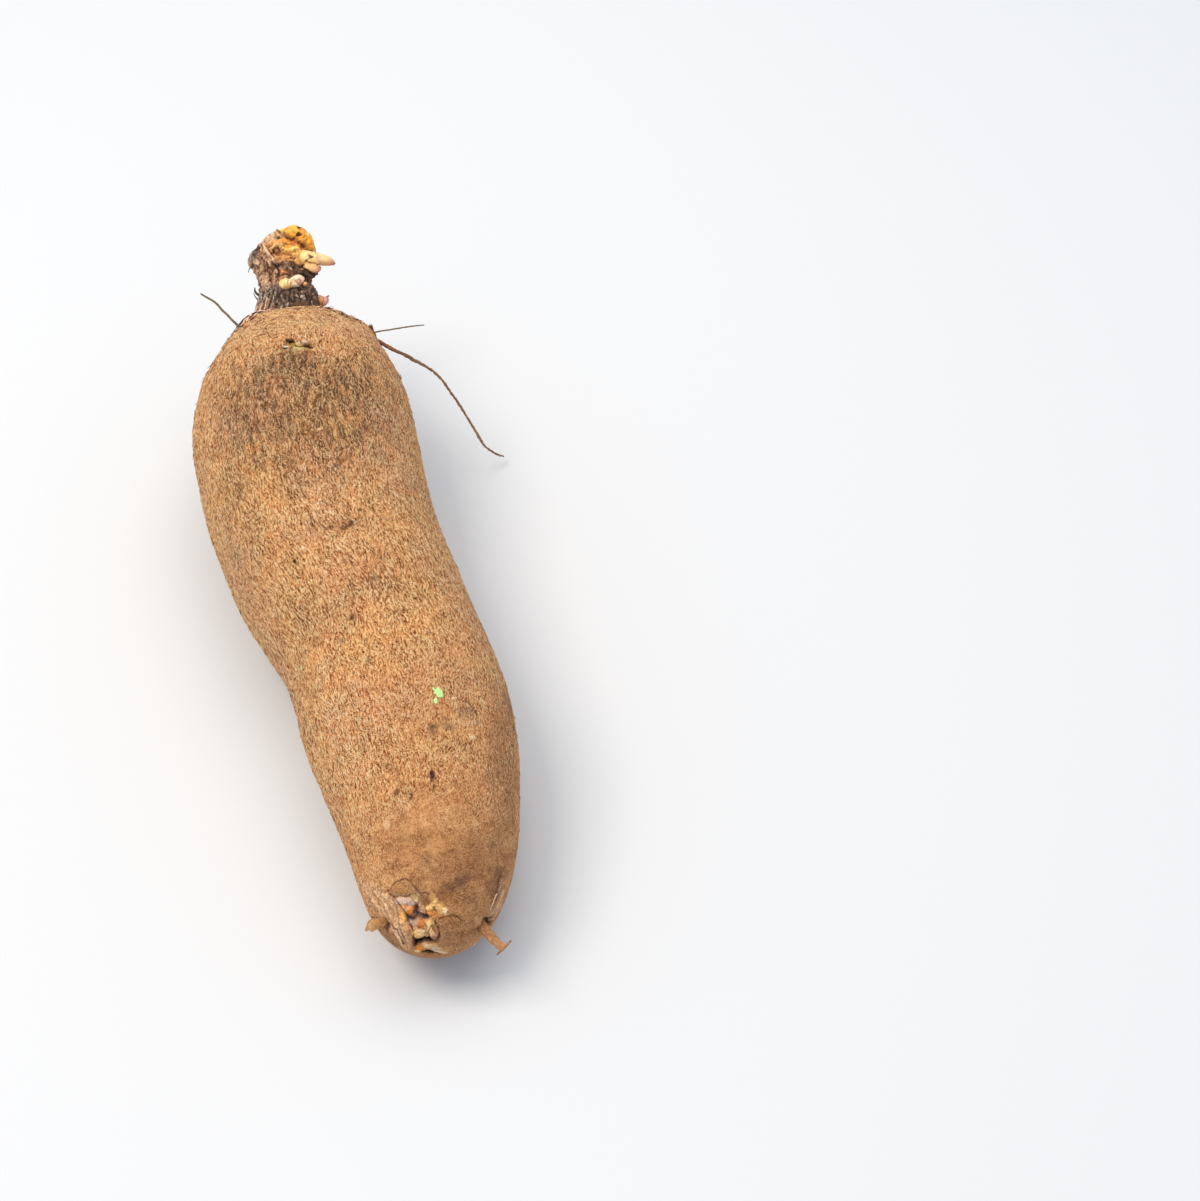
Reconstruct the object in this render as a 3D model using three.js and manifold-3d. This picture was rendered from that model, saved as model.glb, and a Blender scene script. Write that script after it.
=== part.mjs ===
// White yam: one long, slightly S-bent tuber lying on its side, with the woody
// crown of last season's vine at one end, fresh shoots and buds on the crown,
// and a few wiry rootlets. Millimetres, +Z up, crown towards +Y, tip towards -Y.
// The origin is the middle of the footprint, on the surface that the yam lies on.

import * as THREE from 'three';
import { mergeVertices } from 'three/addons/utils/BufferGeometryUtils.js';
import Module from 'manifold-3d';

const wasm = await Module();
wasm.setup();

// ---------------------------------------------------------------- dimensions

// Tuber: stations evenly spread along its curved axis, from the crown end to
// the tip. Each is the axis point x, y, z and the half-width there.
const TUBER_STATIONS = [
  [-4.66, 157.45, 65.33, 51.41],
  [-5.47, 137.23, 55.14, 46.57],
  [-7.47, 117.00, 50.15, 46.52],
  [-9.47, 96.78, 47.94, 47.76],
  [-9.55, 76.55, 46.15, 47.68],
  [-9.42, 56.33, 44.94, 47.03],
  [-7.65, 36.11, 44.12, 45.86],
  [-4.90, 15.88, 43.68, 44.76],
  [-0.25, -4.34, 42.50, 42.87],
  [4.47, -24.57, 40.76, 40.91],
  [7.33, -44.79, 40.15, 41.01],
  [8.85, -65.02, 39.67, 41.34],
  [9.97, -85.24, 37.60, 39.26],
  [9.93, -105.46, 34.87, 35.76],
  [8.67, -125.69, 32.44, 32.05],
  [4.63, -145.91, 31.40, 29.58],
  [-2.07, -166.14, 33.61, 30.47],
];
const TUBER_AXIS_LENGTH = 323.588; // length of the axis from end to end
const TUBER_AXIS_SPAN = 0.045;     // the axis direction is taken over this much either side
const TUBER_FLATTENING = 0.95;     // height over width of the cross-section
const HEAD_CAP_LENGTH = 75.897;    // how far the rounding of the crown end reaches
const HEAD_CAP_POWER = 3.397;      // above 2 is a blunter end than an ellipse
const TIP_CAP_LENGTH = 54.217;     // how far the rounding of the tip reaches
const TIP_CAP_POWER = 3.198;
const TUBER_SINK = 1.3;            // how much of the underside is pressed flat
const TUBER_RINGS = 46;
const TUBER_SIDES = 44;
const LUMP_HEIGHT = 0.4;           // slow swells of the skin
// Local swells and dents of the shoulder: centre x, y, z, height, spread.
const SHOULDER_BUMPS = [
  [-20.8, 146.4, 75.4, 3.6, 4.8],
  [2.0, 147.0, 79.0, -0.7, 12.0],
  [26.0, 137.5, 67.5, 1.2, 4.5],
  [32.5, 129.0, 59.0, -0.8, 8.0],
];

// Wounded tip: a shallow hollow where the skin has broken away.
const WOUND_CENTRE = [-2.4, -160.8, 43.6];
const WOUND_NORMAL = [-0.30, -0.78, 0.55];
const WOUND_DEPTH = 1.8;
const WOUND_SPREAD = 6.5;

// Crown: the knobbly stub that the vine grew from. It stands on the end of the
// tuber and leans along the tuber's axis, about 32 degrees above level.
const CROWN_BASE = [-6.46, 156.05, 66.83];
const CROWN_AXIS = [0.09, 0.84, 0.53];
// Height along the crown's axis, sideways shift of its middle, radius.
const CROWN_PROFILE = [
  [-9.0, 0.0, 15.2],
  [-4.0, 0.0, 14.8],
  [0.0, 0.0, 14.4],
  [3.0, 0.0, 13.9],
  [6.0, 0.1, 13.2],
  [10.0, -0.4, 12.4],
  [12.5, -0.9, 11.7],
  [15.0, -1.1, 11.8],
  [18.0, 0.0, 13.3],
  [20.0, -0.1, 13.8],
  [23.0, -0.4, 13.9],
  [26.0, -0.6, 13.8],
  [28.0, -0.5, 13.5],
  [30.0, 0.0, 13.1],
  [33.0, 0.8, 12.0],
  [36.0, 2.2, 9.7],
  [38.0, 3.0, 7.4],
  [39.6, 4.4, 4.9],
  [41.0, 4.7, 2.4],
];
const CROWN_TIP = [41.8, 4.7];     // height and sideways shift of the top
const CROWN_SIDES = 30;
const CROWN_KNOB = { a: 24.6, theta: Math.PI, height: 2.2, spreadA: 2.6, spreadTheta: 0.30 };

// Shoots and buds on the crown, in the crown's own frame: x outwards on the side
// that faces up, y to the right, z along the crown. Point and radius.
const SHOOT_MAIN = [
  [8.6, 4.6, 23.2, 2.5], [10.2, 7.2, 22.5, 3.3], [11.4, 10.6, 21.9, 3.4], [11.0, 13.8, 21.1, 3.0],
  [10.4, 16.8, 20.1, 2.8], [9.8, 19.4, 19.2, 2.25], [9.3, 21.2, 18.5, 1.5], [8.9, 22.4, 18.0, 0.5],
];
const SHOOT_BRACT = [
  [9.4, 6.2, 19.4, 1.2], [11.2, 9.2, 17.9, 2.0], [11.0, 11.8, 16.9, 2.1], [9.6, 14.0, 16.5, 1.5], [8.4, 15.4, 16.4, 0.6],
];
const BUD_FRONT_LEFT = [
  [11.0, -2.9, 8.1, 0.7], [12.0, -1.6, 8.6, 1.6], [12.6, 0.3, 9.5, 2.1], [12.4, 2.2, 11.0, 1.7], [11.8, 3.1, 12.0, 0.8],
];
const BUD_FRONT_RIGHT = [
  [12.0, 3.3, 8.8, 0.9], [12.7, 4.4, 9.8, 2.1], [12.7, 6.2, 10.8, 2.5], [12.0, 7.9, 11.6, 1.8], [11.4, 8.9, 11.9, 0.8],
];
const BUD_FRONT_SMALL = [
  [11.9, 6.9, 6.6, 0.5], [12.2, 7.9, 7.2, 1.1], [11.9, 9.1, 7.7, 1.1], [11.4, 9.9, 8.0, 0.5],
];
const BUD_BASE = [
  [2.2, 11.6, 3.4, 1.6], [3.2, 13.8, 3.5, 2.7], [3.5, 15.8, 3.7, 2.5], [3.3, 17.3, 4.6, 1.5], [3.1, 18.4, 5.9, 0.45],
];
const BUD_SIDES = 12;

// Rootlets: point and radius along each, from inside the skin to the free end.
const ROOT_LEFT = [
  [-25.0, 150.6, 63.6, 0.62], [-26.5, 153.8, 62.3, 0.60], [-28.8, 157.6, 61.0, 0.59], [-31.7, 165.5, 59.0, 0.57],
  [-33.3, 171.0, 57.7, 0.55], [-35.2, 176.8, 56.0, 0.54], [-36.6, 182.2, 54.7, 0.52], [-38.4, 187.5, 53.0, 0.50],
  [-41.0, 193.2, 51.0, 0.46], [-43.2, 198.5, 49.0, 0.36],
];
const ROOT_RIGHT_FINE = [
  [24.4, 138.9, 61.9, 0.40], [26.7, 139.6, 62.0, 0.38], [29.5, 140.3, 62.0, 0.37], [32.2, 140.9, 61.7, 0.36],
  [35.0, 141.1, 61.5, 0.36], [37.7, 141.6, 61.2, 0.35], [40.4, 141.9, 61.0, 0.34], [43.6, 142.6, 60.5, 0.33],
  [46.9, 143.1, 60.0, 0.32], [51.5, 144.0, 59.0, 0.26],
];
const ROOT_RIGHT_LONG = [
  [23.9, 139.0, 62.2, 1.02], [26.4, 137.6, 62.0, 1.00], [29.5, 135.0, 61.4, 0.98], [34.1, 130.0, 60.7, 0.95],
  [38.8, 126.4, 59.6, 0.92], [41.4, 125.4, 58.2, 1.02], [43.7, 124.9, 56.2, 1.10], [48.3, 124.2, 52.5, 0.86],
  [52.0, 123.6, 48.8, 0.82], [55.4, 121.1, 45.0, 0.80], [58.5, 119.4, 38.8, 0.78], [61.6, 118.3, 32.5, 0.74],
  [64.6, 115.8, 26.2, 0.72], [67.2, 114.1, 20.4, 0.72], [68.7, 111.2, 17.6, 0.86], [70.6, 108.8, 14.2, 0.66],
  [73.1, 108.2, 11.2, 0.60], [76.8, 108.8, 6.9, 0.54], [79.6, 110.9, 3.6, 0.42],
];
const ROOT_SIDES = 8;
// Broken root at the tip: a flat strap of bark with a short cross-bar at its end.
const STUB_STRAP = [
  [19.0, -159.5, 32.3, 2.1], [20.3, -162.4, 31.8, 2.0], [21.6, -165.2, 31.2, 1.85], [23.0, -167.9, 30.6, 1.65],
  [24.5, -170.0, 30.0, 1.5], [25.9, -172.1, 29.4, 1.4], [26.7, -173.1, 29.1, 1.2],
];
const STUB_STRAP_WIDE = [0.718, 0.436, 0.539];  // direction of the strap's width
const STUB_STRAP_FLATNESS = 0.42;               // thickness over width
const STUB_BAR = [
  [23.9, -175.1, 29.2, 0.3], [25.5, -173.7, 29.2, 0.5], [27.1, -172.4, 29.2, 0.6],
  [28.6, -171.3, 29.3, 0.5], [30.0, -170.2, 29.4, 0.3],
];

const GAP = 0.3;                   // clearance kept between pieces that meet
// Moves the model so that the middle of its footprint is at x = 0, y = 0.
const FRAME_SHIFT = [-11.117, -11.697, 0];

// -------------------------------------------------------------------- colours

const SKIN = new THREE.Color().setRGB(0.62, 0.45, 0.28, THREE.SRGBColorSpace);
const BARK = new THREE.Color().setRGB(0.36, 0.28, 0.23, THREE.SRGBColorSpace);
const SHOOT = new THREE.Color().setRGB(0.94, 0.84, 0.58, THREE.SRGBColorSpace);
const BRACT = new THREE.Color().setRGB(0.75, 0.58, 0.44, THREE.SRGBColorSpace);
const BUD = new THREE.Color().setRGB(0.95, 0.87, 0.72, THREE.SRGBColorSpace);
const BUD_PINK = new THREE.Color().setRGB(0.80, 0.60, 0.50, THREE.SRGBColorSpace);
const ROOT = new THREE.Color().setRGB(0.42, 0.29, 0.18, THREE.SRGBColorSpace);

const skinMaterial = new THREE.MeshStandardMaterial({ color: SKIN, roughness: 0.9, metalness: 0 });
const barkMaterial = new THREE.MeshStandardMaterial({ color: BARK, roughness: 0.95, metalness: 0 });
const shootMaterial = new THREE.MeshStandardMaterial({ color: SHOOT, roughness: 0.5, metalness: 0 });
const bractMaterial = new THREE.MeshStandardMaterial({ color: BRACT, roughness: 0.7, metalness: 0 });
const budMaterial = new THREE.MeshStandardMaterial({ color: BUD, roughness: 0.5, metalness: 0 });
const budPinkMaterial = new THREE.MeshStandardMaterial({ color: BUD_PINK, roughness: 0.55, metalness: 0 });
const rootMaterial = new THREE.MeshStandardMaterial({ color: ROOT, roughness: 0.9, metalness: 0 });

// ---------------------------------------------------------------- mesh tools

// Rings of points in the same turning direction, closed by a point at each end.
function closedLoft(start, rings, end) {
  const n = rings[0].length;
  const positions = [...start];
  for (const ring of rings) for (const p of ring) positions.push(...p);
  positions.push(...end);
  const last = 1 + rings.length * n;
  const index = [];
  for (let j = 0; j < n; j++) {
    const k = (j + 1) % n;
    index.push(0, 1 + k, 1 + j);
    for (let i = 0; i < rings.length - 1; i++) {
      const a = 1 + i * n + j, b = 1 + i * n + k;
      index.push(a, b, a + n, b, b + n, a + n);
    }
    const r = 1 + (rings.length - 1) * n;
    index.push(last, r + j, r + k);
  }
  const geometry = new THREE.BufferGeometry();
  geometry.setAttribute('position', new THREE.Float32BufferAttribute(positions, 3));
  geometry.setIndex(index);
  return facingOut(geometry);
}

// Turns every triangle round if the closed mesh is inside out.
function facingOut(geometry) {
  const p = geometry.attributes.position, ix = geometry.index.array;
  const a = new THREE.Vector3(), b = new THREE.Vector3(), c = new THREE.Vector3();
  let volume = 0;
  for (let i = 0; i < ix.length; i += 3) {
    a.fromBufferAttribute(p, ix[i]); b.fromBufferAttribute(p, ix[i + 1]); c.fromBufferAttribute(p, ix[i + 2]);
    volume += a.dot(b.cross(c));
  }
  if (volume < 0) {
    for (let i = 0; i < ix.length; i += 3) { const t = ix[i]; ix[i] = ix[i + 1]; ix[i + 1] = t; }
  }
  return geometry;
}

// A tapering rod with rounded ends along a smooth line through the points. With
// wide given, the section is an ellipse that is wide that way and flat times as thick.
function rod(points, sides, steps, grow = 0, wide = null, flat = 1) {
  const curve = new THREE.CatmullRomCurve3(points.map(([x, y, z]) => new THREE.Vector3(x, y, z)), false, 'centripetal');
  const frames = curve.computeFrenetFrames(steps, false);
  const rings = [];
  let start, end;
  for (let i = 0; i <= steps; i++) {
    const t = i / steps;
    const centre = curve.getPointAt(t);
    const u = curve.getUtoTmapping(t) * (points.length - 1);
    const k = Math.min(Math.floor(u), points.length - 2);
    const w = (u - k) * (u - k) * (3 - 2 * (u - k));
    const radius = points[k][3] * (1 - w) + points[k + 1][3] * w + grow;
    let across = frames.normals[i], through = frames.binormals[i];
    if (wide) {
      across = new THREE.Vector3(...wide).addScaledVector(frames.tangents[i], -frames.tangents[i].dot(new THREE.Vector3(...wide))).normalize();
      through = new THREE.Vector3().crossVectors(frames.tangents[i], across);
    }
    const ring = [];
    for (let j = 0; j < sides; j++) {
      const q = (2 * Math.PI * j) / sides;
      const p = centre.clone()
        .addScaledVector(across, radius * Math.cos(q))
        .addScaledVector(through, flat * radius * Math.sin(q));
      ring.push([p.x, p.y, p.z]);
    }
    rings.push(ring);
    if (i === 0) start = centre.clone().addScaledVector(frames.tangents[0], -0.7 * flat * radius);
    if (i === steps) end = centre.clone().addScaledVector(frames.tangents[steps], 0.7 * flat * radius);
  }
  return closedLoft([start.x, start.y, start.z], rings, [end.x, end.y, end.z]);
}

function toSolid(geometry, matrix = null) {
  const g = geometry.clone();
  g.deleteAttribute('normal');
  g.deleteAttribute('uv');
  if (matrix) g.applyMatrix4(matrix);
  const merged = mergeVertices(g, 1e-4);
  return new wasm.Manifold(new wasm.Mesh({
    numProp: 3,
    vertProperties: new Float32Array(merged.attributes.position.array),
    triVerts: new Uint32Array(merged.index.array),
  }));
}

// The largest body of a solid: chips that a cut leaves behind are dropped.
function mainBody(solid) {
  const bodies = solid.decompose();
  return bodies.reduce((best, body) => (body.volume() > best.volume() ? body : best));
}

function toGeometry(solid) {
  const mesh = mainBody(solid).getMesh();
  const geometry = new THREE.BufferGeometry();
  geometry.setAttribute('position', new THREE.Float32BufferAttribute(new Float32Array(mesh.vertProperties), 3));
  geometry.setIndex(Array.from(mesh.triVerts));
  geometry.computeVertexNormals();
  return geometry;
}

function piece(name, solid, material) {
  const mesh = new THREE.Mesh(toGeometry(solid), material);
  mesh.name = name;
  return mesh;
}

// ---------------------------------------------------------------------- tuber

// Point of the axis, and half-width, at s from 0 (crown end) to 1 (tip).
function station(s) {
  const n = TUBER_STATIONS.length - 1;
  const u = Math.min(Math.max(s, 0), 1) * n;
  const i = Math.min(Math.floor(u), n - 1), t = u - i;
  const at = (k) => {
    if (k < 0) return TUBER_STATIONS[0].map((v, m) => 2 * v - TUBER_STATIONS[1][m]);
    if (k > n) return TUBER_STATIONS[n].map((v, m) => 2 * v - TUBER_STATIONS[n - 1][m]);
    return TUBER_STATIONS[k];
  };
  const [a, b, c, d] = [at(i - 1), at(i), at(i + 1), at(i + 2)];
  return b.map((_, m) => 0.5 * (2 * b[m] + (c[m] - a[m]) * t
    + (2 * a[m] - 5 * b[m] + 4 * c[m] - d[m]) * t * t
    + (3 * b[m] - a[m] - 3 * c[m] + d[m]) * t * t * t));
}

function clamp01(v) { return Math.min(Math.max(v, 0), 1); }

// Slow swells round and along the tuber.
function lump(s, theta) {
  return LUMP_HEIGHT * Math.sin(Math.PI * s) * (
    0.45 * Math.sin(2 * theta + 9 * s + 0.6)
    + 0.35 * Math.sin(3 * theta - 17 * s + 2.1)
    + 0.30 * Math.sin(5 * theta + 23 * s));
}

function tuberGeometry(grow, rings, sides) {
  const e = TUBER_AXIS_SPAN;
  const woundCentre = new THREE.Vector3(...WOUND_CENTRE);
  const woundNormal = new THREE.Vector3(...WOUND_NORMAL).normalize();
  const ringAt = (s) => {
    const [x, y, z, b] = station(s);
    const p1 = station(Math.min(s + e, 1)), p0 = station(Math.max(s - e, 0));
    const axis = new THREE.Vector3(p1[0] - p0[0], p1[1] - p0[1], p1[2] - p0[2]).normalize();
    const side = new THREE.Vector3(-axis.y, axis.x, 0).normalize();
    const upward = new THREE.Vector3().crossVectors(side, axis);
    if (upward.z < 0) upward.negate();
    const head = 1 - Math.pow(1 - clamp01((s * TUBER_AXIS_LENGTH) / HEAD_CAP_LENGTH), HEAD_CAP_POWER);
    const tip = 1 - Math.pow(1 - clamp01(((1 - s) * TUBER_AXIS_LENGTH) / TIP_CAP_LENGTH), TIP_CAP_POWER);
    const cap = Math.sqrt(head) * Math.sqrt(tip);
    const ring = [];
    for (let j = 0; j < sides; j++) {
      const theta = (2 * Math.PI * j) / sides;
      const r = b * cap + cap * lump(s, theta) + grow;
      const out = new THREE.Vector3()
        .addScaledVector(side, Math.cos(theta))
        .addScaledVector(upward, TUBER_FLATTENING * Math.sin(theta));
      const p = new THREE.Vector3(x, y, z - TUBER_SINK).addScaledVector(out, r);
      let bump = 0;
      for (const [bx, by, bz, height, spread] of SHOULDER_BUMPS) {
        const q = p.distanceTo(new THREE.Vector3(bx, by, bz)) / spread;
        bump += height * Math.exp(-0.5 * q * q);
      }
      p.addScaledVector(out, bump);
      if (grow === 0) {
        const d = p.distanceTo(woundCentre) / WOUND_SPREAD;
        p.addScaledVector(woundNormal, -WOUND_DEPTH * Math.exp(-0.5 * d * d));
      }
      ring.push([p.x, p.y, p.z]);
    }
    return ring;
  };
  const stack = [];
  for (let i = 1; i < rings; i++) stack.push(ringAt((1 - Math.cos((Math.PI * i) / rings)) / 2));
  const pole = (s, out) => {
    const [x, y, z] = station(s);
    const p1 = station(Math.min(s + e, 1)), p0 = station(Math.max(s - e, 0));
    const axis = new THREE.Vector3(p1[0] - p0[0], p1[1] - p0[1], p1[2] - p0[2]).normalize();
    const p = new THREE.Vector3(x, y, z - TUBER_SINK).addScaledVector(axis, out);
    if (grow === 0) {
      const d = p.distanceTo(woundCentre) / WOUND_SPREAD;
      p.addScaledVector(woundNormal, -WOUND_DEPTH * Math.exp(-0.5 * d * d));
    }
    return [p.x, p.y, p.z];
  };
  return closedLoft(pole(0, -grow), stack, pole(1, grow));
}

const tuberFull = toSolid(tuberGeometry(0, TUBER_RINGS, TUBER_SIDES));
// Everything below the surface that the yam lies on is cut away, which leaves
// one flat patch under the thick end and one under the thin end.
const below = new THREE.BoxGeometry(400, 600, 100).translate(0, 0, -50);
const tuberSolid = tuberFull.subtract(toSolid(below));
const tuberClearance = toSolid(tuberGeometry(GAP, TUBER_RINGS, TUBER_SIDES));

// ---------------------------------------------------------------------- crown

function crownGeometry(grow) {
  const ring = ([a, shift, radius], height = a) => {
    const out = [];
    for (let j = 0; j < CROWN_SIDES; j++) {
      const theta = (2 * Math.PI * j) / CROWN_SIDES;
      const fade = clamp01((a + 9) / 12) * clamp01((42 - a) / 8);
      let r = radius + grow;
      r += fade * (0.35 * Math.sin(3 * theta + 0.31 * a) + 0.30 * Math.sin(5 * theta - 0.45 * a + 1.3));
      const da = (a - CROWN_KNOB.a) / CROWN_KNOB.spreadA;
      const dt = (theta - CROWN_KNOB.theta) / CROWN_KNOB.spreadTheta;
      r += CROWN_KNOB.height * Math.exp(-0.5 * (da * da + dt * dt));
      out.push([r * Math.sin(theta), shift + r * Math.cos(theta), height]);
    }
    return out;
  };
  const n = CROWN_PROFILE.length;
  const rings = CROWN_PROFILE.map((row, i) => ring(row, row[0] + (i > n - 4 ? grow : 0)));
  const first = CROWN_PROFILE[0];
  return closedLoft([0, first[1], first[0] - grow], rings, [0, CROWN_TIP[1], CROWN_TIP[0] + grow]);
}

const crownAxis = new THREE.Vector3(...CROWN_AXIS).normalize();
const crownRight = new THREE.Vector3(crownAxis.y, -crownAxis.x, 0).normalize();
const crownUp = new THREE.Vector3().crossVectors(crownRight, crownAxis);
const crownGroup = new THREE.Group();
crownGroup.quaternion.setFromRotationMatrix(new THREE.Matrix4().makeBasis(crownUp, crownRight, crownAxis));
crownGroup.position.set(...CROWN_BASE);
crownGroup.updateMatrix();

const tuberInCrown = toSolid(tuberGeometry(GAP, TUBER_RINGS, TUBER_SIDES), crownGroup.matrix.clone().invert());
const crownSolid = toSolid(crownGeometry(0)).subtract(tuberInCrown);
const crownClearance = toSolid(crownGeometry(GAP)).add(tuberInCrown);

function sprout(name, points, steps, material, keepClearOf = []) {
  let solid = toSolid(rod(points, BUD_SIDES, steps)).subtract(crownClearance);
  for (const other of keepClearOf) solid = solid.subtract(toSolid(rod(other, BUD_SIDES, steps + 4, GAP + 0.1)));
  return piece(name, solid, material);
}

crownGroup.add(
  piece('crown', crownSolid, barkMaterial),
  sprout('shoot_main', SHOOT_MAIN, 14, shootMaterial),
  sprout('shoot_bract', SHOOT_BRACT, 10, bractMaterial, [SHOOT_MAIN]),
  sprout('bud_front_right', BUD_FRONT_RIGHT, 10, budMaterial),
  sprout('bud_front_left', BUD_FRONT_LEFT, 10, budMaterial, [BUD_FRONT_RIGHT]),
  sprout('bud_front_small', BUD_FRONT_SMALL, 8, budMaterial, [BUD_FRONT_RIGHT]),
  sprout('bud_base', BUD_BASE, 12, budPinkMaterial),
);

// ------------------------------------------------------------------- rootlets

function rootlet(name, points, steps, keepClearOf = []) {
  let solid = toSolid(rod(points, ROOT_SIDES, steps)).subtract(tuberClearance);
  for (const other of keepClearOf) solid = solid.subtract(toSolid(rod(other, ROOT_SIDES, steps, GAP + 0.1)));
  return piece(name, solid, rootMaterial);
}

const stubSolid = toSolid(rod(STUB_STRAP, 12, 10, 0, STUB_STRAP_WIDE, STUB_STRAP_FLATNESS))
  .add(toSolid(rod(STUB_BAR, ROOT_SIDES, 8)))
  .subtract(tuberClearance);

// ------------------------------------------------------------------- assembly

const yam = new THREE.Group();
yam.add(
  piece('tuber', tuberSolid, skinMaterial),
  crownGroup,
  rootlet('root_left', ROOT_LEFT, 18),
  rootlet('root_right_long', ROOT_RIGHT_LONG, 40),
  rootlet('root_right_fine', ROOT_RIGHT_FINE, 16, [ROOT_RIGHT_LONG]),
  piece('root_stub_tip', stubSolid, rootMaterial),
);
yam.position.set(...FRAME_SHIFT);

export default yam;
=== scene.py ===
"""Looks of the yam: skin, crown, shoots, buds, rootlets and the wounded tip,
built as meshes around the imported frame. Lengths in the tables are millimetres,
everything that reaches Blender is in metres."""

import math

import bpy
import numpy as np
from mathutils import Matrix, Vector


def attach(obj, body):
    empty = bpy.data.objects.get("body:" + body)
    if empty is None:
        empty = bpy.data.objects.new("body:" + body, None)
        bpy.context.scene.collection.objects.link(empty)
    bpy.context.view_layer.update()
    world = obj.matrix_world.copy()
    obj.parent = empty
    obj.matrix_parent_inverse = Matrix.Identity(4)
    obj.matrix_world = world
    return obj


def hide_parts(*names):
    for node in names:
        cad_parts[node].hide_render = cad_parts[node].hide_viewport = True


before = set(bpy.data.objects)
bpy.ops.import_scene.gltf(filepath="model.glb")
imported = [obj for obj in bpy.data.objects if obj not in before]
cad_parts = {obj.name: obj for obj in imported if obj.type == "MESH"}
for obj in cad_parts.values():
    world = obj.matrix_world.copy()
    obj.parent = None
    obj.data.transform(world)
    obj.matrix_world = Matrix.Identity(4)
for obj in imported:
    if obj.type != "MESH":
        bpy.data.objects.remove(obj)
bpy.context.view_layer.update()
MM = 0.001

# ------------------------------------------------------------------ noise


def _hash(ix, iy, iz, seed):
    h = (
        (ix.astype(np.uint32) * np.uint32(374761393))
        ^ (iy.astype(np.uint32) * np.uint32(668265263))
        ^ (iz.astype(np.uint32) * np.uint32(2246822519))
        ^ np.uint32((seed * 3266489917) & 0xFFFFFFFF)
    )
    h = (h ^ (h >> np.uint32(15))) * np.uint32(2246822519)
    h = (h ^ (h >> np.uint32(13))) * np.uint32(3266489917)
    return h ^ (h >> np.uint32(16))


def noise3(p, seed=0):
    """Gradient noise of points (N, 3), about -1 to 1, one cell per unit."""
    i = np.floor(p).astype(np.int64)
    f = p - i
    w = f * f * f * (f * (f * 6 - 15) + 10)
    total = np.zeros(len(p))
    for cx in (0, 1):
        for cy in (0, 1):
            for cz in (0, 1):
                h = _hash(i[:, 0] + cx, i[:, 1] + cy, i[:, 2] + cz, seed)
                gx = (h & np.uint32(1023)).astype(float) / 511.5 - 1
                gy = ((h >> np.uint32(10)) & np.uint32(1023)).astype(float) / 511.5 - 1
                gz = ((h >> np.uint32(20)) & np.uint32(1023)).astype(float) / 511.5 - 1
                d = gx * (f[:, 0] - cx) + gy * (f[:, 1] - cy) + gz * (f[:, 2] - cz)
                total += (
                    d
                    * (w[:, 0] if cx else 1 - w[:, 0])
                    * (w[:, 1] if cy else 1 - w[:, 1])
                    * (w[:, 2] if cz else 1 - w[:, 2])
                )
    return total * 1.55


def fractal(p, cell, seed=0, octaves=3, gain=0.5):
    total, amp, norm = np.zeros(len(p)), 1.0, 0.0
    for k in range(octaves):
        total += amp * noise3(p / cell * 2**k + 17.3 * k, seed + k)
        norm += amp * amp
        amp *= gain
    return total / math.sqrt(norm)


def streaks(p, along, cell, length, seed=0, samples=7):
    """Noise drawn out along the direction given at each point."""
    total = np.zeros(len(p))
    for d in np.linspace(-0.5, 0.5, samples):
        total += noise3((p + along * (d * length)) / cell, seed)
    return total / math.sqrt(samples * 2.0)


def smooth(lo, hi, x):
    t = np.clip((x - lo) / (hi - lo), 0, 1)
    return t * t * (3 - 2 * t)


def unit(v):
    v = np.asarray(v, float)
    return v / np.maximum(np.linalg.norm(v, axis=-1, keepdims=True), 1e-12)


# ------------------------------------------------------------------ meshes


def make_object(name, verts, tris, attributes=None, smooth_shade=True):
    """verts in millimetres of the CAD source's frame before its shift."""
    me = bpy.data.meshes.new(name)
    me.from_pydata(((np.asarray(verts) + SHIFT) * MM).tolist(), [], np.asarray(tris).tolist())
    me.polygons.foreach_set("use_smooth", [smooth_shade] * len(me.polygons))
    for key, value in (attributes or {}).items():
        value = np.asarray(value, np.float32)
        if value.ndim == 1:
            me.attributes.new(key, "FLOAT", "POINT").data.foreach_set("value", value)
        elif value.shape[1] == 3 and key.endswith("_dir"):
            me.attributes.new(key, "FLOAT_VECTOR", "POINT").data.foreach_set("vector", value.ravel())
        else:
            rgba = np.ones((len(value), 4), np.float32)
            rgba[:, :3] = value[:, :3]
            me.attributes.new(key, "FLOAT_COLOR", "POINT").data.foreach_set("color", rgba.ravel())
    me.update()
    ob = bpy.data.objects.new(name, me)
    bpy.context.scene.collection.objects.link(ob)
    return ob


def stitch(ua, ia, ub, ib):
    """Triangles between two closed rings with their points at u from 0 to 1."""
    na, nb = len(ua), len(ub)
    out, i, j = [], 0, 0
    while i < na or j < nb:
        next_a = ua[i + 1] if i + 1 < na else (ua[0] + 1 if i < na else 9)
        next_b = ub[j + 1] if j + 1 < nb else (ub[0] + 1 if j < nb else 9)
        a, b = ia[i % na], ib[j % nb]
        if next_a <= next_b:
            out.append((a, b, ia[(i + 1) % na]))
            i += 1
        else:
            out.append((a, b, ib[(j + 1) % nb]))
            j += 1
    return out


# ------------------------------------------------------------------ tuber

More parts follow.
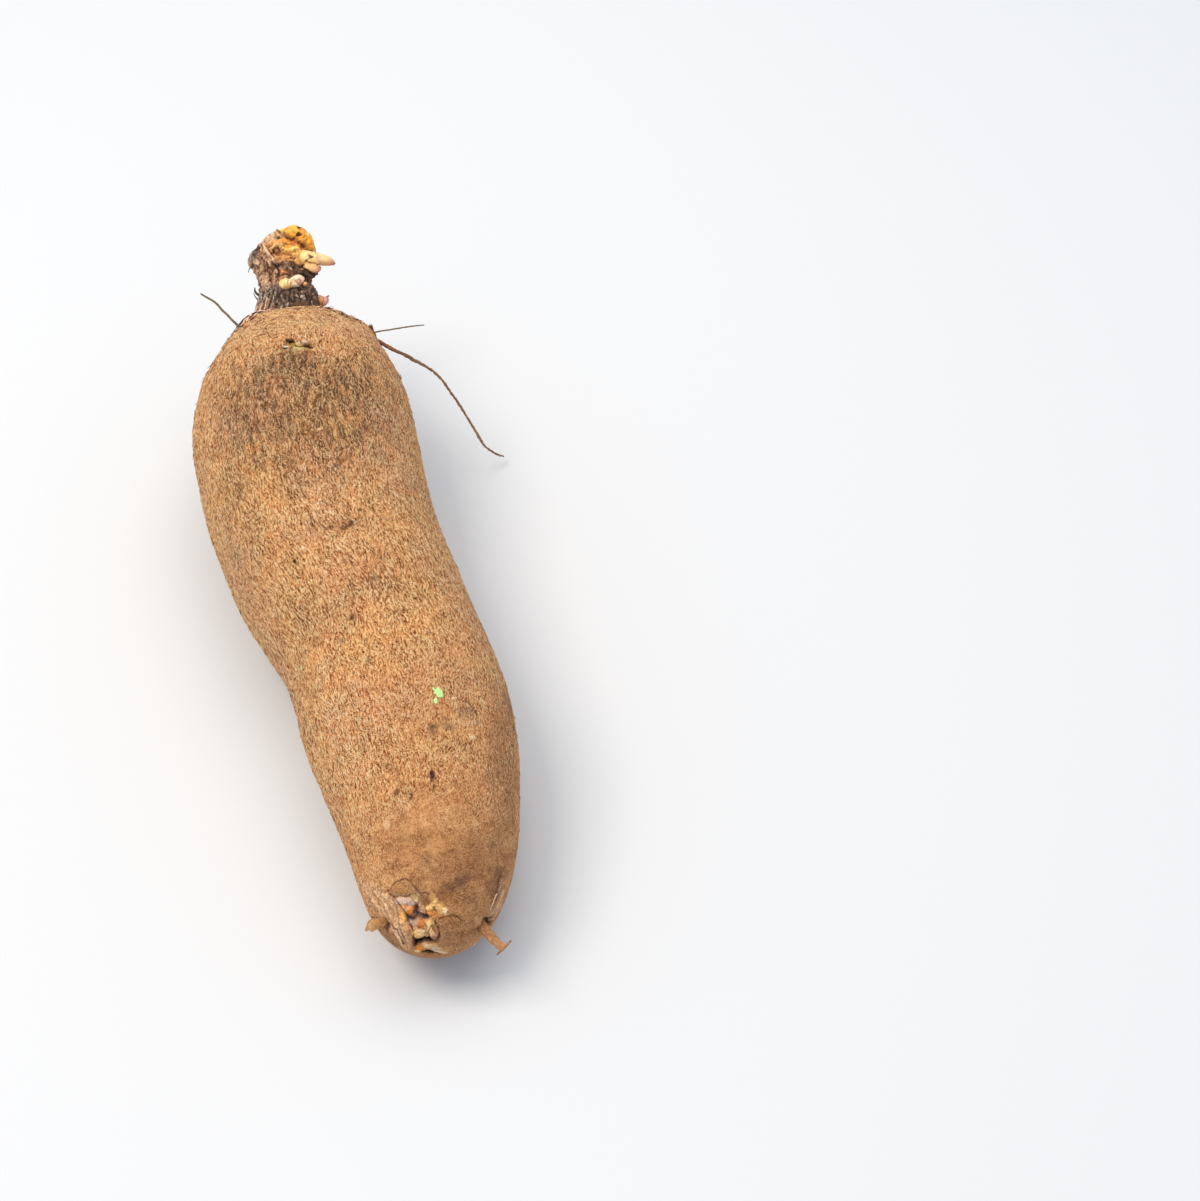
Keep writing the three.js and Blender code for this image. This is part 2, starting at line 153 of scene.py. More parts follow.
SHIFT = np.array([-11.117, -11.697, 0.0])
STATIONS = np.array([
    [-4.66, 157.45, 65.33, 51.41], [-5.47, 137.23, 55.14, 46.57], [-7.47, 117.00, 50.15, 46.52],
    [-9.47, 96.78, 47.94, 47.76], [-9.55, 76.55, 46.15, 47.68], [-9.42, 56.33, 44.94, 47.03],
    [-7.65, 36.11, 44.12, 45.86], [-4.90, 15.88, 43.68, 44.76], [-0.25, -4.34, 42.50, 42.87],
    [4.47, -24.57, 40.76, 40.91], [7.33, -44.79, 40.15, 41.01], [8.85, -65.02, 39.67, 41.34],
    [9.97, -85.24, 37.60, 39.26], [9.93, -105.46, 34.87, 35.76], [8.67, -125.69, 32.44, 32.05],
    [4.63, -145.91, 31.40, 29.58], [-2.07, -166.14, 33.61, 30.47],
])
AXIS_LENGTH, AXIS_SPAN, FLATTENING = 323.588, 0.045, 0.95
HEAD_CAP, HEAD_POWER, TIP_CAP, TIP_POWER = 75.897, 3.397, 54.217, 3.198
SINK, LUMP = 1.3, 0.4
BUMPS = [(-20.8, 146.4, 75.4, 3.6, 4.8), (2.0, 147.0, 79.0, -0.7, 12.0), (26.0, 137.5, 67.5, 1.2, 4.5), (32.5, 129.0, 59.0, -0.8, 8.0)]
WOUND_CENTRE, WOUND_NORMAL = np.array([-2.4, -160.8, 43.6]), unit([-0.30, -0.78, 0.55])
WOUND_DEPTH, WOUND_SPREAD = 1.8, 6.5


def station(s):
    n = len(STATIONS) - 1
    padded = np.vstack([2 * STATIONS[0] - STATIONS[1], STATIONS, 2 * STATIONS[n] - STATIONS[n - 1]])
    u = np.clip(s, 0, 1) * n
    i = np.minimum(np.floor(u).astype(int), n - 1)
    t = (u - i)[:, None]
    a, b, c, d = padded[i], padded[i + 1], padded[i + 2], padded[i + 3]
    return 0.5 * (2 * b + (c - a) * t + (2 * a - 5 * b + 4 * c - d) * t * t + (3 * b - a - 3 * c + d) * t**3)


def tuber_surface(s, theta):
    """Points of the tuber's smooth skin, the CAD solid's own shape."""
    s, theta = np.asarray(s, float), np.asarray(theta, float)
    row = station(s)
    axis = unit((station(np.minimum(s + AXIS_SPAN, 1)) - station(np.maximum(s - AXIS_SPAN, 0)))[:, :3])
    side = unit(np.stack([-axis[:, 1], axis[:, 0], np.zeros(len(s))], 1))
    up = np.cross(side, axis)
    up *= np.where(up[:, 2:] < 0, -1.0, 1.0)
    head = 1 - (1 - np.clip(s * AXIS_LENGTH / HEAD_CAP, 0, 1)) ** HEAD_POWER
    tip = 1 - (1 - np.clip((1 - s) * AXIS_LENGTH / TIP_CAP, 0, 1)) ** TIP_POWER
    cap = np.sqrt(head * tip)
    lump = LUMP * np.sin(np.pi * s) * (
        0.45 * np.sin(2 * theta + 9 * s + 0.6)
        + 0.35 * np.sin(3 * theta - 17 * s + 2.1)
        + 0.30 * np.sin(5 * theta + 23 * s)
    )
    r = row[:, 3] * cap + cap * lump
    out = side * np.cos(theta)[:, None] + FLATTENING * up * np.sin(theta)[:, None]
    p = row[:, :3] - [0, 0, SINK] + out * r[:, None]
    bump = np.zeros(len(s))
    for x, y, z, height, spread in BUMPS:
        bump += height * np.exp(-0.5 * ((p - [x, y, z]) ** 2).sum(1) / spread**2)
    p = p + out * bump[:, None]
    d2 = ((p - WOUND_CENTRE) ** 2).sum(1) / WOUND_SPREAD**2
    return p - WOUND_NORMAL * (WOUND_DEPTH * np.exp(-0.5 * d2))[:, None]


# Rings at even steps along the skin from pole to pole, finer at the wounded tip.
_s = (1 - np.cos(np.linspace(0, np.pi, 6001))) / 2
_top = tuber_surface(_s, np.full(len(_s), 0.5 * np.pi))
_arc = np.concatenate([[0], np.cumsum(np.linalg.norm(np.diff(_top, axis=0), axis=1))])


def step_at(s):
    return 1.80 - 1.08 * smooth(0.885, 0.935, s)


_density = 1 / step_at(_s)
_count = np.concatenate([[0], np.cumsum(0.5 * (_density[1:] + _density[:-1]) * np.diff(_arc))])
RINGS = int(round(_count[-1]))
ring_s = np.interp((np.arange(1, RINGS) / RINGS) * _count[-1], _count, _s)

_th = np.linspace(0, 2 * np.pi, 2001)
_u = (_th - 0.30 * np.cos(_th) + 0.30) / (2 * np.pi)  # more points on the upper side


def build_tuber():
    rng = np.random.default_rng(5)
    all_s, all_th, rings, start = [0.0], [0.0], [], 1
    for s in ring_s:
        loop = tuber_surface(np.full(60, s), np.linspace(0, 2 * np.pi, 60, endpoint=False))
        girth = np.linalg.norm(loop - np.roll(loop, 1, axis=0), axis=1).sum()
        n = max(12, int(round(girth / (0.85 - 0.22 * float(smooth(0.885, 0.935, s))))))
        u = (np.arange(n) + rng.uniform(0, 0.9)) / n
        rings.append((u, np.arange(start, start + n)))
        all_s.extend([s] * n)
        all_th.extend(np.interp(u, _u, _th))
        start += n
    all_s.append(1.0)
    all_th.append(0.0)
    s, th = np.array(all_s), np.array(all_th)
    tris = []
    first, last = rings[0][1], rings[-1][1]
    for k in range(len(first)):
        tris.append((0, first[k], first[(k + 1) % len(first)]))
    for (ua, ia), (ub, ib) in zip(rings[:-1], rings[1:]):
        tris.extend(stitch(ua, ia, ub, ib))
    for k in range(len(last)):
        tris.append((start, last[(k + 1) % len(last)], last[k]))
    return s, th, np.array(tris)


def face_out(p, tris):
    a, b, c = p[tris[:, 0]], p[tris[:, 1]], p[tris[:, 2]]
    if np.einsum("ij,ij->i", a - p.mean(0), np.cross(b - p.mean(0), c - p.mean(0))).sum() < 0:
        return tris[:, ::-1]
    return tris


def vertex_normals(p, tris):
    a, b, c = p[tris[:, 0]], p[tris[:, 1]], p[tris[:, 2]]
    f = np.cross(b - a, c - a)
    n = np.zeros_like(p)
    for k in range(3):
        np.add.at(n, tris[:, k], f)
    return unit(n)


def refine(p, tris, extra, target, rounds=3):
    """Splits the triangles' edges that are longer than target(points) allows.
    extra is a list of arrays interpolated with the points."""
    for _ in range(rounds):
        e = np.vstack([tris[:, [0, 1]], tris[:, [1, 2]], tris[:, [2, 0]]])
        e.sort(axis=1)
        edges, inverse = np.unique(e, axis=0, return_inverse=True)
        inverse = inverse.ravel()
        a, b = p[edges[:, 0]], p[edges[:, 1]]
        length = np.linalg.norm(a - b, axis=1)
        mark = length > 1.35 * target(0.5 * (a + b))
        if not mark.any():
            break
        new = np.full(len(edges), -1)
        new[mark] = len(p) + np.arange(mark.sum())
        p = np.vstack([p, 0.5 * (a + b)[mark]])
        extra = [np.concatenate([x, 0.5 * (x[edges[mark, 0]] + x[edges[mark, 1]])]) for x in extra]
        n = len(tris)
        m = np.stack([new[inverse[:n]], new[inverse[n:2 * n]], new[inverse[2 * n:]]], 1)
        k = (m >= 0).sum(1)
        out = [tris[k == 0]]
        for shift in range(3):
            t, q = np.roll(tris, -shift, axis=1), np.roll(m, -shift, axis=1)
            one = (k == 1) & (q[:, 0] >= 0)
            out += [np.stack([t[one, 0], q[one, 0], t[one, 2]], 1), np.stack([q[one, 0], t[one, 1], t[one, 2]], 1)]
            two = (k == 2) & (q[:, 2] < 0)
            out += [
                np.stack([q[two, 0], t[two, 1], q[two, 1]], 1),
                np.stack([t[two, 0], q[two, 0], q[two, 1]], 1),
                np.stack([t[two, 0], q[two, 1], t[two, 2]], 1),
            ]
        all3 = k == 3
        t, q = tris[all3], m[all3]
        out += [
            np.stack([t[:, 0], q[:, 0], q[:, 2]], 1), np.stack([q[:, 0], t[:, 1], q[:, 1]], 1),
            np.stack([q[:, 2], q[:, 1], t[:, 2]], 1), q,
        ]
        tris = np.vstack(out)
    return p, tris, extra


# Marks on the surface are laid out on a plane that faces up and towards the
# tip: right along it, up along it, and out of it.
PLANE_RIGHT = np.array([0.97738, -0.21149, 0.0])
PLANE_UP = np.array([0.15467, 0.71481, 0.68200])
PLANE_OUT = np.array([-0.14423, -0.66657, 0.73135])


def on_plane(v):
    return v @ PLANE_RIGHT, v @ PLANE_UP, v @ PLANE_OUT


def line_distance(p, points):
    """Distance on the plane from a line through the points, and depth from it."""
    x, y, z = on_plane(p)
    q = np.stack(on_plane(np.array(points, float)), 1)
    best, depth = np.full(len(p), 1e9), np.full(len(p), 1e9)
    for a, b in zip(q[:-1], q[1:]):
        d = b[:2] - a[:2]
        t = np.clip(((x - a[0]) * d[0] + (y - a[1]) * d[1]) / max(float(d @ d), 1e-9), 0, 1)
        dist = np.hypot(x - a[0] - t * d[0], y - a[1] - t * d[1])
        nearer = dist < best
        best = np.where(nearer, dist, best)
        depth = np.where(nearer, np.abs(z - a[2] - t * (b[2] - a[2])), depth)
    return best, depth


def blob_distance(p, row):
    """Distance from an oval mark's middle, 1 at its edge, and depth from it in mm."""
    cx, cy, cz, ra, rb, angle = row[:6]
    x, y, z = on_plane(p - [cx, cy, cz])
    c, s = math.cos(math.radians(angle)), math.sin(math.radians(angle))
    return np.hypot((x * c + y * s) / ra, (-x * s + y * c) / rb), np.abs(z)


def detail_target(p, blobs, lines, coarse, finest=0.27):
    """The edge length that the marks need at each point."""
    want = np.full(len(p), coarse)
    for row in blobs:
        big, small = max(row[3], row[4]), min(row[3], row[4])
        if small > 3.0:
            continue
        close = np.linalg.norm(p - np.array(row[:3]), axis=1) < 1.25 * big + 0.5
        fine = 0.42 * small if row[9] < 0.58 else max(1.05 * small, 0.62)
        want[close] = np.minimum(want[close], min(max(fine, finest), coarse))
    for points, half, *_ in lines:
        q = np.array(points)
        lo, hi = q.min(0) - 2, q.max(0) + 2
        box = np.where(((p > lo) & (p < hi)).all(1))[0]
        if len(box):
            dist, depth = line_distance(p[box], points)
            close = box[(dist < half * 1.6 + 0.35) & (depth < 3)]
            want[close] = np.minimum(want[close], min(max(0.7 * half, finest), coarse))
    return want


def lay_marks(p, blobs, lines, paint, alpha, raised, ragged=0.28):
    """Paints the marks over the colours already there and raises or sinks them."""
    warp_a, warp_b = fractal(p, 0.8, 71, 2), noise3(p / 2.3, 75)
    shake = np.stack([fractal(p, 1.7, k, 3, 0.6) for k in (76, 80, 84)], 1)
    still = p
    p = p + 0.42 * shake
    for row in blobs:
        big, small = max(row[3], row[4]), min(row[3], row[4])
        near_it = np.where(np.linalg.norm(still - np.array(row[:3]), axis=1) < 2.2 * big + 2.5)[0]
        if not len(near_it):
            continue
        use = p if small > 0.75 else still + (p - still) * small / 0.75
        swell = 1.42 if small < 0.7 else (1.25 if small < 1.1 else 1.06)
        d, depth = blob_distance(use[near_it], row)
        d = d / swell
        rough_edge = ragged * (warp_a[near_it] * min(1.0, 0.9 / small) + warp_b[near_it] * min(1.0, small / 1.6))
        soft = min(0.9, row[9] + 0.1)
        m = row[8] * smooth(1 + soft, 1 - soft, d + rough_edge) * smooth(2.5 * big + 3, 1.5 * big + 2, depth)
        paint_over(paint, alpha, near_it, row[7], m)
        raised[near_it] += row[6] * m / max(row[8], 0.01)
    for points, half, height, colour, strength, soft in lines:
        q = np.array(points)
        lo, hi = q.min(0) - 3, q.max(0) + 3
        near_it = np.where(((still > lo) & (still < hi)).all(1))[0]
        if not len(near_it):
            continue
        dist, depth = line_distance((still + 0.6 * (p - still))[near_it], points)
        soft = min(0.9, soft + 0.2)
        d = dist / (1.2 * half) + ragged * 1.2 * warp_a[near_it] + 0.25 * warp_b[near_it]
        m = strength * smooth(1 + soft, 1 - soft, d) * smooth(4, 2.5, depth)
        m = m * np.clip(0.80 + 0.75 * fractal(still[near_it], 2.0, 79, 2), 0.25, 1)
        paint_over(paint, alpha, near_it, colour, m)
        raised[near_it] += height * m / strength


def linear(rgb):
    v = np.asarray(rgb, float) / 255
    return np.where(v > 0.04045, ((v + 0.055) / 1.055) ** 2.4, v / 12.92)


def paint_over(paint, alpha, index, rgb, m):
    colour = linear(rgb)
    total = m + alpha[index] * (1 - m)
    safe = np.maximum(total, 1e-6)
    paint[index] = (colour * m[:, None] + paint[index] * (alpha[index] * (1 - m))[:, None]) / safe[:, None]
    alpha[index] = total


def spread_colours(paint, alpha, tris, rounds=3):
    """Carries the marks' colours out over the bare skin next to them, so that
    they don't darken towards their edges."""
    e = np.vstack([tris[:, [0, 1]], tris[:, [1, 2]], tris[:, [2, 0]]])
    known = alpha > 0.004
    for _ in range(rounds):
        total, count = np.zeros_like(paint), np.zeros(len(paint))
        for a, b in ((0, 1), (1, 0)):
            use = known[e[:, a]] & ~known[e[:, b]]
            np.add.at(total, e[use, b], paint[e[use, a]])
            np.add.at(count, e[use, b], 1)
        new = count > 0
        paint[new] = total[new] / count[new][:, None]
        known = known | new


BLOBS = [
    (-10.2, 109.6, 90.8, 0.89, 0.59, -5, -0.7, (42, 22, 12), 1, 0.3),
    (-9.1, 108.5, 90.9, 0.55, 0.42, 0, -0.3, (90, 60, 22), 0.9, 0.35),
    (-12.2, 106.9, 90.9, 0.55, 0.25, 0, -0.1, (95, 62, 40), 0.8, 0.35),
    # Painted highlight: the small near-white spot at the left end of the scar.
    (-12.4, 105.9, 91.0, 0.46, 0.30, 0, 0.1, (236, 214, 190), 0.9, 0.35),
    (-12.5, 104.9, 91.1, 0.59, 0.38, 0, -0.25, (70, 36, 22), 0.95, 0.35),
    (-9.5, 105.8, 91.1, 0.80, 0.46, -20, 0.0, (192, 168, 66), 0.85, 0.35),
    (-8.5, 104.0, 91.3, 0.97, 0.51, -25, 0.1, (208, 198, 118), 0.85, 0.35),
    (-8.0, 102.6, 91.4, 0.84, 0.51, 0, 0.1, (212, 190, 140), 0.8, 0.35),
    (-6.6, 102.9, 91.3, 1.05, 0.51, 0, 0.05, (196, 164, 112), 0.7, 0.35),
    (-3.5, 104.8, 90.9, 0.80, 0.51, 0, -0.65, (38, 22, 14), 1, 0.3),
    (-2.2, 103.3, 90.8, 0.76, 0.30, -10, -0.3, (80, 50, 28), 0.9, 0.35),
    (-5.8, 111.2, 90.6, 0.51, 0.42, 0, 0.1, (240, 212, 180), 0.7, 0.35),
    (-4.3, 107.8, 90.8, 0.97, 0.68, 0, 0.25, (244, 212, 172), 0.6, 0.35),
    # Painted shadow: the brown blob below the scar.
    (-3.5, 100.5, 91.2, 0.76, 0.93, 0, 0, (140, 84, 44), 0.6, 0.35),
    (-9.2, 113.6, 90.3, 0.34, 0.68, 25, -0.15, (140, 88, 50), 0.6, 0.35),
    (-4.9, 97.7, 91.5, 2.52, 1.05, 0, 0, (120, 88, 66), 0.35, 0.6),
    (0.1, 3.9, 83.4, 0.87, 0.64, 0, -0.1, (92, 66, 48), 0.8, 0.35),
    (-2.6, 2.3, 83.3, 1.79, 0.56, 25, -0.05, (112, 82, 58), 0.6, 0.35),
    (-8.6, 2.9, 83.2, 1.27, 0.60, 15, -0.05, (110, 80, 56), 0.6, 0.35),
    (-1.1, 34.4, 85.8, 1.22, 0.97, 0, 0, (96, 70, 54), 0.5, 0.35),
    (-24.5, -5.7, 76.0, 0.48, 0.51, 0, -0.3, (48, 26, 14), 0.95, 0.35),
    (-20.2, -2.0, 79.2, 0.52, 0.44, 0, 0.15, (248, 226, 196), 0.9, 0.35),
    (2.9, 12.3, 84.0, 0.52, 0.64, 20, 0.15, (240, 204, 162), 0.6, 0.35),
    (-11.1, 15.8, 84.7, 0.88, 0.36, 0, 0.1, (240, 214, 180), 0.8, 0.35),
    (-1.9, 33.0, 85.9, 0.40, 0.49, 0, 0.1, (238, 208, 172), 0.8, 0.35),
    (4.5, 10.1, 83.5, 0.72, 0.36, 0, -0.15, (80, 52, 34), 0.8, 0.35),
    (-24.1, -6.7, 76.0, 0.99, 0.32, -40, -0.1, (110, 70, 40), 0.6, 0.35),
    (-48.6, 7.6, 37.9, 0.41, 0.57, 0, 0.2, (70, 42, 30), 0.9, 0.35),
    (-6.6, -40.1, 75.7, 0.93, 0.78, 0, -0.15, (90, 60, 42), 0.7, 0.35),
    (5.0, -23.9, 78.6, 1.37, 0.98, 0, 0, (112, 84, 64), 0.5, 0.35),
    (-12.4, -48.8, 72.8, 1.54, 1.16, 0, -0.05, (120, 84, 56), 0.5, 0.35),
    (-3.9, -63.6, 76.0, 0.76, 0.61, 0, -0.1, (100, 68, 44), 0.6, 0.35),
    (15.2, -97.3, 70.9, 2.06, 1.20, 0, -0.05, (112, 74, 50), 0.75, 0.6),
    (14.5, -99.2, 70.4, 1.31, 1.87, 0, 0, (120, 82, 54), 0.55, 0.6),
    (21.2, -97.5, 69.5, 2.07, 0.98, -10, 0, (124, 98, 80), 0.6, 0.6),
    (20.8, -94.1, 70.6, 1.51, 1.13, 0, 0, (140, 106, 84), 0.5, 0.7),
    (11.5, -115.6, 65.4, 0.86, 1.93, 8, -0.35, (66, 38, 40), 0.95, 0.35),
    (11.5, -119.7, 64.0, 0.37, 0.59, 0, -0.1, (92, 58, 44), 0.8, 0.35),
    (9.9, -116.0, 65.3, 0.45, 0.52, 0, -0.1, (110, 70, 48), 0.7, 0.35),
    (-2.7, -118.3, 62.1, 0.71, 1.26, -25, -0.2, (104, 66, 40), 0.85, 0.35),
    (2.6, -121.7, 62.6, 0.48, 1.07, -8, -0.15, (96, 62, 40), 0.8, 0.35),
    (-4.1, -107.6, 65.1, 1.12, 0.90, 0, 0, (136, 96, 62), 0.5, 0.35),
    (-1.7, -109.6, 65.4, 1.49, 0.82, 0, 0, (134, 94, 60), 0.45, 0.35),
    (-7.0, -106.2, 64.2, 0.60, 0.52, 0, 0, (130, 90, 58), 0.55, 0.35),
    (-1.4, -123.0, 61.0, 2.41, 1.85, 0, 0.1, (234, 190, 144), 0.34, 0.6),
    (-10.6, -107.0, 61.7, 0.97, 1.27, 20, 0.1, (240, 204, 162), 0.5, 0.6),
    (-7.8, -127.9, 56.5, 1.11, 1.85, 15, 0.1, (236, 200, 158), 0.45, 0.6),
    (-21.7, -86.6, 58.9, 1.90, 1.71, 0, 0.05, (236, 202, 162), 0.4, 0.6),
    (-19.2, -123.3, 45.7, 1.31, 2.62, 18, 0.05, (228, 186, 142), 0.4, 0.6),
    (-4.4, -94.3, 69.4, 1.50, 1.50, 0, 0.05, (230, 190, 146), 0.3, 0.6),
    (-2.5, -136.1, 56.3, 2.58, 1.29, 0, 0, (132, 92, 60), 0.5, 0.7),
    (3.8, -138.9, 57.1, 2.21, 1.10, 0, 0, (136, 94, 60), 0.4, 0.7),
    (29.4, -139.6, 48.7, 1.26, 1.49, 0, 0, (128, 92, 68), 0.65, 0.6),
    (3.9, -145.4, 54.6, 1.83, 2.02, 0, 0, (140, 104, 74), 0.45, 0.6),
    (6.0, -137.5, 57.9, 3.68, 2.21, 0, 0, (150, 106, 68), 0.3, 0.7),
    (23.1, -138.3, 54.2, 5.18, 2.59, -8, 0, (150, 106, 70), 0.38, 0.7),
    (-1.5, -131.2, 58.5, 2.58, 1.84, 0, 0, (160, 116, 76), 0.35, 0.7),
    (-15.9, -121.6, 51.3, 1.49, 2.98, 0, 0, (178, 136, 96), 0.3, 0.7),
    (15.3, -153.9, 49.4, 3.11, 2.02, 30, 0, (96, 64, 58), 0.72, 0.6),
    (10.4, -156.2, 49.5, 3.29, 1.46, 12, 0, (116, 78, 58), 0.62, 0.6),
    (30.1, -147.4, 41.2, 1.19, 2.60, 12, 0, (98, 66, 52), 0.65, 0.6),
    (28.0, -152.5, 38.5, 1.11, 2.97, 8, 0, (124, 86, 62), 0.5, 0.6),
    (10.2, -160.3, 46.2, 3.65, 1.83, 0, 0, (150, 96, 62), 0.4, 0.7),
    (22.1, -146.7, 50.1, 8.11, 3.32, 0, 0, (150, 100, 66), 0.25, 0.7),
    (28.7, -91.4, 68.2, 3.41, 2.27, 0, -0.1, (176, 132, 100), 0.55, 0.5),
    (30.1, -94.8, 66.4, 2.65, 0.83, 5, 0.1, (228, 184, 144), 0.5, 0.5),
    (24.5, -96.0, 68.8, 0.98, 0.83, 30, 0.1, (232, 192, 152), 0.6, 0.5),
    (25.4, -85.2, 71.2, 0.61, 0.38, 0, 0.1, (244, 214, 176), 0.8, 0.35),
    (28.3, -89.7, 68.8, 2.27, 0.76, -10, 0, (150, 112, 88), 0.6, 0.5),
    (29.3, -100.5, 65.0, 0.90, 0.60, 0, 0.1, (234, 200, 162), 0.7, 0.35),
    (-5.8, -152.7, 48.8, 4.02, 2.56, 0, 0.35, (168, 122, 82), 0.5, 0.5),
    (-7.2, -153.4, 47.5, 3.29, 0.95, 0, 0.0, (128, 88, 62), 0.6, 0.5),
    (-1.9, -159.1, 46.2, 8.76, 4.75, -25, -0.5, (170, 130, 96), 0.75, 0.3),
    (-1.8, -161.8, 43.2, 6.57, 5.11, -40, -0.3, (160, 122, 94), 0.6, 0.4),
    (-6.5, -156.3, 46.0, 3.00, 1.32, -8, 0.25, (218, 180, 151), 0.95, 0.3),
    (-3.2, -158.6, 46.0, 2.37, 1.02, -20, 0.25, (212, 172, 142), 0.9, 0.35),
    (-3.1, -157.1, 47.4, 1.83, 1.39, 0, 0.2, (178, 142, 104), 0.8, 0.4),
    (-2.4, -157.8, 47.1, 0.55, 0.51, 0, 0.3, (254, 218, 141), 0.95, 0.35),
    (1.6, -158.9, 47.5, 1.82, 1.82, 0, 0.1, (146, 110, 74), 0.8, 0.4),
    (-0.1, -157.9, 47.9, 0.73, 1.17, 20, -0.2, (106, 76, 54), 0.8, 0.4),
    (3.6, -158.7, 48.0, 1.09, 1.46, 0, 0.2, (196, 150, 98), 0.7, 0.4),
    (-7.0, -158.3, 43.8, 1.10, 1.02, 0, 0.35, (230, 172, 126), 0.9, 0.35),
    (-5.1, -159.6, 43.9, 1.53, 1.46, 0, 0.9, (196, 126, 64), 0.95, 0.3),
    (-5.5, -159.1, 44.1, 0.58, 0.51, 0, 0.2, (242, 167, 94), 0.7, 0.5),
    (-3.1, -160.1, 44.5, 0.73, 1.53, 10, -0.5, (84, 66, 68), 0.9, 0.35),
    (-1.6, -161.1, 44.2, 1.10, 1.46, 0, -0.1, (150, 124, 112), 0.8, 0.4),
    (1.6, -160.7, 45.7, 1.82, 1.02, 10, 0.3, (232, 182, 110), 0.9, 0.35),
    (5.1, -161.1, 45.9, 2.01, 1.24, -10, 0.3, (228, 172, 104), 0.85, 0.4),
    (4.2, -159.7, 47.2, 0.91, 1.46, 30, 0.3, (222, 167, 94), 0.7, 0.4),
    (7.3, -162.6, 44.1, 0.95, 1.13, 0, 0.4, (252, 209, 149), 0.95, 0.35),
    (1.0, -161.8, 44.3, 1.53, 1.75, 0, 0.3, (214, 146, 84), 0.9, 0.35),
    (2.8, -162.9, 43.4, 1.17, 1.10, 0, 0.2, (206, 138, 84), 0.85, 0.35),
    (4.5, -163.4, 43.0, 1.83, 0.80, 0, 0.1, (196, 138, 84), 0.6, 0.5),
    (-8.2, -160.0, 40.5, 1.10, 2.34, 12, 0.35, (226, 166, 94), 0.95, 0.3),
    (-6.9, -162.5, 37.5, 0.88, 1.47, 20, 0.2, (220, 157, 94), 0.8, 0.4),
    (-4.4, -162.7, 39.8, 1.83, 2.19, 0, 0.15, (202, 159, 122), 0.9, 0.35),
    (-5.2, -161.7, 40.9, 0.73, 1.10, 0, 0.2, (190, 153, 127), 0.8, 0.4),
    (-1.9, -163.7, 40.1, 1.57, 1.39, 0, 0.5, (196, 124, 66), 0.95, 0.3),
    (-3.0, -164.8, 36.5, 2.34, 1.54, 0, 0.3, (232, 195, 141), 0.95, 0.35),
    (0.8, -164.4, 40.3, 1.54, 1.90, 0, 0.35, (232, 190, 127), 0.9, 0.35),
    (-1.5, -165.1, 37.4, 0.66, 0.44, 0, 0.2, (252, 218, 171), 0.9, 0.35),
    (-3.2, -164.1, 38.3, 0.44, 0.33, 0, -0.3, (150, 110, 80), 0.8, 0.35),
    (2.9, -166.4, 36.4, 1.83, 2.05, 0, 0.3, (146, 100, 74), 0.85, 0.35),
    (3.0, -166.3, 36.9, 0.73, 0.59, 0, 0.2, (190, 140, 110), 0.7, 0.35),
    (1.9, -165.4, 38.7, 0.59, 1.02, 30, -0.2, (110, 74, 52), 0.8, 0.35),
    (-4.3, -165.4, 31.1, 1.03, 1.54, 0, -1.6, (22, 22, 24), 1, 0.25),
    (-2.2, -166.0, 32.9, 2.28, 0.70, 8, -1.4, (30, 26, 22), 1, 0.25),
    (2.2, -167.4, 29.5, 2.87, 1.18, -24, 0.4, (210, 163, 117), 0.95, 0.25),
    (-0.5, -166.8, 30.4, 1.10, 0.81, 0, 0.4, (222, 180, 127), 0.9, 0.35),
    (-3.5, -165.7, 28.1, 1.40, 0.96, 15, 0.2, (224, 148, 78), 0.9, 0.35),
    (-0.4, -166.6, 26.6, 1.99, 0.48, -6, -0.9, (24, 20, 18), 1, 0.25),
    (-2.2, -165.2, 23.0, 2.22, 0.44, 0, 0.2, (170, 112, 72), 0.6, 0.5),
    (7.1, -166.9, 35.3, 1.47, 1.47, 0, 0, (122, 88, 66), 0.55, 0.6),
    (5.7, -167.4, 33.0, 2.20, 1.84, 0, 0, (140, 100, 74), 0.5, 0.6),
    (7.8, -165.0, 40.3, 2.93, 1.83, 0, 0, (170, 118, 76), 0.4, 0.6),
    (-13.8, -157.1, 35.1, 1.18, 0.59, -35, -0.5, (66, 42, 30), 0.85, 0.4),
    (23.1, -160.7, 30.6, 1.33, 1.70, 20, -1.2, (46, 26, 26), 1, 0.3),
    (20.8, -162.6, 28.4, 0.89, 1.48, 35, -0.6, (96, 66, 52), 0.9, 0.4),
    # The next six dark blobs round the foot of the collar are partly the collar's dark fringe and partly painted shadow
    # under its overhanging edge.
    (-24.5, 145.4, 76.5, 3.49, 0.83, 38, 0.1, (84, 66, 56), 0.7, 0.6),
    (-28.9, 143.9, 73.3, 3.05, 0.79, 45, 0.1, (84, 66, 56), 0.6, 0.6),
    (-18.6, 146.0, 77.7, 2.62, 0.61, 20, 0.1, (84, 66, 56), 0.6, 0.6),
    (-2.4, 141.3, 81.0, 3.91, 0.61, 0, 0.1, (84, 66, 56), 0.35, 0.6),
    (13.0, 144.3, 74.1, 2.63, 0.88, -25, 0.1, (84, 66, 56), 0.5, 0.6),
    (17.5, 136.1, 76.4, 3.05, 1.05, -25, 0.1, (84, 66, 56), 0.45, 0.6),
    (-10.0, 108.6, 90.9, 1.65, 0.85, -8, -0.25, (120, 80, 38), 0.8, 0.5),
    (-3.3, 104.1, 90.9, 1.86, 0.93, -12, -0.2, (124, 82, 44), 0.75, 0.5),
    (-9.0, 105.3, 91.2, 1.27, 0.55, -35, 0, (184, 160, 58), 1, 0.4),
    (-7.5, 102.9, 91.3, 1.69, 0.67, 4, 0.15, (210, 188, 128), 0.95, 0.45),
    (-5.3, 102.4, 91.3, 1.01, 0.51, 0, 0.05, (196, 158, 104), 0.8, 0.5),
    (-4.0, 107.3, 90.8, 1.10, 0.63, 0, 0.35, (248, 214, 172), 0.8, 0.5),
    (-10.3, 109.7, 90.8, 1.14, 0.53, -4, -0.8, (32, 16, 8), 1, 0.3),
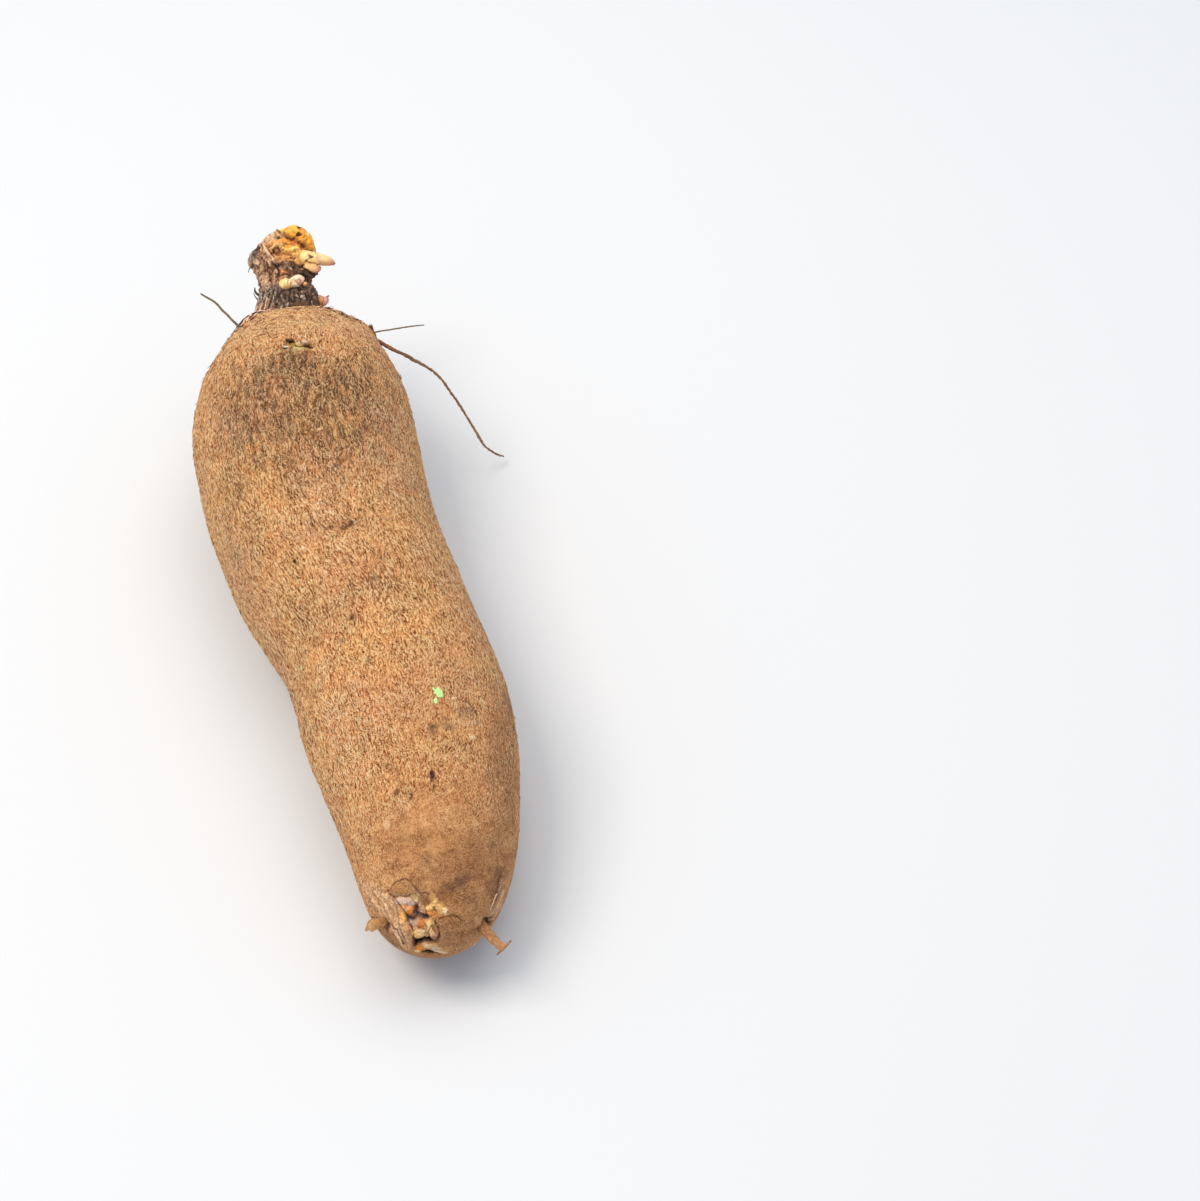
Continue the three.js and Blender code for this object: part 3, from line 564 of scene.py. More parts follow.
    (-3.5, 104.9, 90.9, 1.01, 0.63, 0, -0.8, (44, 22, 12), 1, 0.3),
    (-2.0, 103.3, 90.8, 0.76, 0.30, -18, -0.4, (74, 42, 24), 1, 0.35),
    (-12.6, 104.8, 91.1, 0.67, 0.38, 0, -0.3, (78, 42, 28), 0.9, 0.4),
    # Painted highlight: the small near-white spot at the left end of the scar.
    (-12.4, 105.9, 91.0, 0.55, 0.25, 0, 0.15, (248, 230, 208), 0.9, 0.4),
    (-8.0, 99.3, 91.6, 3.78, 1.09, 0, 0, (150, 104, 74), 0.35, 0.7),
    (3.5, -145.5, 54.5, 1.54, 1.47, 0, 0, (134, 94, 60), 0.5, 0.7),
    (-6.9, -143.6, 51.5, 2.20, 1.29, 0, 0, (150, 104, 66), 0.35, 0.7),
    (29.2, -148.8, 41.2, 1.19, 2.97, 14, 0, (112, 78, 56), 0.34, 0.7),
    (25.8, -154.3, 40.2, 1.18, 2.22, 20, 0, (118, 82, 60), 0.32, 0.7),
    (20.0, -150.8, 48.9, 8.82, 4.04, -8, 0, (146, 98, 64), 0.28, 0.7),
    (12.0, -162.6, 42.9, 4.39, 2.56, 0, 0, (214, 154, 96), 0.35, 0.7),
    (7.0, -165.6, 39.2, 3.66, 1.83, 0, 0, (150, 104, 70), 0.35, 0.7),
    (-4.8, -138.4, 54.4, 3.31, 2.21, 0, 0, (154, 108, 70), 0.3, 0.7),
    (9.6, -142.0, 56.2, 5.14, 1.84, 10, 0, (206, 150, 96), 0.3, 0.7),
    (23.4, -143.1, 51.4, 2.95, 3.32, 0, 0, (140, 98, 68), 0.35, 0.7),
    (12.3, -166.8, 30.4, 5.16, 2.21, 15, 0, (156, 104, 68), 0.35, 0.7),
    (0.6, -166.7, 33.8, 4.40, 1.83, 0, 0, (196, 140, 92), 0.3, 0.7),
    (-2.5, -146.8, 52.5, 1.10, 0.81, 0, 0, (214, 160, 104), 0.5, 0.7),
    (11.8, -149.9, 52.6, 1.83, 1.10, -20, 0, (168, 116, 76), 0.5, 0.7),
    (6.7, -153.5, 51.4, 1.46, 0.88, 0, 0, (196, 142, 94), 0.5, 0.7),
    (17.2, -159.4, 43.9, 1.83, 0.88, -25, 0, (132, 92, 66), 0.4, 0.7),
    (22.0, -160.4, 36.5, 1.48, 2.58, 20, 0, (150, 104, 72), 0.4, 0.7),
    (0.2, -152.1, 51.4, 1.10, 0.58, 10, 0, (140, 96, 62), 0.5, 0.7),
    (-11.0, -146.8, 47.5, 1.47, 2.20, 20, 0, (208, 158, 112), 0.5, 0.7),
    (-13.2, -141.3, 47.1, 1.11, 2.58, 20, 0, (196, 146, 102), 0.4, 0.7),
    (40.5, -97.0, 56.3, 4.57, 12.96, -6, 0, (140, 98, 66), 0.42, 0.7),
    (50.0, -65.4, 41.2, 2.37, 7.89, -4, 0, (134, 94, 66), 0.4, 0.7),
    (39.9, -115.3, 48.4, 3.41, 9.84, 6, 0, (136, 94, 64), 0.38, 0.7),
    (32.6, -133.6, 48.9, 2.61, 5.97, 10, 0, (140, 98, 68), 0.35, 0.7),
    (10.3, -151.9, 51.9, 9.88, 9.15, 0, 0, (132, 90, 58), 0.34, 0.9),
    (14.2, -154.2, 49.6, 1.54, 1.10, -10, 0, (104, 70, 50), 0.6, 0.6),
    (10.5, -156.4, 49.3, 1.68, 0.80, -25, 0, (108, 72, 52), 0.55, 0.6),
    (6.9, -157.7, 48.9, 1.10, 0.66, 10, 0, (114, 76, 54), 0.5, 0.6),
    (-15.2, -155.3, 34.7, 0.96, 0.33, -35, -0.4, (92, 58, 38), 0.9, 0.4),
    (-14.2, -157.0, 33.7, 0.88, 0.66, -40, -0.5, (98, 60, 38), 0.8, 0.5),
    (-6.6, -152.7, 48.3, 3.29, 1.68, 0, 0.1, (184, 130, 80), 0.6, 0.5),
    (-7.3, -156.1, 45.5, 2.27, 0.88, 8, 0.3, (216, 186, 170), 0.95, 0.35),
    (-4.3, -157.9, 46.0, 1.61, 0.69, 22, 0.25, (196, 170, 162), 0.9, 0.35),
    (-7.5, -157.7, 44.0, 1.24, 0.66, 30, 0.2, (206, 146, 92), 0.85, 0.4),
    (-5.0, -159.6, 43.9, 1.24, 1.10, 0, 0.6, (202, 122, 48), 0.98, 0.3),
    (-5.2, -159.0, 44.4, 0.58, 0.37, 0, 0.2, (240, 182, 110), 0.8, 0.5),
    (-3.2, -160.0, 44.6, 0.47, 1.10, -20, -0.5, (96, 62, 60), 0.95, 0.35),
    (-5.3, -161.5, 41.2, 0.88, 0.59, -10, -0.4, (74, 62, 84), 0.95, 0.35),
    (-0.6, -162.6, 42.7, 1.02, 0.51, 8, -0.4, (70, 58, 72), 0.95, 0.35),
    (-4.5, -162.5, 40.2, 1.32, 0.88, 0, 0.15, (184, 168, 164), 0.9, 0.35),
    (-1.5, -160.8, 44.6, 1.17, 1.10, 0, 0.1, (184, 160, 136), 0.85, 0.4),
    (-2.7, -157.1, 47.5, 1.17, 0.88, 0, 0.2, (188, 156, 108), 0.9, 0.35),
    (-2.4, -157.9, 47.0, 0.44, 0.40, 0, 0.3, (252, 224, 156), 1, 0.35),
    (-0.2, -158.2, 47.5, 1.24, 0.88, 0, 0.1, (150, 112, 76), 0.85, 0.4),
    (1.2, -159.3, 47.0, 1.09, 1.46, 0, -0.1, (132, 92, 60), 0.75, 0.45),
    (1.9, -162.1, 44.2, 1.17, 1.24, -10, 0.4, (222, 150, 78), 0.98, 0.3),
    (2.9, -163.1, 43.1, 1.02, 0.73, 0, 0.2, (200, 130, 74), 0.9, 0.35),
    (1.9, -160.9, 45.6, 1.24, 0.66, 20, 0.3, (236, 200, 140), 0.9, 0.35),
    (5.1, -161.5, 45.5, 1.39, 0.88, -20, 0.3, (230, 188, 124), 0.9, 0.35),
    (5.5, -162.6, 44.1, 1.31, 0.73, 0, 0.2, (222, 176, 116), 0.85, 0.4),
    (7.3, -162.5, 44.2, 0.51, 0.80, -20, 0.3, (248, 220, 180), 0.95, 0.3),
    (4.1, -160.1, 46.8, 0.51, 1.02, -30, 0.3, (232, 190, 124), 0.85, 0.4),
    (-2.0, -163.6, 40.2, 1.24, 1.10, 0, 0.3, (196, 128, 70), 0.95, 0.35),
    (-2.6, -163.9, 39.2, 0.73, 0.51, 0, 0.1, (170, 104, 56), 0.85, 0.4),
    (-4.4, -164.4, 36.0, 0.73, 0.95, 10, 0.3, (232, 186, 112), 0.95, 0.35),
    (-2.6, -164.9, 36.9, 1.03, 1.03, 0, 0.2, (226, 190, 140), 0.95, 0.35),
    (0.6, -164.8, 39.5, 1.02, 1.61, -10, 0.4, (234, 200, 148), 0.98, 0.3),
    (1.3, -165.8, 37.4, 0.66, 1.17, 10, 0.3, (222, 184, 132), 0.95, 0.35),
    (-1.5, -165.0, 37.7, 0.33, 0.26, 0, 0.1, (206, 206, 206), 0.9, 0.4),
    (3.0, -166.6, 35.7, 1.25, 1.54, 0, 0.35, (156, 108, 80), 0.95, 0.35),
    (2.5, -166.3, 36.6, 0.51, 0.44, 0, 0.2, (190, 150, 128), 0.8, 0.5),
    (-4.8, -165.2, 31.1, 0.55, 1.25, 0, -1.0, (16, 18, 18), 1, 0.25),
    (-0.0, -166.6, 33.1, 1.10, 0.33, -12, -0.6, (60, 44, 40), 0.95, 0.3),
    (0.8, -167.1, 30.4, 2.43, 0.74, -14, 0.4, (212, 178, 144), 0.98, 0.25),
    (3.8, -167.4, 26.9, 1.70, 0.44, -22, 0.4, (226, 194, 162), 0.95, 0.25),
    (2.0, -167.3, 29.0, 0.88, 0.37, 0, -0.1, (196, 164, 140), 0.8, 0.5),
    (-3.2, -165.9, 28.5, 1.33, 0.88, 25, 0.3, (214, 134, 54), 0.98, 0.3),
    (-4.0, -165.3, 26.6, 0.89, 0.44, 10, 0.2, (240, 206, 150), 0.9, 0.35),
    (-0.4, -166.5, 26.0, 1.77, 0.37, -5, -0.8, (18, 16, 14), 1, 0.25),
    (-8.2, -159.9, 40.5, 0.95, 1.39, 8, 0.3, (238, 180, 112), 0.98, 0.3),
    (-8.6, -160.4, 39.3, 0.81, 0.59, 0, 0.2, (246, 196, 132), 0.85, 0.4),
    (-7.7, -161.8, 37.9, 0.81, 1.32, 14, 0.2, (214, 162, 116), 0.85, 0.4),
    (-13.4, -151.1, 43.0, 1.54, 1.47, 20, 0.2, (232, 192, 154), 0.75, 0.5),
    (-12.3, -154.3, 42.0, 1.25, 1.69, 20, 0.2, (224, 180, 140), 0.7, 0.5),
    (-14.6, -152.8, 39.9, 1.47, 1.03, -20, 0.1, (214, 170, 128), 0.6, 0.5),
    (-11.2, -160.6, 32.8, 0.81, 1.25, -35, -0.2, (150, 96, 68), 0.8, 0.45),
    (-14.4, -156.9, 33.2, 0.96, 1.70, 20, -0.4, (126, 80, 54), 0.85, 0.4),
    (-18.9, 97.2, 90.9, 0.50, 1.76, -8, -0.05, (98, 66, 46), 0.34, 0.75),
    (-14.8, 97.2, 91.5, 0.65, 2.68, 3, -0.05, (98, 66, 46), 0.52, 0.75),
    (-10.8, 96.8, 91.7, 0.80, 3.61, 14, -0.05, (98, 66, 46), 0.4, 0.75),
    (-6.2, 93.5, 91.6, 0.94, 2.22, -2, -0.05, (98, 66, 46), 0.5800000000000001, 0.75),
    (-3.3, 88.9, 91.1, 0.50, 3.13, 9, -0.05, (98, 66, 46), 0.46, 0.75),
    (1.4, 86.8, 90.1, 0.65, 1.76, -7, -0.05, (98, 66, 46), 0.34, 0.75),
    (5.0, 85.0, 89.0, 0.79, 2.67, 4, -0.05, (98, 66, 46), 0.52, 0.75),
    (8.7, 82.8, 87.5, 0.94, 3.59, 15, -0.05, (98, 66, 46), 0.4, 0.75),
    (-18.1, 88.0, 90.7, 0.50, 2.21, -1, -0.05, (98, 66, 46), 0.5800000000000001, 0.75),
    (-15.4, 81.5, 90.5, 0.64, 3.12, 10, -0.05, (98, 66, 46), 0.46, 0.75),
    (-9.6, 87.0, 91.3, 0.79, 1.75, -6, -0.05, (98, 66, 46), 0.34, 0.75),
    (-6.6, 79.6, 90.5, 0.93, 2.66, 5, -0.05, (98, 66, 46), 0.52, 0.75),
    (-1.7, 79.2, 90.0, 0.50, 3.58, 16, -0.05, (98, 66, 46), 0.4, 0.75),
    (1.1, 75.1, 89.0, 0.64, 2.20, 0, -0.05, (98, 66, 46), 0.5800000000000001, 0.75),
    (5.6, 75.5, 87.9, 0.79, 3.12, 11, -0.05, (98, 66, 46), 0.46, 0.75),
    (8.3, 70.4, 86.4, 0.93, 1.74, -5, -0.05, (98, 66, 46), 0.34, 0.75),
    (-29.3, 77.2, 86.3, 0.50, 2.65, 6, -0.05, (98, 66, 46), 0.52, 0.75),
    (-25.3, 76.2, 87.8, 0.64, 3.56, 17, -0.05, (98, 66, 46), 0.4, 0.75),
    (-21.2, 72.9, 88.6, 0.79, 2.19, 1, -0.05, (98, 66, 46), 0.5800000000000001, 0.75),
    (-17.0, 69.9, 89.2, 0.93, 3.09, 12, -0.05, (98, 66, 46), 0.46, 0.75),
    (-12.8, 71.3, 89.7, 0.50, 1.73, -4, -0.05, (98, 66, 46), 0.34, 0.75),
    (-8.9, 70.5, 89.8, 0.64, 2.64, 7, -0.05, (98, 66, 46), 0.52, 0.75),
    (-5.4, 67.2, 89.3, 0.78, 3.55, 18, -0.05, (98, 66, 46), 0.4, 0.75),
    (-1.7, 65.6, 88.7, 0.93, 2.19, 2, -0.05, (98, 66, 46), 0.5800000000000001, 0.75),
    (2.0, 64.3, 87.8, 0.50, 3.09, 13, -0.05, (98, 66, 46), 0.46, 0.75),
    (5.9, 60.6, 86.4, 0.64, 1.73, -3, -0.05, (98, 66, 46), 0.34, 0.75),
    (11.0, 65.6, 84.8, 0.79, 2.65, 8, -0.05, (98, 66, 46), 0.52, 0.75),
    (-31.4, 85.3, 86.2, 0.94, 3.58, -8, -0.05, (98, 66, 46), 0.4, 0.75),
    (-34.2, 91.7, 85.2, 0.50, 2.22, 3, -0.05, (98, 66, 46), 0.5800000000000001, 0.75),
    (-35.0, 103.8, 84.1, 0.65, 3.17, 14, -0.05, (98, 66, 46), 0.46, 0.75),
    (-30.4, 101.2, 86.9, 0.80, 1.77, -2, -0.05, (98, 66, 46), 0.34, 0.75),
    (-25.8, 96.1, 89.1, 0.94, 2.68, 9, -0.05, (98, 66, 46), 0.52, 0.75),
    (-25.1, 85.6, 88.8, 0.50, 3.58, -7, -0.05, (98, 66, 46), 0.4, 0.75),
    (-22.5, 81.6, 89.2, 0.64, 2.20, 4, -0.05, (98, 66, 46), 0.5800000000000001, 0.75),
    (-16.5, 59.0, 88.2, 0.78, 3.07, 15, -0.05, (98, 66, 46), 0.46, 0.75),
    (-20.2, 61.7, 87.8, 0.92, 1.72, -1, -0.05, (98, 66, 46), 0.34, 0.75),
    (-11.7, 57.6, 88.5, 0.49, 2.62, 10, -0.05, (98, 66, 46), 0.52, 0.75),
    (-7.1, 55.4, 88.3, 0.63, 3.52, -6, -0.05, (98, 66, 46), 0.4, 0.75),
    (-2.5, 53.6, 87.7, 0.78, 2.17, 5, -0.05, (98, 66, 46), 0.5800000000000001, 0.75),
    (3.2, 52.3, 86.4, 0.92, 3.07, 16, -0.05, (98, 66, 46), 0.46, 0.75),
    (-24.9, 63.9, 86.7, 0.49, 1.73, 0, -0.05, (98, 66, 46), 0.34, 0.75),
    (-29.7, 66.7, 85.2, 0.64, 2.64, 11, -0.05, (98, 66, 46), 0.52, 0.75),
    (-34.2, 72.5, 83.4, 0.79, 3.56, -5, -0.05, (98, 66, 46), 0.4, 0.75),
    (-37.4, 80.5, 82.2, 0.94, 2.21, 6, -0.05, (98, 66, 46), 0.5800000000000001, 0.75),
    (-41.2, 76.1, 78.8, 0.50, 3.12, 17, -0.05, (98, 66, 46), 0.46, 0.75),
    (-38.0, 67.6, 80.5, 0.64, 1.74, 1, -0.05, (98, 66, 46), 0.34, 0.75),
    (-33.4, 62.5, 82.9, 0.78, 2.63, 12, -0.05, (98, 66, 46), 0.52, 0.75),
    (12.8, 58.1, 83.2, 0.93, 3.55, -4, -0.05, (98, 66, 46), 0.4, 0.75),
    (13.5, 75.9, 84.6, 0.50, 2.21, 7, -0.05, (98, 66, 46), 0.5800000000000001, 0.75),
    (21.5, 96.9, 80.8, 0.66, 3.18, 18, -0.05, (98, 66, 46), 0.46, 0.75),
]
LINES = [
    ([(-10.7, 107.9, 90.9), (-10.2, 106.6, 91.1), (-9.1, 106.3, 91.1), (-7.6, 104.5, 91.2), (-5.5, 104.2, 91.1), (-4.0, 104.6, 91.0)], 0.32, -0.2, (118, 86, 34), 0.85, 0.5),
    ([(-4.7, 110.5, 90.6), (-4.1, 109.6, 90.6), (-3.1, 108.7, 90.6)], 0.23, -0.2, (110, 72, 42), 0.85, 0.5),
    ([(-22.4, 26.9, 83.3), (-21.6, 24.2, 83.3), (-20.7, 21.3, 83.2)], 0.28, -0.2, (76, 46, 28), 0.85, 0.5),
    ([(-2.5, -113.8, 63.7), (-0.0, -115.4, 64.0), (1.4, -116.7, 64.0)], 0.26, -0.15, (112, 72, 44), 0.75, 0.5),
    ([(27.0, -85.8, 70.4), (31.0, -86.3, 68.2), (32.9, -88.5, 66.3), (33.3, -92.0, 65.1), (32.5, -95.1, 64.7)], 0.27, -0.2, (104, 70, 52), 0.8, 0.5),
    ([(-17.6, -144.5, 39.3), (-16.1, -145.9, 41.7), (-14.1, -147.9, 43.8), (-13.2, -149.6, 44.2), (-11.7, -150.4, 45.4)], 0.22, -0.15, (112, 74, 48), 0.8, 0.5),
    ([(-11.7, -150.4, 45.4), (-10.4, -150.2, 46.7), (-9.0, -149.2, 48.3), (-7.6, -149.3, 49.2), (-6.0, -149.6, 50.0), (-4.5, -150.0, 50.6), (-3.4, -151.4, 50.5), (-2.5, -153.2, 50.0), (-1.5, -155.1, 49.4), (-0.6, -156.3, 48.9), (0.9, -156.7, 49.0), (2.4, -157.3, 48.9)], 0.22, -0.4, (98, 60, 42), 0.85, 0.4),
    ([(-10.9, -151.9, 45.3), (-9.8, -153.5, 45.4), (-7.7, -154.3, 46.6), (-6.0, -155.6, 46.9), (-4.2, -155.6, 47.9)], 0.26, -0.3, (92, 60, 46), 0.8, 0.45),
    ([(-6.1, -160.6, 41.7), (-4.6, -161.8, 41.4), (-2.6, -161.8, 42.8), (-0.0, -162.8, 42.7)], 0.69, -0.6, (92, 76, 80), 0.85, 0.45),
    ([(3.6, -164.1, 41.8), (3.2, -164.9, 40.2), (4.4, -165.8, 38.5), (4.1, -166.7, 36.1), (2.8, -167.1, 33.6), (1.4, -167.0, 32.5)], 0.22, -0.3, (96, 62, 46), 0.7, 0.5),
    ([(-5.0, -164.8, 33.0), (-3.8, -165.6, 31.4), (-1.8, -166.1, 33.3), (0.1, -166.4, 34.4), (1.6, -167.0, 33.0), (3.1, -167.3, 32.8)], 0.55, -1.2, (26, 22, 20), 0.95, 0.3),
    ([(-6.6, -160.2, 41.9), (-6.6, -161.5, 39.8), (-5.4, -163.2, 37.8), (-4.9, -164.2, 35.8), (-5.4, -164.8, 32.0), (-4.9, -165.1, 29.6)], 0.24, -0.4, (92, 64, 52), 0.8, 0.45),
    ([(4.8, -164.1, 41.9), (6.4, -164.0, 42.2), (8.7, -163.8, 42.2), (10.7, -163.7, 41.9), (11.9, -164.0, 40.8), (12.6, -164.4, 39.7)], 0.26, -0.35, (94, 58, 38), 0.9, 0.4),
    ([(-18.4, -149.6, 30.2), (-17.2, -152.1, 33.0), (-15.7, -154.5, 34.4), (-14.2, -156.5, 35.2), (-12.6, -158.4, 35.6), (-11.1, -160.1, 35.2), (-10.1, -161.5, 33.5), (-9.5, -162.2, 31.7), (-8.7, -162.9, 29.8)], 0.28, -0.4, (88, 56, 38), 0.9, 0.4),
    ([(-18.7, -140.8, 38.4), (-17.8, -145.4, 38.4), (-15.8, -150.8, 39.2), (-13.7, -154.8, 39.3)], 0.82, 0.25, (224, 182, 144), 0.6, 0.6),
    ([(-14.8, -148.1, 42.7), (-12.8, -152.7, 42.7), (-11.4, -156.0, 41.5), (-10.6, -158.5, 39.5), (-9.7, -160.7, 36.9)], 1.10, 0.25, (224, 182, 144), 0.6, 0.6),
    ([(-17.4, -147.9, 37.7), (-14.8, -153.8, 38.3), (-12.3, -157.6, 38.0), (-10.1, -160.4, 36.7), (-8.5, -162.3, 34.8)], 1.11, 0.25, (224, 182, 144), 0.6, 0.6),
    ([(-12.4, -151.0, 44.3), (-10.6, -154.2, 44.1), (-9.8, -157.0, 42.4)], 0.81, 0.25, (224, 182, 144), 0.6, 0.6),
    ([(-7.8, -162.7, 35.2), (-7.4, -163.7, 31.2), (-7.1, -163.8, 27.2)], 0.81, 0.25, (224, 182, 144), 0.6, 0.6),
    ([(-9.6, -161.6, 34.2), (-8.5, -163.0, 30.6), (-8.0, -163.3, 27.4)], 0.81, 0.25, (224, 182, 144), 0.6, 0.6),
    ([(-12.7, -158.8, 33.9), (-10.8, -160.9, 33.0), (-9.6, -162.2, 29.8)], 0.81, 0.25, (224, 182, 144), 0.6, 0.6),
    ([(-20.1, -136.2, 36.6), (-19.6, -140.2, 35.9), (-19.1, -144.5, 34.8)], 0.82, 0.25, (224, 182, 144), 0.6, 0.6),
    ([(-16.7, -142.4, 41.9), (-15.7, -146.3, 42.1)], 0.81, 0.25, (224, 182, 144), 0.6, 0.6),
    ([(-10.5, -153.7, 44.6), (-9.9, -155.6, 43.8), (-9.7, -157.6, 41.9), (-9.5, -159.3, 39.7), (-9.4, -161.2, 36.2), (-8.4, -162.9, 32.9), (-8.2, -163.3, 29.1)], 0.20, -0.2, (128, 86, 58), 0.75, 0.5),
    ([(-16.7, -149.7, 38.2), (-15.1, -153.9, 37.5), (-12.7, -157.4, 37.4)], 0.20, -0.2, (128, 86, 58), 0.75, 0.5),
    ([(-12.8, -152.7, 42.7), (-11.8, -155.7, 41.3), (-11.0, -157.8, 39.9)], 0.20, -0.2, (128, 86, 58), 0.75, 0.5),
    ([(-18.5, -146.2, 35.7), (-17.6, -149.4, 35.8), (-16.4, -152.1, 36.4)], 0.20, -0.2, (128, 86, 58), 0.75, 0.5),
    ([(-14.3, -149.8, 42.5), (-12.8, -153.0, 42.4)], 0.20, -0.2, (128, 86, 58), 0.75, 0.5),
    ([(-10.6, -160.4, 35.6), (-9.3, -161.9, 33.9), (-8.7, -162.8, 31.6)], 0.20, -0.2, (128, 86, 58), 0.75, 0.5),
    ([(22.8, -160.9, 27.8), (24.2, -159.5, 32.3), (26.5, -156.6, 34.3), (28.2, -153.1, 37.0), (30.6, -147.9, 39.5)], 0.33, -0.4, (96, 62, 46), 0.85, 0.4),
    ([(23.4, -160.3, 32.4), (25.9, -157.7, 32.6), (28.6, -154.2, 32.8), (31.0, -150.3, 33.5)], 0.48, 0.3, (228, 188, 150), 0.75, 0.5),
    ([(24.8, -159.0, 28.6), (27.4, -156.0, 28.8), (29.8, -152.7, 30.4)], 0.37, 0.3, (210, 168, 130), 0.7, 0.5),
    ([(29.1, -152.1, 36.6), (30.8, -148.6, 38.1)], 0.45, 0.2, (206, 164, 126), 0.6, 0.5),
    # Painted shadow: the dark line under the scar's raised lip.
    ([(-8.1, 104.9, 91.2), (-7.0, 104.3, 91.2), (-5.0, 104.4, 91.1), (-3.9, 105.0, 90.9)], 0.30, -0.3, (116, 74, 32), 0.95, 0.4),
    ([(-4.8, 110.5, 90.6), (-3.9, 109.5, 90.6), (-2.9, 108.4, 90.6)], 0.25, -0.3, (128, 84, 46), 0.9, 0.4),
    ([(2.0, -164.8, 40.1), (0.2, -165.6, 37.4), (1.0, -166.7, 34.2)], 0.22, -0.2, (110, 72, 50), 0.6, 0.5),
    ([(-18.2, -145.5, 37.4), (-17.5, -148.3, 37.3), (-16.4, -151.3, 37.3), (-15.8, -153.7, 35.9)], 0.17, -0.25, (150, 104, 68), 0.62, 0.5),
    ([(-16.9, -145.7, 40.4), (-15.9, -149.1, 40.4), (-14.6, -152.7, 39.8)], 0.17, -0.25, (150, 104, 68), 0.62, 0.5),
    ([(-19.8, -143.4, 31.4), (-19.1, -146.7, 31.8), (-18.4, -149.3, 32.0)], 0.17, -0.25, (150, 104, 68), 0.62, 0.5),
    ([(-14.6, -150.7, 41.5), (-13.7, -154.0, 40.1), (-12.8, -156.7, 38.5), (-11.8, -159.1, 35.9)], 0.17, -0.25, (150, 104, 68), 0.62, 0.5),
    ([(-14.3, -156.2, 35.7), (-12.6, -158.8, 34.4), (-11.2, -160.8, 31.7), (-9.8, -162.0, 27.9)], 0.17, -0.25, (150, 104, 68), 0.62, 0.5),
    ([(-17.1, -152.8, 31.3), (-15.0, -156.4, 31.8), (-13.2, -158.8, 30.2)], 0.17, -0.25, (150, 104, 68), 0.62, 0.5),
    ([(-12.4, -159.4, 32.7), (-11.0, -161.0, 28.8), (-9.2, -161.7, 24.1)], 0.17, -0.25, (150, 104, 68), 0.62, 0.5),
    ([(-15.5, -155.0, 25.7), (-13.7, -157.6, 25.5), (-11.5, -159.5, 23.6)], 0.17, -0.25, (150, 104, 68), 0.62, 0.5),
    ([(-15.7, -150.2, 39.9), (-14.9, -152.2, 39.8), (-14.6, -154.2, 38.2)], 0.17, -0.25, (150, 104, 68), 0.62, 0.5),
    ([(-17.6, -146.0, 38.6), (-16.8, -149.0, 38.6), (-15.8, -152.1, 38.1), (-15.1, -154.4, 36.7)], 0.22, 0.2, (240, 200, 156), 0.7, 0.45),
    ([(-16.1, -146.2, 41.5), (-15.2, -149.6, 41.4), (-13.9, -153.1, 40.8)], 0.22, 0.2, (240, 200, 156), 0.7, 0.45),
    ([(-13.8, -151.1, 42.4), (-13.0, -154.4, 41.0), (-12.1, -157.2, 39.0)], 0.22, 0.2, (240, 200, 156), 0.7, 0.45),
    ([(-13.7, -156.9, 35.9), (-11.9, -159.5, 34.5), (-10.6, -161.3, 31.6)], 0.22, 0.2, (240, 200, 156), 0.7, 0.45),
    ([(-11.7, -160.0, 33.3), (-10.3, -161.6, 29.4), (-8.8, -162.4, 25.6)], 0.22, 0.2, (240, 200, 156), 0.7, 0.45),
    ([(-10.8, -159.9, 36.6), (-9.4, -161.9, 33.9), (-8.7, -162.9, 30.1)], 0.22, 0.2, (240, 200, 156), 0.7, 0.45),
    ([(-17.3, -151.8, 33.1), (-15.9, -154.0, 34.8), (-14.3, -156.2, 35.4), (-12.9, -158.1, 35.2)], 0.22, -0.3, (110, 70, 46), 0.9, 0.4),
    ([(-6.4, -160.5, 41.6), (-5.5, -161.4, 41.1), (-4.1, -161.7, 41.9), (-3.0, -161.5, 42.9), (-1.4, -162.1, 43.0), (0.4, -163.1, 42.4)], 0.46, -0.6, (66, 54, 76), 0.98, 0.3),
    ([(-0.0, -160.4, 45.6), (0.4, -161.4, 44.6), (0.3, -162.5, 43.2)], 0.22, -0.4, (104, 70, 50), 0.9, 0.4),
    ([(3.2, -161.2, 45.6), (4.0, -162.2, 44.5), (4.4, -163.1, 43.4)], 0.22, -0.4, (130, 84, 52), 0.9, 0.4),
    ([(-1.2, -159.4, 46.2), (0.4, -160.1, 46.1), (1.7, -160.2, 46.3)], 0.22, -0.3, (112, 80, 56), 0.85, 0.4),
    ([(-0.4, -164.0, 40.5), (-0.2, -164.9, 38.8), (-1.0, -165.5, 36.5)], 0.22, -0.4, (150, 106, 66), 0.9, 0.4),
    ([(3.0, -164.3, 41.3), (3.3, -165.0, 40.1), (3.9, -165.6, 38.9), (4.3, -166.3, 37.2), (4.1, -167.0, 34.8), (2.9, -167.1, 33.5), (1.5, -167.0, 32.8)], 0.22, -0.5, (88, 56, 42), 0.85, 0.4),
    ([(-4.6, -165.1, 32.4), (-2.9, -165.7, 33.5), (-1.2, -166.0, 34.5), (0.7, -166.8, 33.4)], 0.42, -1.2, (22, 20, 22), 1, 0.25),
    ([(-10.2, -153.2, 45.2), (-9.1, -155.3, 44.7), (-8.2, -157.3, 43.8), (-7.0, -159.2, 42.7), (-6.5, -160.9, 40.9), (-5.8, -162.7, 38.5), (-4.9, -164.0, 36.4)], 0.22, -0.5, (116, 76, 54), 0.8, 0.45),
    ([(-7.6, -162.6, 36.1), (-6.9, -163.7, 33.5), (-6.6, -164.3, 29.6), (-6.4, -164.0, 25.7)], 0.51, 0.1, (196, 144, 112), 0.7, 0.45),
    ([(-6.3, -163.1, 37.0), (-5.5, -164.4, 34.0), (-5.5, -164.9, 30.1)], 0.22, -0.3, (120, 76, 58), 0.8, 0.45),
    ([(-8.7, -162.3, 34.4), (-8.0, -163.3, 31.0), (-7.6, -163.5, 27.1)], 0.22, -0.3, (136, 90, 64), 0.75, 0.45),
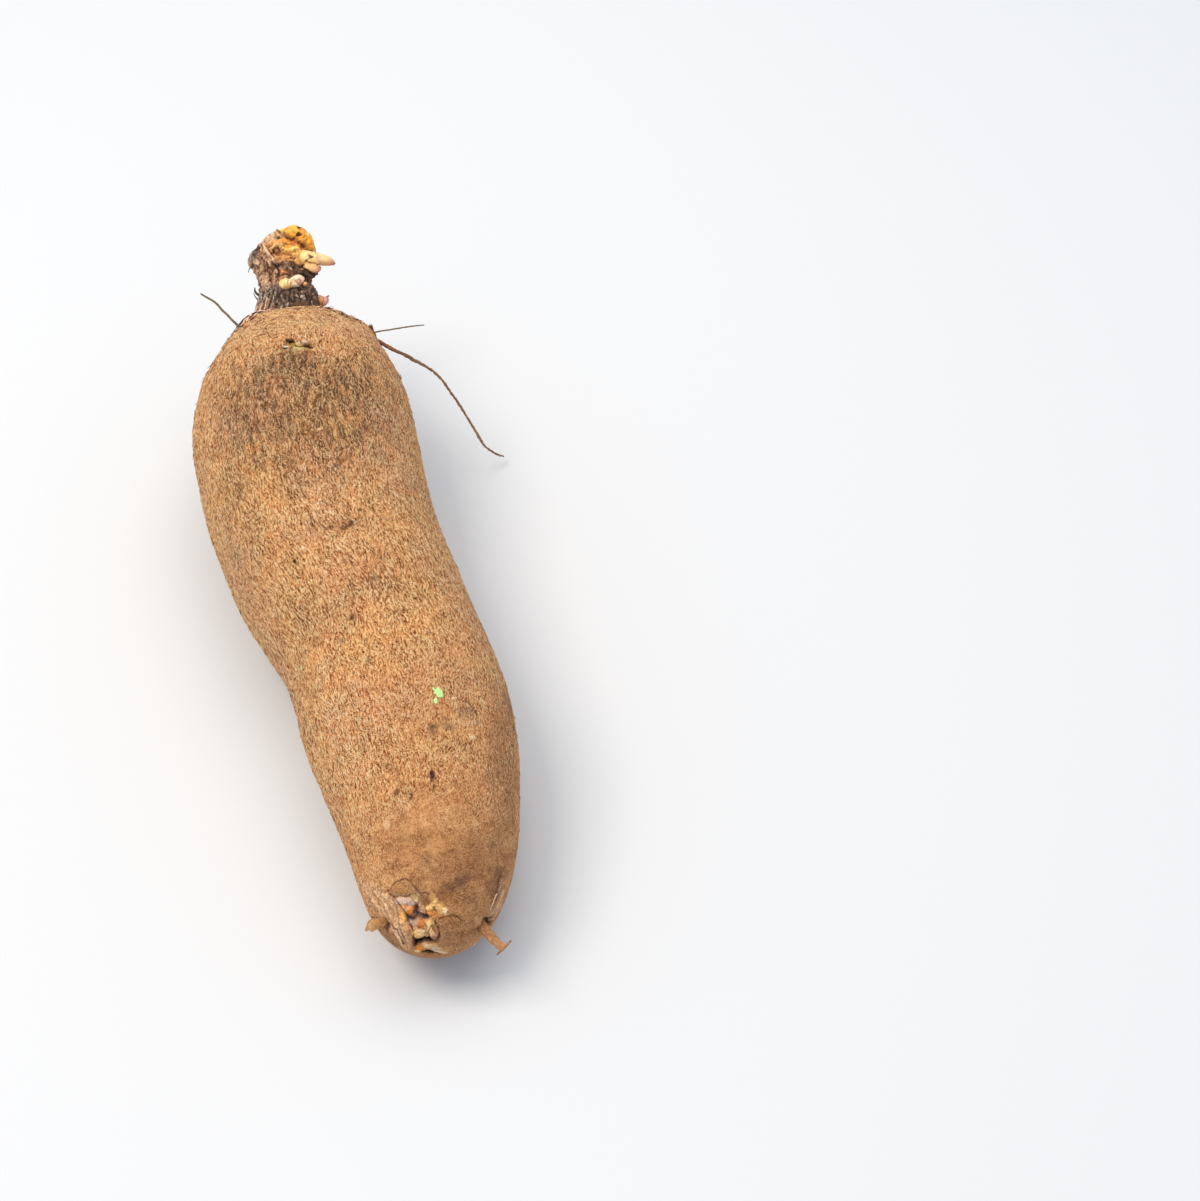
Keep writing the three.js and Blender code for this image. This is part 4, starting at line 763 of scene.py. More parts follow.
    ([(-15.3, -149.6, 41.1), (-14.0, -152.2, 41.4), (-13.5, -154.1, 40.4)], 0.22, -0.3, (150, 104, 74), 0.8, 0.45),
    ([(-13.0, -151.7, 43.2), (-12.1, -153.7, 42.8), (-11.2, -156.0, 41.8), (-10.6, -157.7, 40.6)], 0.22, -0.3, (158, 110, 78), 0.8, 0.45),
    ([(-11.0, -160.3, 34.6), (-10.2, -161.6, 32.6), (-9.0, -162.7, 29.3)], 0.29, 0.3, (242, 206, 164), 0.85, 0.4),
    ([(-14.1, -155.9, 36.9), (-12.9, -157.9, 35.8), (-11.0, -160.2, 35.0), (-9.7, -161.9, 32.9), (-8.7, -162.9, 28.9)], 0.26, -0.4, (104, 64, 44), 0.85, 0.4),
]
PATCHES = [
    (-9, 88, 91, 25.0, 10.8, 0, 0.85),
    (8, 77, 87, 19.2, 14.2, 0, 0.85),
    (-26, 77, 88, 20.7, 14.9, 0, 0.72),
    (-9, 55, 88, 29.5, 11.5, 0, 0.82),
    (-3, 39, 86, 25.2, 8.1, 0, 0.5),
    (-34, 57, 82, 13.9, 11.5, 0, 0.5),
    (-41, 78, 79, 6.7, 14.2, 0, 0.55),
    (-41, 104, 80, 5.9, 11.0, 0, 0.35),
    (-43, 48, 73, 7.4, 10.7, 0, 0.35),
    (-8, 95, 92, 10.9, 5.4, 0, 0.75),
    (21, 65, 79, 9.2, 16.7, 0, 0.4),
    (4, -26, 78, 17.2, 7.0, 10, 0.35),
    (-18, -33, 71, 15.6, 10.2, 0, 0.3),
    (-47, 19, 61, 3.7, 3.2, 0, 0.4),
    (-17, 30, 85, 24.2, 6.5, 0, 0.28),
    (-4, 4, 84, 11.9, 2.8, 0, 0.4),
    (13, -36, 77, 11.7, 6.2, 0, 0.22),
    (-42, 37, 73, 7.3, 16.3, 10, 0.2),
]
RAGGED = [
    (10.9, 141.7, 77.1, 5, 1.3),
    (11.8, 140.2, 77.6, 3, 1.0),
    (14.9, 135.6, 78.3, 5, 1.1),
    (16.3, 134.7, 77.8, 3, 0.9),
    (21.6, 135.7, 73.4, 3, 0.8),
    (27.3, 136.5, 66.9, 9, 1.6),
    (28.2, 135.8, 65.4, 5, 1.3),
    (29.1, 135.7, 62.6, 3, 0.9),
    (26.7, 137.7, 67.1, 3, 0.9),
    (-38.7, 128.7, 73.0, 3, 0.7),
    (-45.9, 124.2, 66.7, 3, 0.7),
    (30.3, 119.7, 67.9, 3, 0.7),
    (33.0, 87.9, 66.5, 2, 0.7),
]
SHOULDER_STRIPS = [
    ([(-29.5, 143.0, 73.2), (-27.4, 143.8, 75.1), (-25.2, 144.6, 76.7), (-23.9, 145.0, 77.2)], 0.42, (46, 38, 36)),
    ([(-24.5, 145.4, 76.5), (-23.1, 144.7, 77.8), (-21.4, 145.3, 77.8), (-18.6, 146.0, 77.7), (-16.7, 145.7, 78.0)], 0.5, (44, 36, 34)),
    ([(-26.2, 141.3, 77.4), (-24.4, 142.5, 78.3), (-22.2, 145.6, 77.3), (-19.5, 144.9, 78.4), (-16.7, 145.7, 78.0)], 0.48, (232, 192, 166)),
    ([(-28.1, 141.2, 75.9), (-26.5, 142.5, 76.7), (-24.7, 144.9, 76.8)], 0.42, (228, 188, 162)),
    ([(-25.9, 141.7, 77.5), (-24.2, 142.1, 78.5), (-22.7, 143.0, 78.9)], 0.36, (112, 78, 58)),
    ([(-24.8, 138.6, 79.1), (-23.3, 139.8, 79.5), (-21.4, 140.9, 80.0)], 0.32, (96, 64, 46)),
    ([(-21.8, 146.9, 76.1), (-20.3, 144.0, 79.0), (-17.7, 145.8, 77.9)], 0.4, (84, 64, 54)),
    ([(-20.5, 145.1, 78.2), (-18.6, 146.0, 77.7), (-17.7, 145.8, 77.9)], 0.45, (120, 98, 86)),
    ([(-29.1, 140.0, 75.5), (-27.8, 141.1, 76.1), (-26.8, 141.3, 76.8)], 0.34, (206, 164, 136)),
    ([(-23.6, 140.7, 79.2), (-21.7, 142.2, 79.5), (-20.2, 144.9, 78.4)], 0.34, (236, 196, 158)),
    ([(-15.8, 145.6, 78.1), (-13.4, 146.5, 77.4), (-10.5, 147.4, 76.8)], 0.36, (70, 52, 44)),
    ([(-17.2, 143.6, 79.5), (-14.9, 145.6, 78.2), (-12.6, 146.5, 77.5)], 0.34, (222, 176, 140)),
]

CROWN_BLOBS = [
    (-14.5, 163.6, 81.3, 4.06, 4.51, 0, 0.1, (164, 134, 114), 0.6, 0.6),
    (-15.1, 168.4, 85.0, 2.71, 4.06, 0, 0.2, (172, 140, 118), 0.6, 0.6),
    (-14.1, 174.8, 89.9, 2.71, 2.71, 0, 0.1, (180, 138, 104), 0.8, 0.5),
    (-13.0, 170.0, 88.8, 2.25, 3.16, 20, 0, (168, 130, 104), 0.7, 0.5),
    (-10.5, 169.5, 90.2, 2.71, 3.61, 0, 0.1, (176, 134, 100), 0.8, 0.5),
    (-17.7, 176.0, 84.9, 2.62, 3.61, 10, 0.6, (112, 92, 82), 0.9, 0.4),
    (-16.6, 177.4, 87.1, 1.35, 1.80, 0, 0.3, (62, 52, 52), 0.9, 0.35),
    (-19.1, 179.3, 80.5, 1.35, 2.25, 0, 0.3, (156, 132, 118), 0.8, 0.35),
    (-15.6, 178.4, 88.2, 0.99, 1.80, 30, 0.1, (54, 46, 48), 0.9, 0.35),
    (-18.3, 174.0, 81.5, 1.35, 0.90, 0, 0.3, (74, 60, 56), 0.9, 0.35),
    (-17.9, 179.6, 83.4, 0.90, 1.13, 0, 0.2, (142, 122, 112), 0.8, 0.35),
    (-9.1, 176.6, 93.2, 3.83, 1.62, 52, 0.3, (208, 168, 130), 0.95, 0.3),
    (-10.9, 175.4, 92.3, 2.25, 0.99, 55, 0.2, (190, 146, 108), 0.8, 0.35),
    (1.5, 173.2, 91.9, 7.22, 5.41, 0, 0.2, (206, 132, 58), 1, 0.2),
    (-5.9, 172.5, 93.1, 5.41, 3.61, 25, 0.2, (216, 146, 74), 0.95, 0.3),
    (-4.2, 167.2, 90.2, 6.31, 3.16, -5, 0.1, (202, 140, 84), 0.95, 0.3),
    (1.4, 179.5, 93.8, 4.51, 2.48, 0, 0.4, (246, 172, 56), 1, 0.25),
    (-0.3, 180.3, 94.1, 1.80, 1.17, 10, 0.4, (255, 197, 85), 0.9, 0.35),
    (1.6, 179.1, 93.7, 1.80, 0.99, 0, 0.3, (252, 190, 66), 0.9, 0.35),
    (3.9, 179.2, 92.6, 1.35, 1.13, 0, 0.2, (236, 160, 60), 0.9, 0.35),
    (3.3, 183.4, 92.6, 0.59, 0.59, 0, 0.5, (54, 36, 22), 1, 0.3),
    (2.9, 178.5, 93.1, 0.77, 0.59, 0, -0.4, (84, 52, 22), 1, 0.3),
    (-0.9, 175.7, 93.9, 1.89, 1.08, -5, -0.9, (112, 62, 36), 0.95, 0.3),
    (-2.1, 177.0, 94.4, 1.35, 0.59, -15, -0.2, (150, 98, 62), 0.8, 0.35),
    (0.3, 175.0, 93.3, 1.35, 0.68, -20, -0.3, (150, 86, 40), 0.8, 0.35),
    (6.5, 177.9, 90.0, 2.44, 1.98, -30, 0.4, (250, 182, 58), 0.95, 0.35),
    (4.1, 176.9, 92.0, 1.62, 1.35, 0, 0.2, (240, 164, 60), 0.9, 0.35),
    (7.6, 176.9, 87.6, 1.26, 2.71, 0, 0.3, (238, 152, 42), 0.95, 0.35),
    (8.0, 175.5, 85.3, 0.90, 2.25, 0, 0.1, (204, 120, 34), 0.95, 0.35),
    (6.2, 174.8, 88.5, 1.08, 1.80, 20, 0.2, (226, 146, 56), 0.9, 0.35),
    (3.9, 174.2, 90.8, 1.17, 1.08, 0, 0.4, (232, 160, 76), 0.9, 0.35),
    (1.0, 171.5, 91.3, 1.44, 1.35, 0, 0.1, (186, 116, 56), 0.9, 0.35),
    (-5.3, 173.1, 93.3, 2.44, 1.53, 20, 0.6, (242, 168, 70), 0.95, 0.35),
    (-2.5, 173.5, 93.4, 1.89, 1.35, 10, 0.5, (238, 158, 62), 0.95, 0.35),
    (-7.1, 173.4, 93.2, 1.53, 1.08, 30, 0.3, (236, 158, 80), 0.9, 0.35),
    (-4.4, 171.2, 92.5, 1.80, 1.08, 0, -0.3, (180, 112, 60), 0.8, 0.35),
    (-1.9, 170.1, 91.6, 3.07, 1.71, 0, 0.6, (255, 189, 93), 0.95, 0.35),
    (-0.9, 170.4, 91.6, 1.53, 0.72, 5, 0.2, (255, 217, 140), 0.9, 0.35),
    (-3.8, 169.3, 91.5, 1.35, 0.90, 0, 0.1, (226, 160, 88), 0.8, 0.35),
    (-8.0, 170.3, 91.7, 1.35, 1.17, 0, 0.5, (158, 116, 88), 0.95, 0.35),
    (-5.5, 168.6, 91.1, 1.80, 1.35, 0, -0.3, (168, 112, 70), 0.8, 0.35),
    (0.8, 169.2, 90.1, 1.80, 0.99, 0, 0.1, (226, 164, 92), 0.8, 0.35),
    (-7.4, 167.3, 90.0, 1.35, 1.35, 0, 0.1, (190, 134, 86), 0.8, 0.35),
    (2.6, 167.9, 88.2, 4.06, 2.53, 0, 0.6, (254, 191, 106), 0.95, 0.3),
    (4.9, 170.1, 87.3, 2.89, 1.35, 0, 0.4, (255, 210, 127), 0.95, 0.35),
    (1.4, 168.2, 89.2, 1.53, 1.62, 0, 0.1, (240, 190, 112), 0.8, 0.35),
    (1.5, 166.1, 87.7, 1.80, 0.99, 0, 0.2, (255, 206, 124), 0.8, 0.35),
    (3.7, 165.7, 85.4, 2.53, 1.35, -15, 0.4, (248, 184, 110), 0.9, 0.35),
    (-4.6, 163.2, 86.0, 7.22, 2.93, 0, 0.0, (134, 106, 88), 0.9, 0.4),
    (1.5, 163.5, 82.0, 4.96, 2.93, 0, 0.2, (88, 68, 60), 0.92, 0.4),
    (4.8, 165.4, 80.2, 3.16, 2.71, 0, 0.2, (82, 64, 56), 0.92, 0.4),
    (6.9, 168.1, 75.3, 1.26, 2.44, 0, 0.4, (66, 52, 48), 0.92, 0.35),
    (4.4, 164.0, 77.7, 2.71, 1.35, 0, -0.2, (96, 74, 62), 0.9, 0.35),
    (-6.6, 162.5, 84.8, 0.99, 0.86, 0, 0.4, (224, 146, 68), 0.95, 0.3),
    (-10.7, 164.6, 85.9, 1.22, 1.89, 0, -0.9, (90, 56, 46), 0.95, 0.35),
    (-8.2, 161.5, 83.9, 1.80, 1.35, 0, 0.1, (150, 116, 94), 0.7, 0.35),
    (-9.4, 161.0, 83.2, 0.90, 1.35, 0, -0.2, (110, 82, 66), 0.7, 0.35),
    (-12.4, 164.9, 84.7, 1.35, 1.80, 0, 0.1, (150, 112, 90), 0.6, 0.35),
    (2.9, 160.0, 79.1, 1.80, 1.35, 0, -0.2, (100, 78, 68), 0.8, 0.35),
    (-13.6, 155.1, 79.2, 5.86, 3.61, 0, 0.1, (74, 62, 58), 0.75, 0.5),
    (-4.5, 151.5, 80.2, 9.02, 4.06, 0, 0.2, (60, 50, 48), 0.85, 0.4),
    (2.8, 152.5, 77.1, 4.06, 3.61, 0, 0.2, (70, 56, 52), 0.85, 0.4),
    (-7.5, 146.4, 78.0, 11.73, 1.35, 8, 0.1, (88, 62, 48), 0.8, 0.5),
    # The next four light grey blobs on the dark knob at the crown's left are painted glossy highlights.
    (-18.3, 181.1, 81.7, 0.50, 0.86, 20, 0.1, (196, 190, 188), 0.85, 0.5),
    (-17.8, 174.6, 84.1, 0.45, 0.99, 10, 0.1, (184, 176, 172), 0.8, 0.5),
    (-19.5, 178.2, 79.7, 0.45, 0.63, 0, 0.1, (170, 160, 156), 0.8, 0.5),
    (-16.1, 174.6, 87.7, 0.45, 1.08, 35, 0.1, (150, 138, 134), 0.7, 0.5),
    (-16.8, 178.5, 86.5, 0.81, 0.54, 0, 0.0, (50, 42, 44), 0.8, 0.5),
    (-9.3, 164.7, 87.0, 0.99, 0.72, 0, -0.9, (74, 40, 28), 1, 0.35),
    (2.2, 164.2, 83.9, 1.62, 0.90, 20, -0.4, (62, 48, 42), 0.8, 0.5),
    (5.6, 166.1, 79.5, 1.53, 1.80, 0, -0.2, (78, 60, 52), 0.7, 0.5),
    (3.6, 164.6, 79.9, 0.45, 1.17, 10, 0.3, (150, 126, 112), 0.7, 0.5),
    (0.2, 163.2, 83.4, 1.17, 0.54, 15, 0.2, (184, 142, 112), 0.75, 0.5),
    (-1.0, 163.3, 84.9, 0.63, 0.36, 10, -0.3, (84, 54, 40), 0.85, 0.4),
    (0.5, 179.9, 94.0, 1.62, 0.86, 5, 0.1, (255, 200, 82), 1, 0.35),
    (3.3, 173.7, 91.0, 1.80, 1.26, 0, -0.3, (150, 88, 28), 0.85, 0.4),
    (6.7, 175.8, 88.4, 0.90, 1.89, -6, 0.3, (252, 180, 66), 0.95, 0.4),
    (1.2, 172.3, 91.6, 1.17, 0.81, 0, 0.3, (226, 158, 66), 0.9, 0.4),
    (-1.1, 175.8, 93.9, 1.35, 0.77, -5, -0.6, (100, 54, 26), 0.98, 0.3),
    (-3.6, 175.8, 94.2, 1.17, 0.68, 20, 0.35, (204, 148, 98), 0.9, 0.4),
    (3.5, 183.7, 92.4, 0.50, 0.45, 0, -0.4, (48, 32, 18), 1, 0.3),
    (3.0, 178.2, 93.1, 0.86, 0.54, 10, -0.5, (74, 42, 16), 1, 0.3),
    (-8.0, 169.5, 91.3, 1.08, 0.81, 0, 0.35, (158, 112, 82), 0.95, 0.35),
    (-1.0, 169.8, 91.2, 1.62, 0.54, 4, 0.35, (255, 220, 146), 1, 0.35),
    (-3.6, 171.5, 92.6, 2.25, 0.99, 8, 0.45, (240, 168, 70), 0.95, 0.35),
    (-5.5, 172.2, 93.0, 1.26, 0.86, 20, 0.45, (230, 148, 54), 0.95, 0.35),
    (-6.0, 174.1, 93.6, 1.53, 0.72, 25, 0.4, (244, 178, 98), 0.95, 0.4),
    (-8.0, 167.0, 89.7, 1.08, 0.63, 10, 0.2, (212, 158, 92), 0.9, 0.4),
    (-0.4, 167.4, 89.5, 1.08, 1.17, 0, 0.3, (252, 212, 134), 0.95, 0.4),
    (-3.0, 165.0, 88.5, 1.53, 0.72, 0, 0.2, (214, 160, 104), 0.85, 0.4),
    (-8.0, 177.5, 93.7, 1.71, 0.99, 50, 0.4, (255, 222, 184), 0.97, 0.35),
    (-9.7, 175.8, 92.9, 1.53, 0.81, 50, 0.3, (248, 206, 168), 0.95, 0.35),
    (-16.7, 171.5, 84.7, 1.08, 1.44, 0, 0.15, (196, 164, 144), 0.85, 0.4),
    (-14.1, 169.3, 87.2, 1.17, 1.35, 0, 0.15, (216, 178, 146), 0.85, 0.4),
    (-11.7, 171.2, 90.5, 1.17, 1.35, 0, 0.3, (224, 178, 138), 0.9, 0.4),
    (-14.8, 176.2, 89.4, 0.68, 1.08, 20, -0.1, (56, 46, 46), 0.95, 0.35),
    (-16.7, 167.1, 80.2, 1.35, 1.80, 0, 0.1, (206, 168, 140), 0.8, 0.5),
    (-13.8, 162.0, 81.2, 1.80, 1.80, 0, 0.1, (212, 174, 146), 0.8, 0.5),
    (-14.4, 166.5, 84.0, 1.35, 1.35, 0, 0.1, (176, 136, 110), 0.65, 0.5),
    (-10.0, 161.1, 83.1, 1.17, 1.17, 0, 0.15, (168, 132, 108), 0.8, 0.45),
    (-6.5, 162.5, 84.8, 1.89, 1.62, 0, 0.0, (142, 112, 94), 0.9, 0.4),
    (-6.5, 162.4, 84.7, 0.68, 0.59, 0, 0.35, (240, 152, 60), 1, 0.35),
    (-5.5, 160.1, 83.2, 1.08, 0.72, 0, 0.1, (150, 120, 100), 0.8, 0.45),
]
CROWN_LINES = [
    ([(-15.9, 170.5, 85.6), (-15.8, 167.8, 82.9), (-15.7, 165.3, 80.8)], 0.36, 0.3, (204, 174, 150), 0.9, 0.45),
    ([(-14.6, 165.8, 83.0), (-14.8, 162.3, 80.4), (-14.7, 158.5, 79.3)], 0.36, 0.3, (192, 164, 144), 0.9, 0.45),
    ([(-13.6, 162.3, 81.5), (-13.8, 157.7, 79.8)], 0.27, 0.2, (176, 148, 130), 0.9, 0.45),
    ([(-16.9, 170.5, 83.7), (-17.4, 168.1, 78.8), (-17.7, 163.4, 75.9)], 0.41, -0.3, (92, 70, 60), 0.9, 0.45),
    ([(-14.4, 170.2, 87.5), (-14.5, 167.2, 84.6), (-14.3, 164.7, 82.4)], 0.27, -0.3, (112, 86, 70), 0.9, 0.45),
    ([(-12.6, 164.3, 83.8), (-12.5, 160.3, 81.6), (-12.8, 156.9, 80.3)], 0.36, -0.35, (98, 74, 62), 0.9, 0.45),
    ([(-13.1, 167.8, 87.2), (-12.9, 165.5, 85.0)], 0.27, -0.2, (120, 88, 70), 0.9, 0.45),
    ([(-19.8, 179.9, 80.8), (-18.7, 181.6, 81.9), (-17.0, 183.2, 83.1), (-15.1, 182.5, 86.6)], 0.32, 0.2, (70, 58, 56), 0.9, 0.45),
    ([(-17.4, 174.2, 84.9), (-16.6, 174.8, 87.0), (-15.3, 174.9, 88.7)], 0.27, -0.4, (60, 48, 44), 0.9, 0.45),
    ([(-15.6, 178.7, 88.2), (-11.5, 179.6, 91.7), (-7.7, 181.8, 92.7), (-4.9, 180.1, 94.0)], 0.36, 0.4, (96, 66, 48), 0.9, 0.45),
    ([(-7.1, 182.1, 92.8), (-4.4, 179.1, 94.3), (-2.7, 176.4, 94.3)], 0.59, 0.5, (168, 118, 80), 0.9, 0.45),
    ([(-7.0, 179.5, 93.7), (-6.3, 177.2, 94.1), (-5.1, 175.1, 94.0)], 0.32, -0.5, (82, 46, 26), 0.9, 0.45),
    ([(-12.2, 174.3, 91.4), (-10.3, 175.7, 92.6), (-7.7, 178.0, 93.8)], 0.23, -0.3, (120, 78, 50), 0.9, 0.45),
    ([(2.2, 173.9, 91.9), (3.5, 173.0, 90.4), (5.5, 173.7, 88.7), (6.1, 172.6, 87.3)], 0.50, -0.5, (148, 84, 32), 0.9, 0.45),
    ([(2.5, 171.6, 90.5), (3.9, 171.1, 89.0), (5.4, 171.2, 87.5)], 0.41, -0.5, (116, 66, 34), 0.9, 0.45),
    ([(1.9, 175.8, 92.9), (2.7, 174.6, 92.0), (2.1, 173.4, 91.7)], 0.36, -0.3, (160, 92, 40), 0.9, 0.45),
    ([(-9.6, 172.2, 92.0), (-8.5, 172.7, 92.6), (-7.0, 172.7, 93.0), (-5.8, 171.8, 92.8), (-5.2, 170.4, 92.2)], 0.54, 0.6, (255, 213, 140), 0.95, 0.45),
    ([(-9.4, 170.6, 91.4), (-8.9, 171.6, 92.1), (-7.7, 171.6, 92.4), (-6.7, 170.8, 92.3), (-6.9, 169.9, 91.7)], 0.45, 0.6, (86, 56, 42), 0.95, 0.45),
    ([(-11.2, 167.7, 88.6), (-10.3, 169.3, 90.2), (-9.3, 170.0, 91.1)], 0.36, -0.3, (92, 62, 48), 0.9, 0.45),
    ([(-11.8, 170.9, 90.3), (-11.7, 168.7, 89.0), (-10.8, 166.5, 88.0), (-8.9, 164.9, 87.4)], 0.63, 0.6, (208, 178, 156), 0.9, 0.45),
    ([(-8.9, 164.8, 87.4), (-6.3, 164.7, 88.1), (-3.2, 164.6, 88.1), (-0.1, 164.3, 86.7), (2.5, 164.6, 84.8), (5.5, 165.9, 81.4), (8.2, 169.4, 76.1)], 0.59, 0.6, (78, 58, 50), 0.95, 0.45),
    ([(-8.1, 165.3, 88.2), (-4.6, 165.2, 88.8), (-1.5, 164.9, 88.0), (1.0, 164.7, 86.6)], 0.36, 0.3, (196, 146, 102), 0.9, 0.45),
    ([(-2.4, 163.6, 86.4), (-0.4, 163.4, 84.8), (1.9, 163.9, 83.4)], 0.36, 0.3, (150, 124, 106), 0.9, 0.45),
    ([(-6.5, 163.8, 86.9), (-4.6, 163.2, 86.0), (-2.6, 163.0, 85.2)], 0.36, 0.2, (160, 130, 108), 0.9, 0.45),
    ([(2.5, 164.0, 81.4), (4.0, 164.3, 78.9), (5.7, 167.4, 75.2)], 0.32, 0.3, (128, 104, 92), 0.9, 0.45),
    ([(-11.6, 165.8, 86.5), (-10.8, 166.1, 87.5), (-9.6, 165.1, 87.3), (-9.5, 164.2, 86.1)], 0.41, 0.5, (150, 116, 96), 0.9, 0.45),
    ([(-13.0, 157.1, 80.2), (-13.2, 154.6, 79.4)], 0.36, 0.35, (190, 186, 184), 0.85, 0.45),
    ([(-10.9, 156.4, 81.1), (-11.7, 153.1, 79.7)], 0.36, 0.35, (180, 172, 166), 0.85, 0.45),
    ([(-16.2, 154.4, 77.1), (-14.4, 156.6, 78.9)], 0.36, 0.35, (176, 166, 158), 0.85, 0.45),
    ([(-9.2, 152.0, 80.2), (-8.6, 149.1, 79.2)], 0.36, 0.35, (150, 138, 130), 0.85, 0.45),
    ([(-6.9, 153.0, 80.8), (-6.8, 149.7, 79.6)], 0.36, 0.35, (136, 120, 110), 0.85, 0.45),
    ([(-4.1, 154.1, 81.1), (-5.0, 150.4, 79.8)], 0.36, 0.35, (122, 106, 94), 0.85, 0.45),
    ([(-0.1, 153.5, 79.5), (-0.4, 149.4, 78.0)], 0.36, 0.35, (152, 140, 130), 0.85, 0.45),
    ([(2.8, 156.0, 78.3), (2.8, 152.4, 77.0)], 0.36, 0.35, (124, 104, 92), 0.85, 0.45),
    ([(-2.8, 149.7, 79.0), (-2.6, 146.9, 77.6)], 0.36, 0.35, (132, 114, 102), 0.85, 0.45),
    ([(-19.1, 154.2, 73.2), (-14.5, 152.6, 78.0)], 0.36, 0.35, (216, 182, 146), 0.85, 0.45),
    ([(-16.8, 161.2, 77.5), (-17.7, 158.9, 75.4)], 0.36, 0.35, (132, 116, 106), 0.85, 0.45),
    ([(-14.4, 160.7, 80.3), (-15.5, 158.1, 78.4)], 0.36, 0.35, (150, 132, 120), 0.85, 0.45),
    ([(-9.2, 155.6, 81.4), (-10.0, 153.3, 80.4)], 0.36, 0.35, (120, 104, 96), 0.85, 0.45),
    ([(-13.1, 151.6, 78.6), (-12.9, 148.9, 77.7)], 0.36, 0.35, (140, 126, 116), 0.85, 0.45),
    ([(4.6, 155.1, 76.0), (4.7, 152.3, 74.8)], 0.36, 0.35, (140, 120, 106), 0.85, 0.45),
    ([(-3.4, 151.8, 80.1), (-2.6, 154.2, 80.7)], 0.36, 0.35, (96, 84, 78), 0.85, 0.45),
    ([(-8.9, 147.5, 78.4), (-6.2, 147.7, 78.6)], 0.36, 0.35, (150, 134, 122), 0.85, 0.45),
    ([(1.3, 149.6, 77.0), (1.5, 147.6, 75.8)], 0.36, 0.35, (110, 86, 70), 0.85, 0.45),
    ([(-18.2, 156.3, 74.9), (-15.9, 155.2, 77.4)], 0.36, 0.35, (120, 110, 104), 0.85, 0.45),
    ([(-12.0, 156.4, 80.5), (-12.5, 152.4, 79.2)], 0.36, -0.5, (34, 28, 30), 0.85, 0.45),
    ([(-10.0, 155.4, 81.0), (-10.9, 151.6, 79.6)], 0.36, -0.5, (34, 28, 30), 0.85, 0.45),
    ([(-7.4, 154.5, 81.3), (-7.6, 151.1, 80.1)], 0.36, -0.5, (34, 28, 30), 0.85, 0.45),
    ([(-5.3, 153.0, 80.8), (-6.2, 149.2, 79.3)], 0.36, -0.5, (34, 28, 30), 0.85, 0.45),
    ([(-1.1, 153.2, 79.9), (-1.4, 149.8, 78.6)], 0.36, -0.5, (34, 28, 30), 0.85, 0.45),
    ([(1.5, 154.1, 78.7), (1.4, 150.2, 77.2)], 0.36, -0.5, (34, 28, 30), 0.85, 0.45),
    ([(-14.1, 155.5, 78.9), (-15.2, 152.5, 77.5)], 0.36, -0.5, (34, 28, 30), 0.85, 0.45),
    ([(-16.4, 158.0, 77.3), (-17.2, 154.7, 76.1)], 0.36, -0.5, (34, 28, 30), 0.85, 0.45),
    ([(-6.2, 180.1, 93.7), (-8.6, 180.6, 92.8), (-11.3, 179.3, 91.9), (-14.0, 178.6, 89.9)], 0.68, 0.7, (232, 196, 164), 0.9, 0.45),
    ([(-5.6, 177.5, 94.3), (-8.1, 177.2, 93.6), (-10.7, 176.4, 92.5), (-13.3, 175.2, 90.8)], 0.36, -0.6, (96, 58, 38), 0.9, 0.45),
    ([(-4.8, 178.0, 94.4), (-3.1, 176.0, 94.2), (-1.8, 174.6, 93.7)], 0.36, -0.5, (110, 66, 40), 0.8, 0.45),
    ([(-12.1, 174.7, 91.5), (-9.4, 174.5, 92.8), (-6.4, 173.5, 93.4), (-3.5, 171.9, 92.8)], 0.54, 0.4, (226, 164, 96), 0.75, 0.45),
    ([(-14.3, 173.4, 89.5), (-11.6, 172.5, 91.2), (-9.4, 171.3, 91.8)], 0.41, 0.4, (214, 176, 140), 0.8, 0.45),
    ([(-13.6, 171.6, 89.1), (-11.0, 170.4, 90.5), (-8.6, 168.7, 90.6), (-6.7, 166.6, 89.7)], 0.32, -0.5, (110, 70, 46), 0.85, 0.45),
    ([(-5.5, 168.3, 90.9), (-3.6, 166.6, 89.8), (-1.7, 165.1, 88.3), (0.7, 164.4, 86.5)], 0.72, 0.5, (236, 176, 112), 0.8, 0.45),
    ([(-3.6, 168.9, 91.3), (-1.7, 167.7, 90.2), (0.4, 167.3, 89.1)], 0.68, 0.4, (246, 196, 116), 0.8, 0.45),
    ([(-16.7, 171.5, 84.7), (-15.5, 168.0, 83.9), (-15.6, 165.7, 81.2), (-16.6, 163.3, 78.2)], 0.41, 0.5, (216, 180, 152), 0.85, 0.45),
    ([(-15.2, 171.1, 87.0), (-13.5, 167.4, 86.3), (-12.8, 164.6, 83.9), (-13.0, 161.2, 81.6)], 0.32, -0.5, (104, 72, 56), 0.85, 0.45),
    ([(-13.2, 168.9, 87.9), (-11.4, 166.1, 87.0), (-10.6, 163.7, 84.8)], 0.41, 0.5, (220, 184, 156), 0.85, 0.45),
    ([(-10.9, 166.4, 87.8), (-9.5, 164.3, 86.4), (-9.5, 162.3, 84.1), (-10.6, 159.2, 82.2)], 0.32, -0.5, (96, 66, 52), 0.85, 0.45),
    ([(-8.3, 163.7, 86.1), (-6.8, 162.4, 84.7), (-7.7, 160.2, 83.2)], 0.36, 0.4, (200, 156, 122), 0.8, 0.45),
    ([(-18.4, 173.3, 79.1), (-18.1, 171.6, 75.8), (-18.0, 165.8, 74.7), (-17.4, 158.7, 75.9)], 0.36, -0.4, (112, 82, 66), 0.8, 0.45),
    ([(-15.3, 161.9, 79.7), (-14.5, 158.0, 79.3), (-15.4, 155.2, 77.8)], 0.36, 0.4, (206, 176, 152), 0.75, 0.45),
    ([(6.2, 180.8, 90.9), (8.0, 181.5, 88.4), (8.9, 180.7, 86.1), (8.8, 177.9, 84.0), (8.3, 174.7, 83.6)], 0.32, 0.15, (255, 210, 116), 0.95, 0.4),
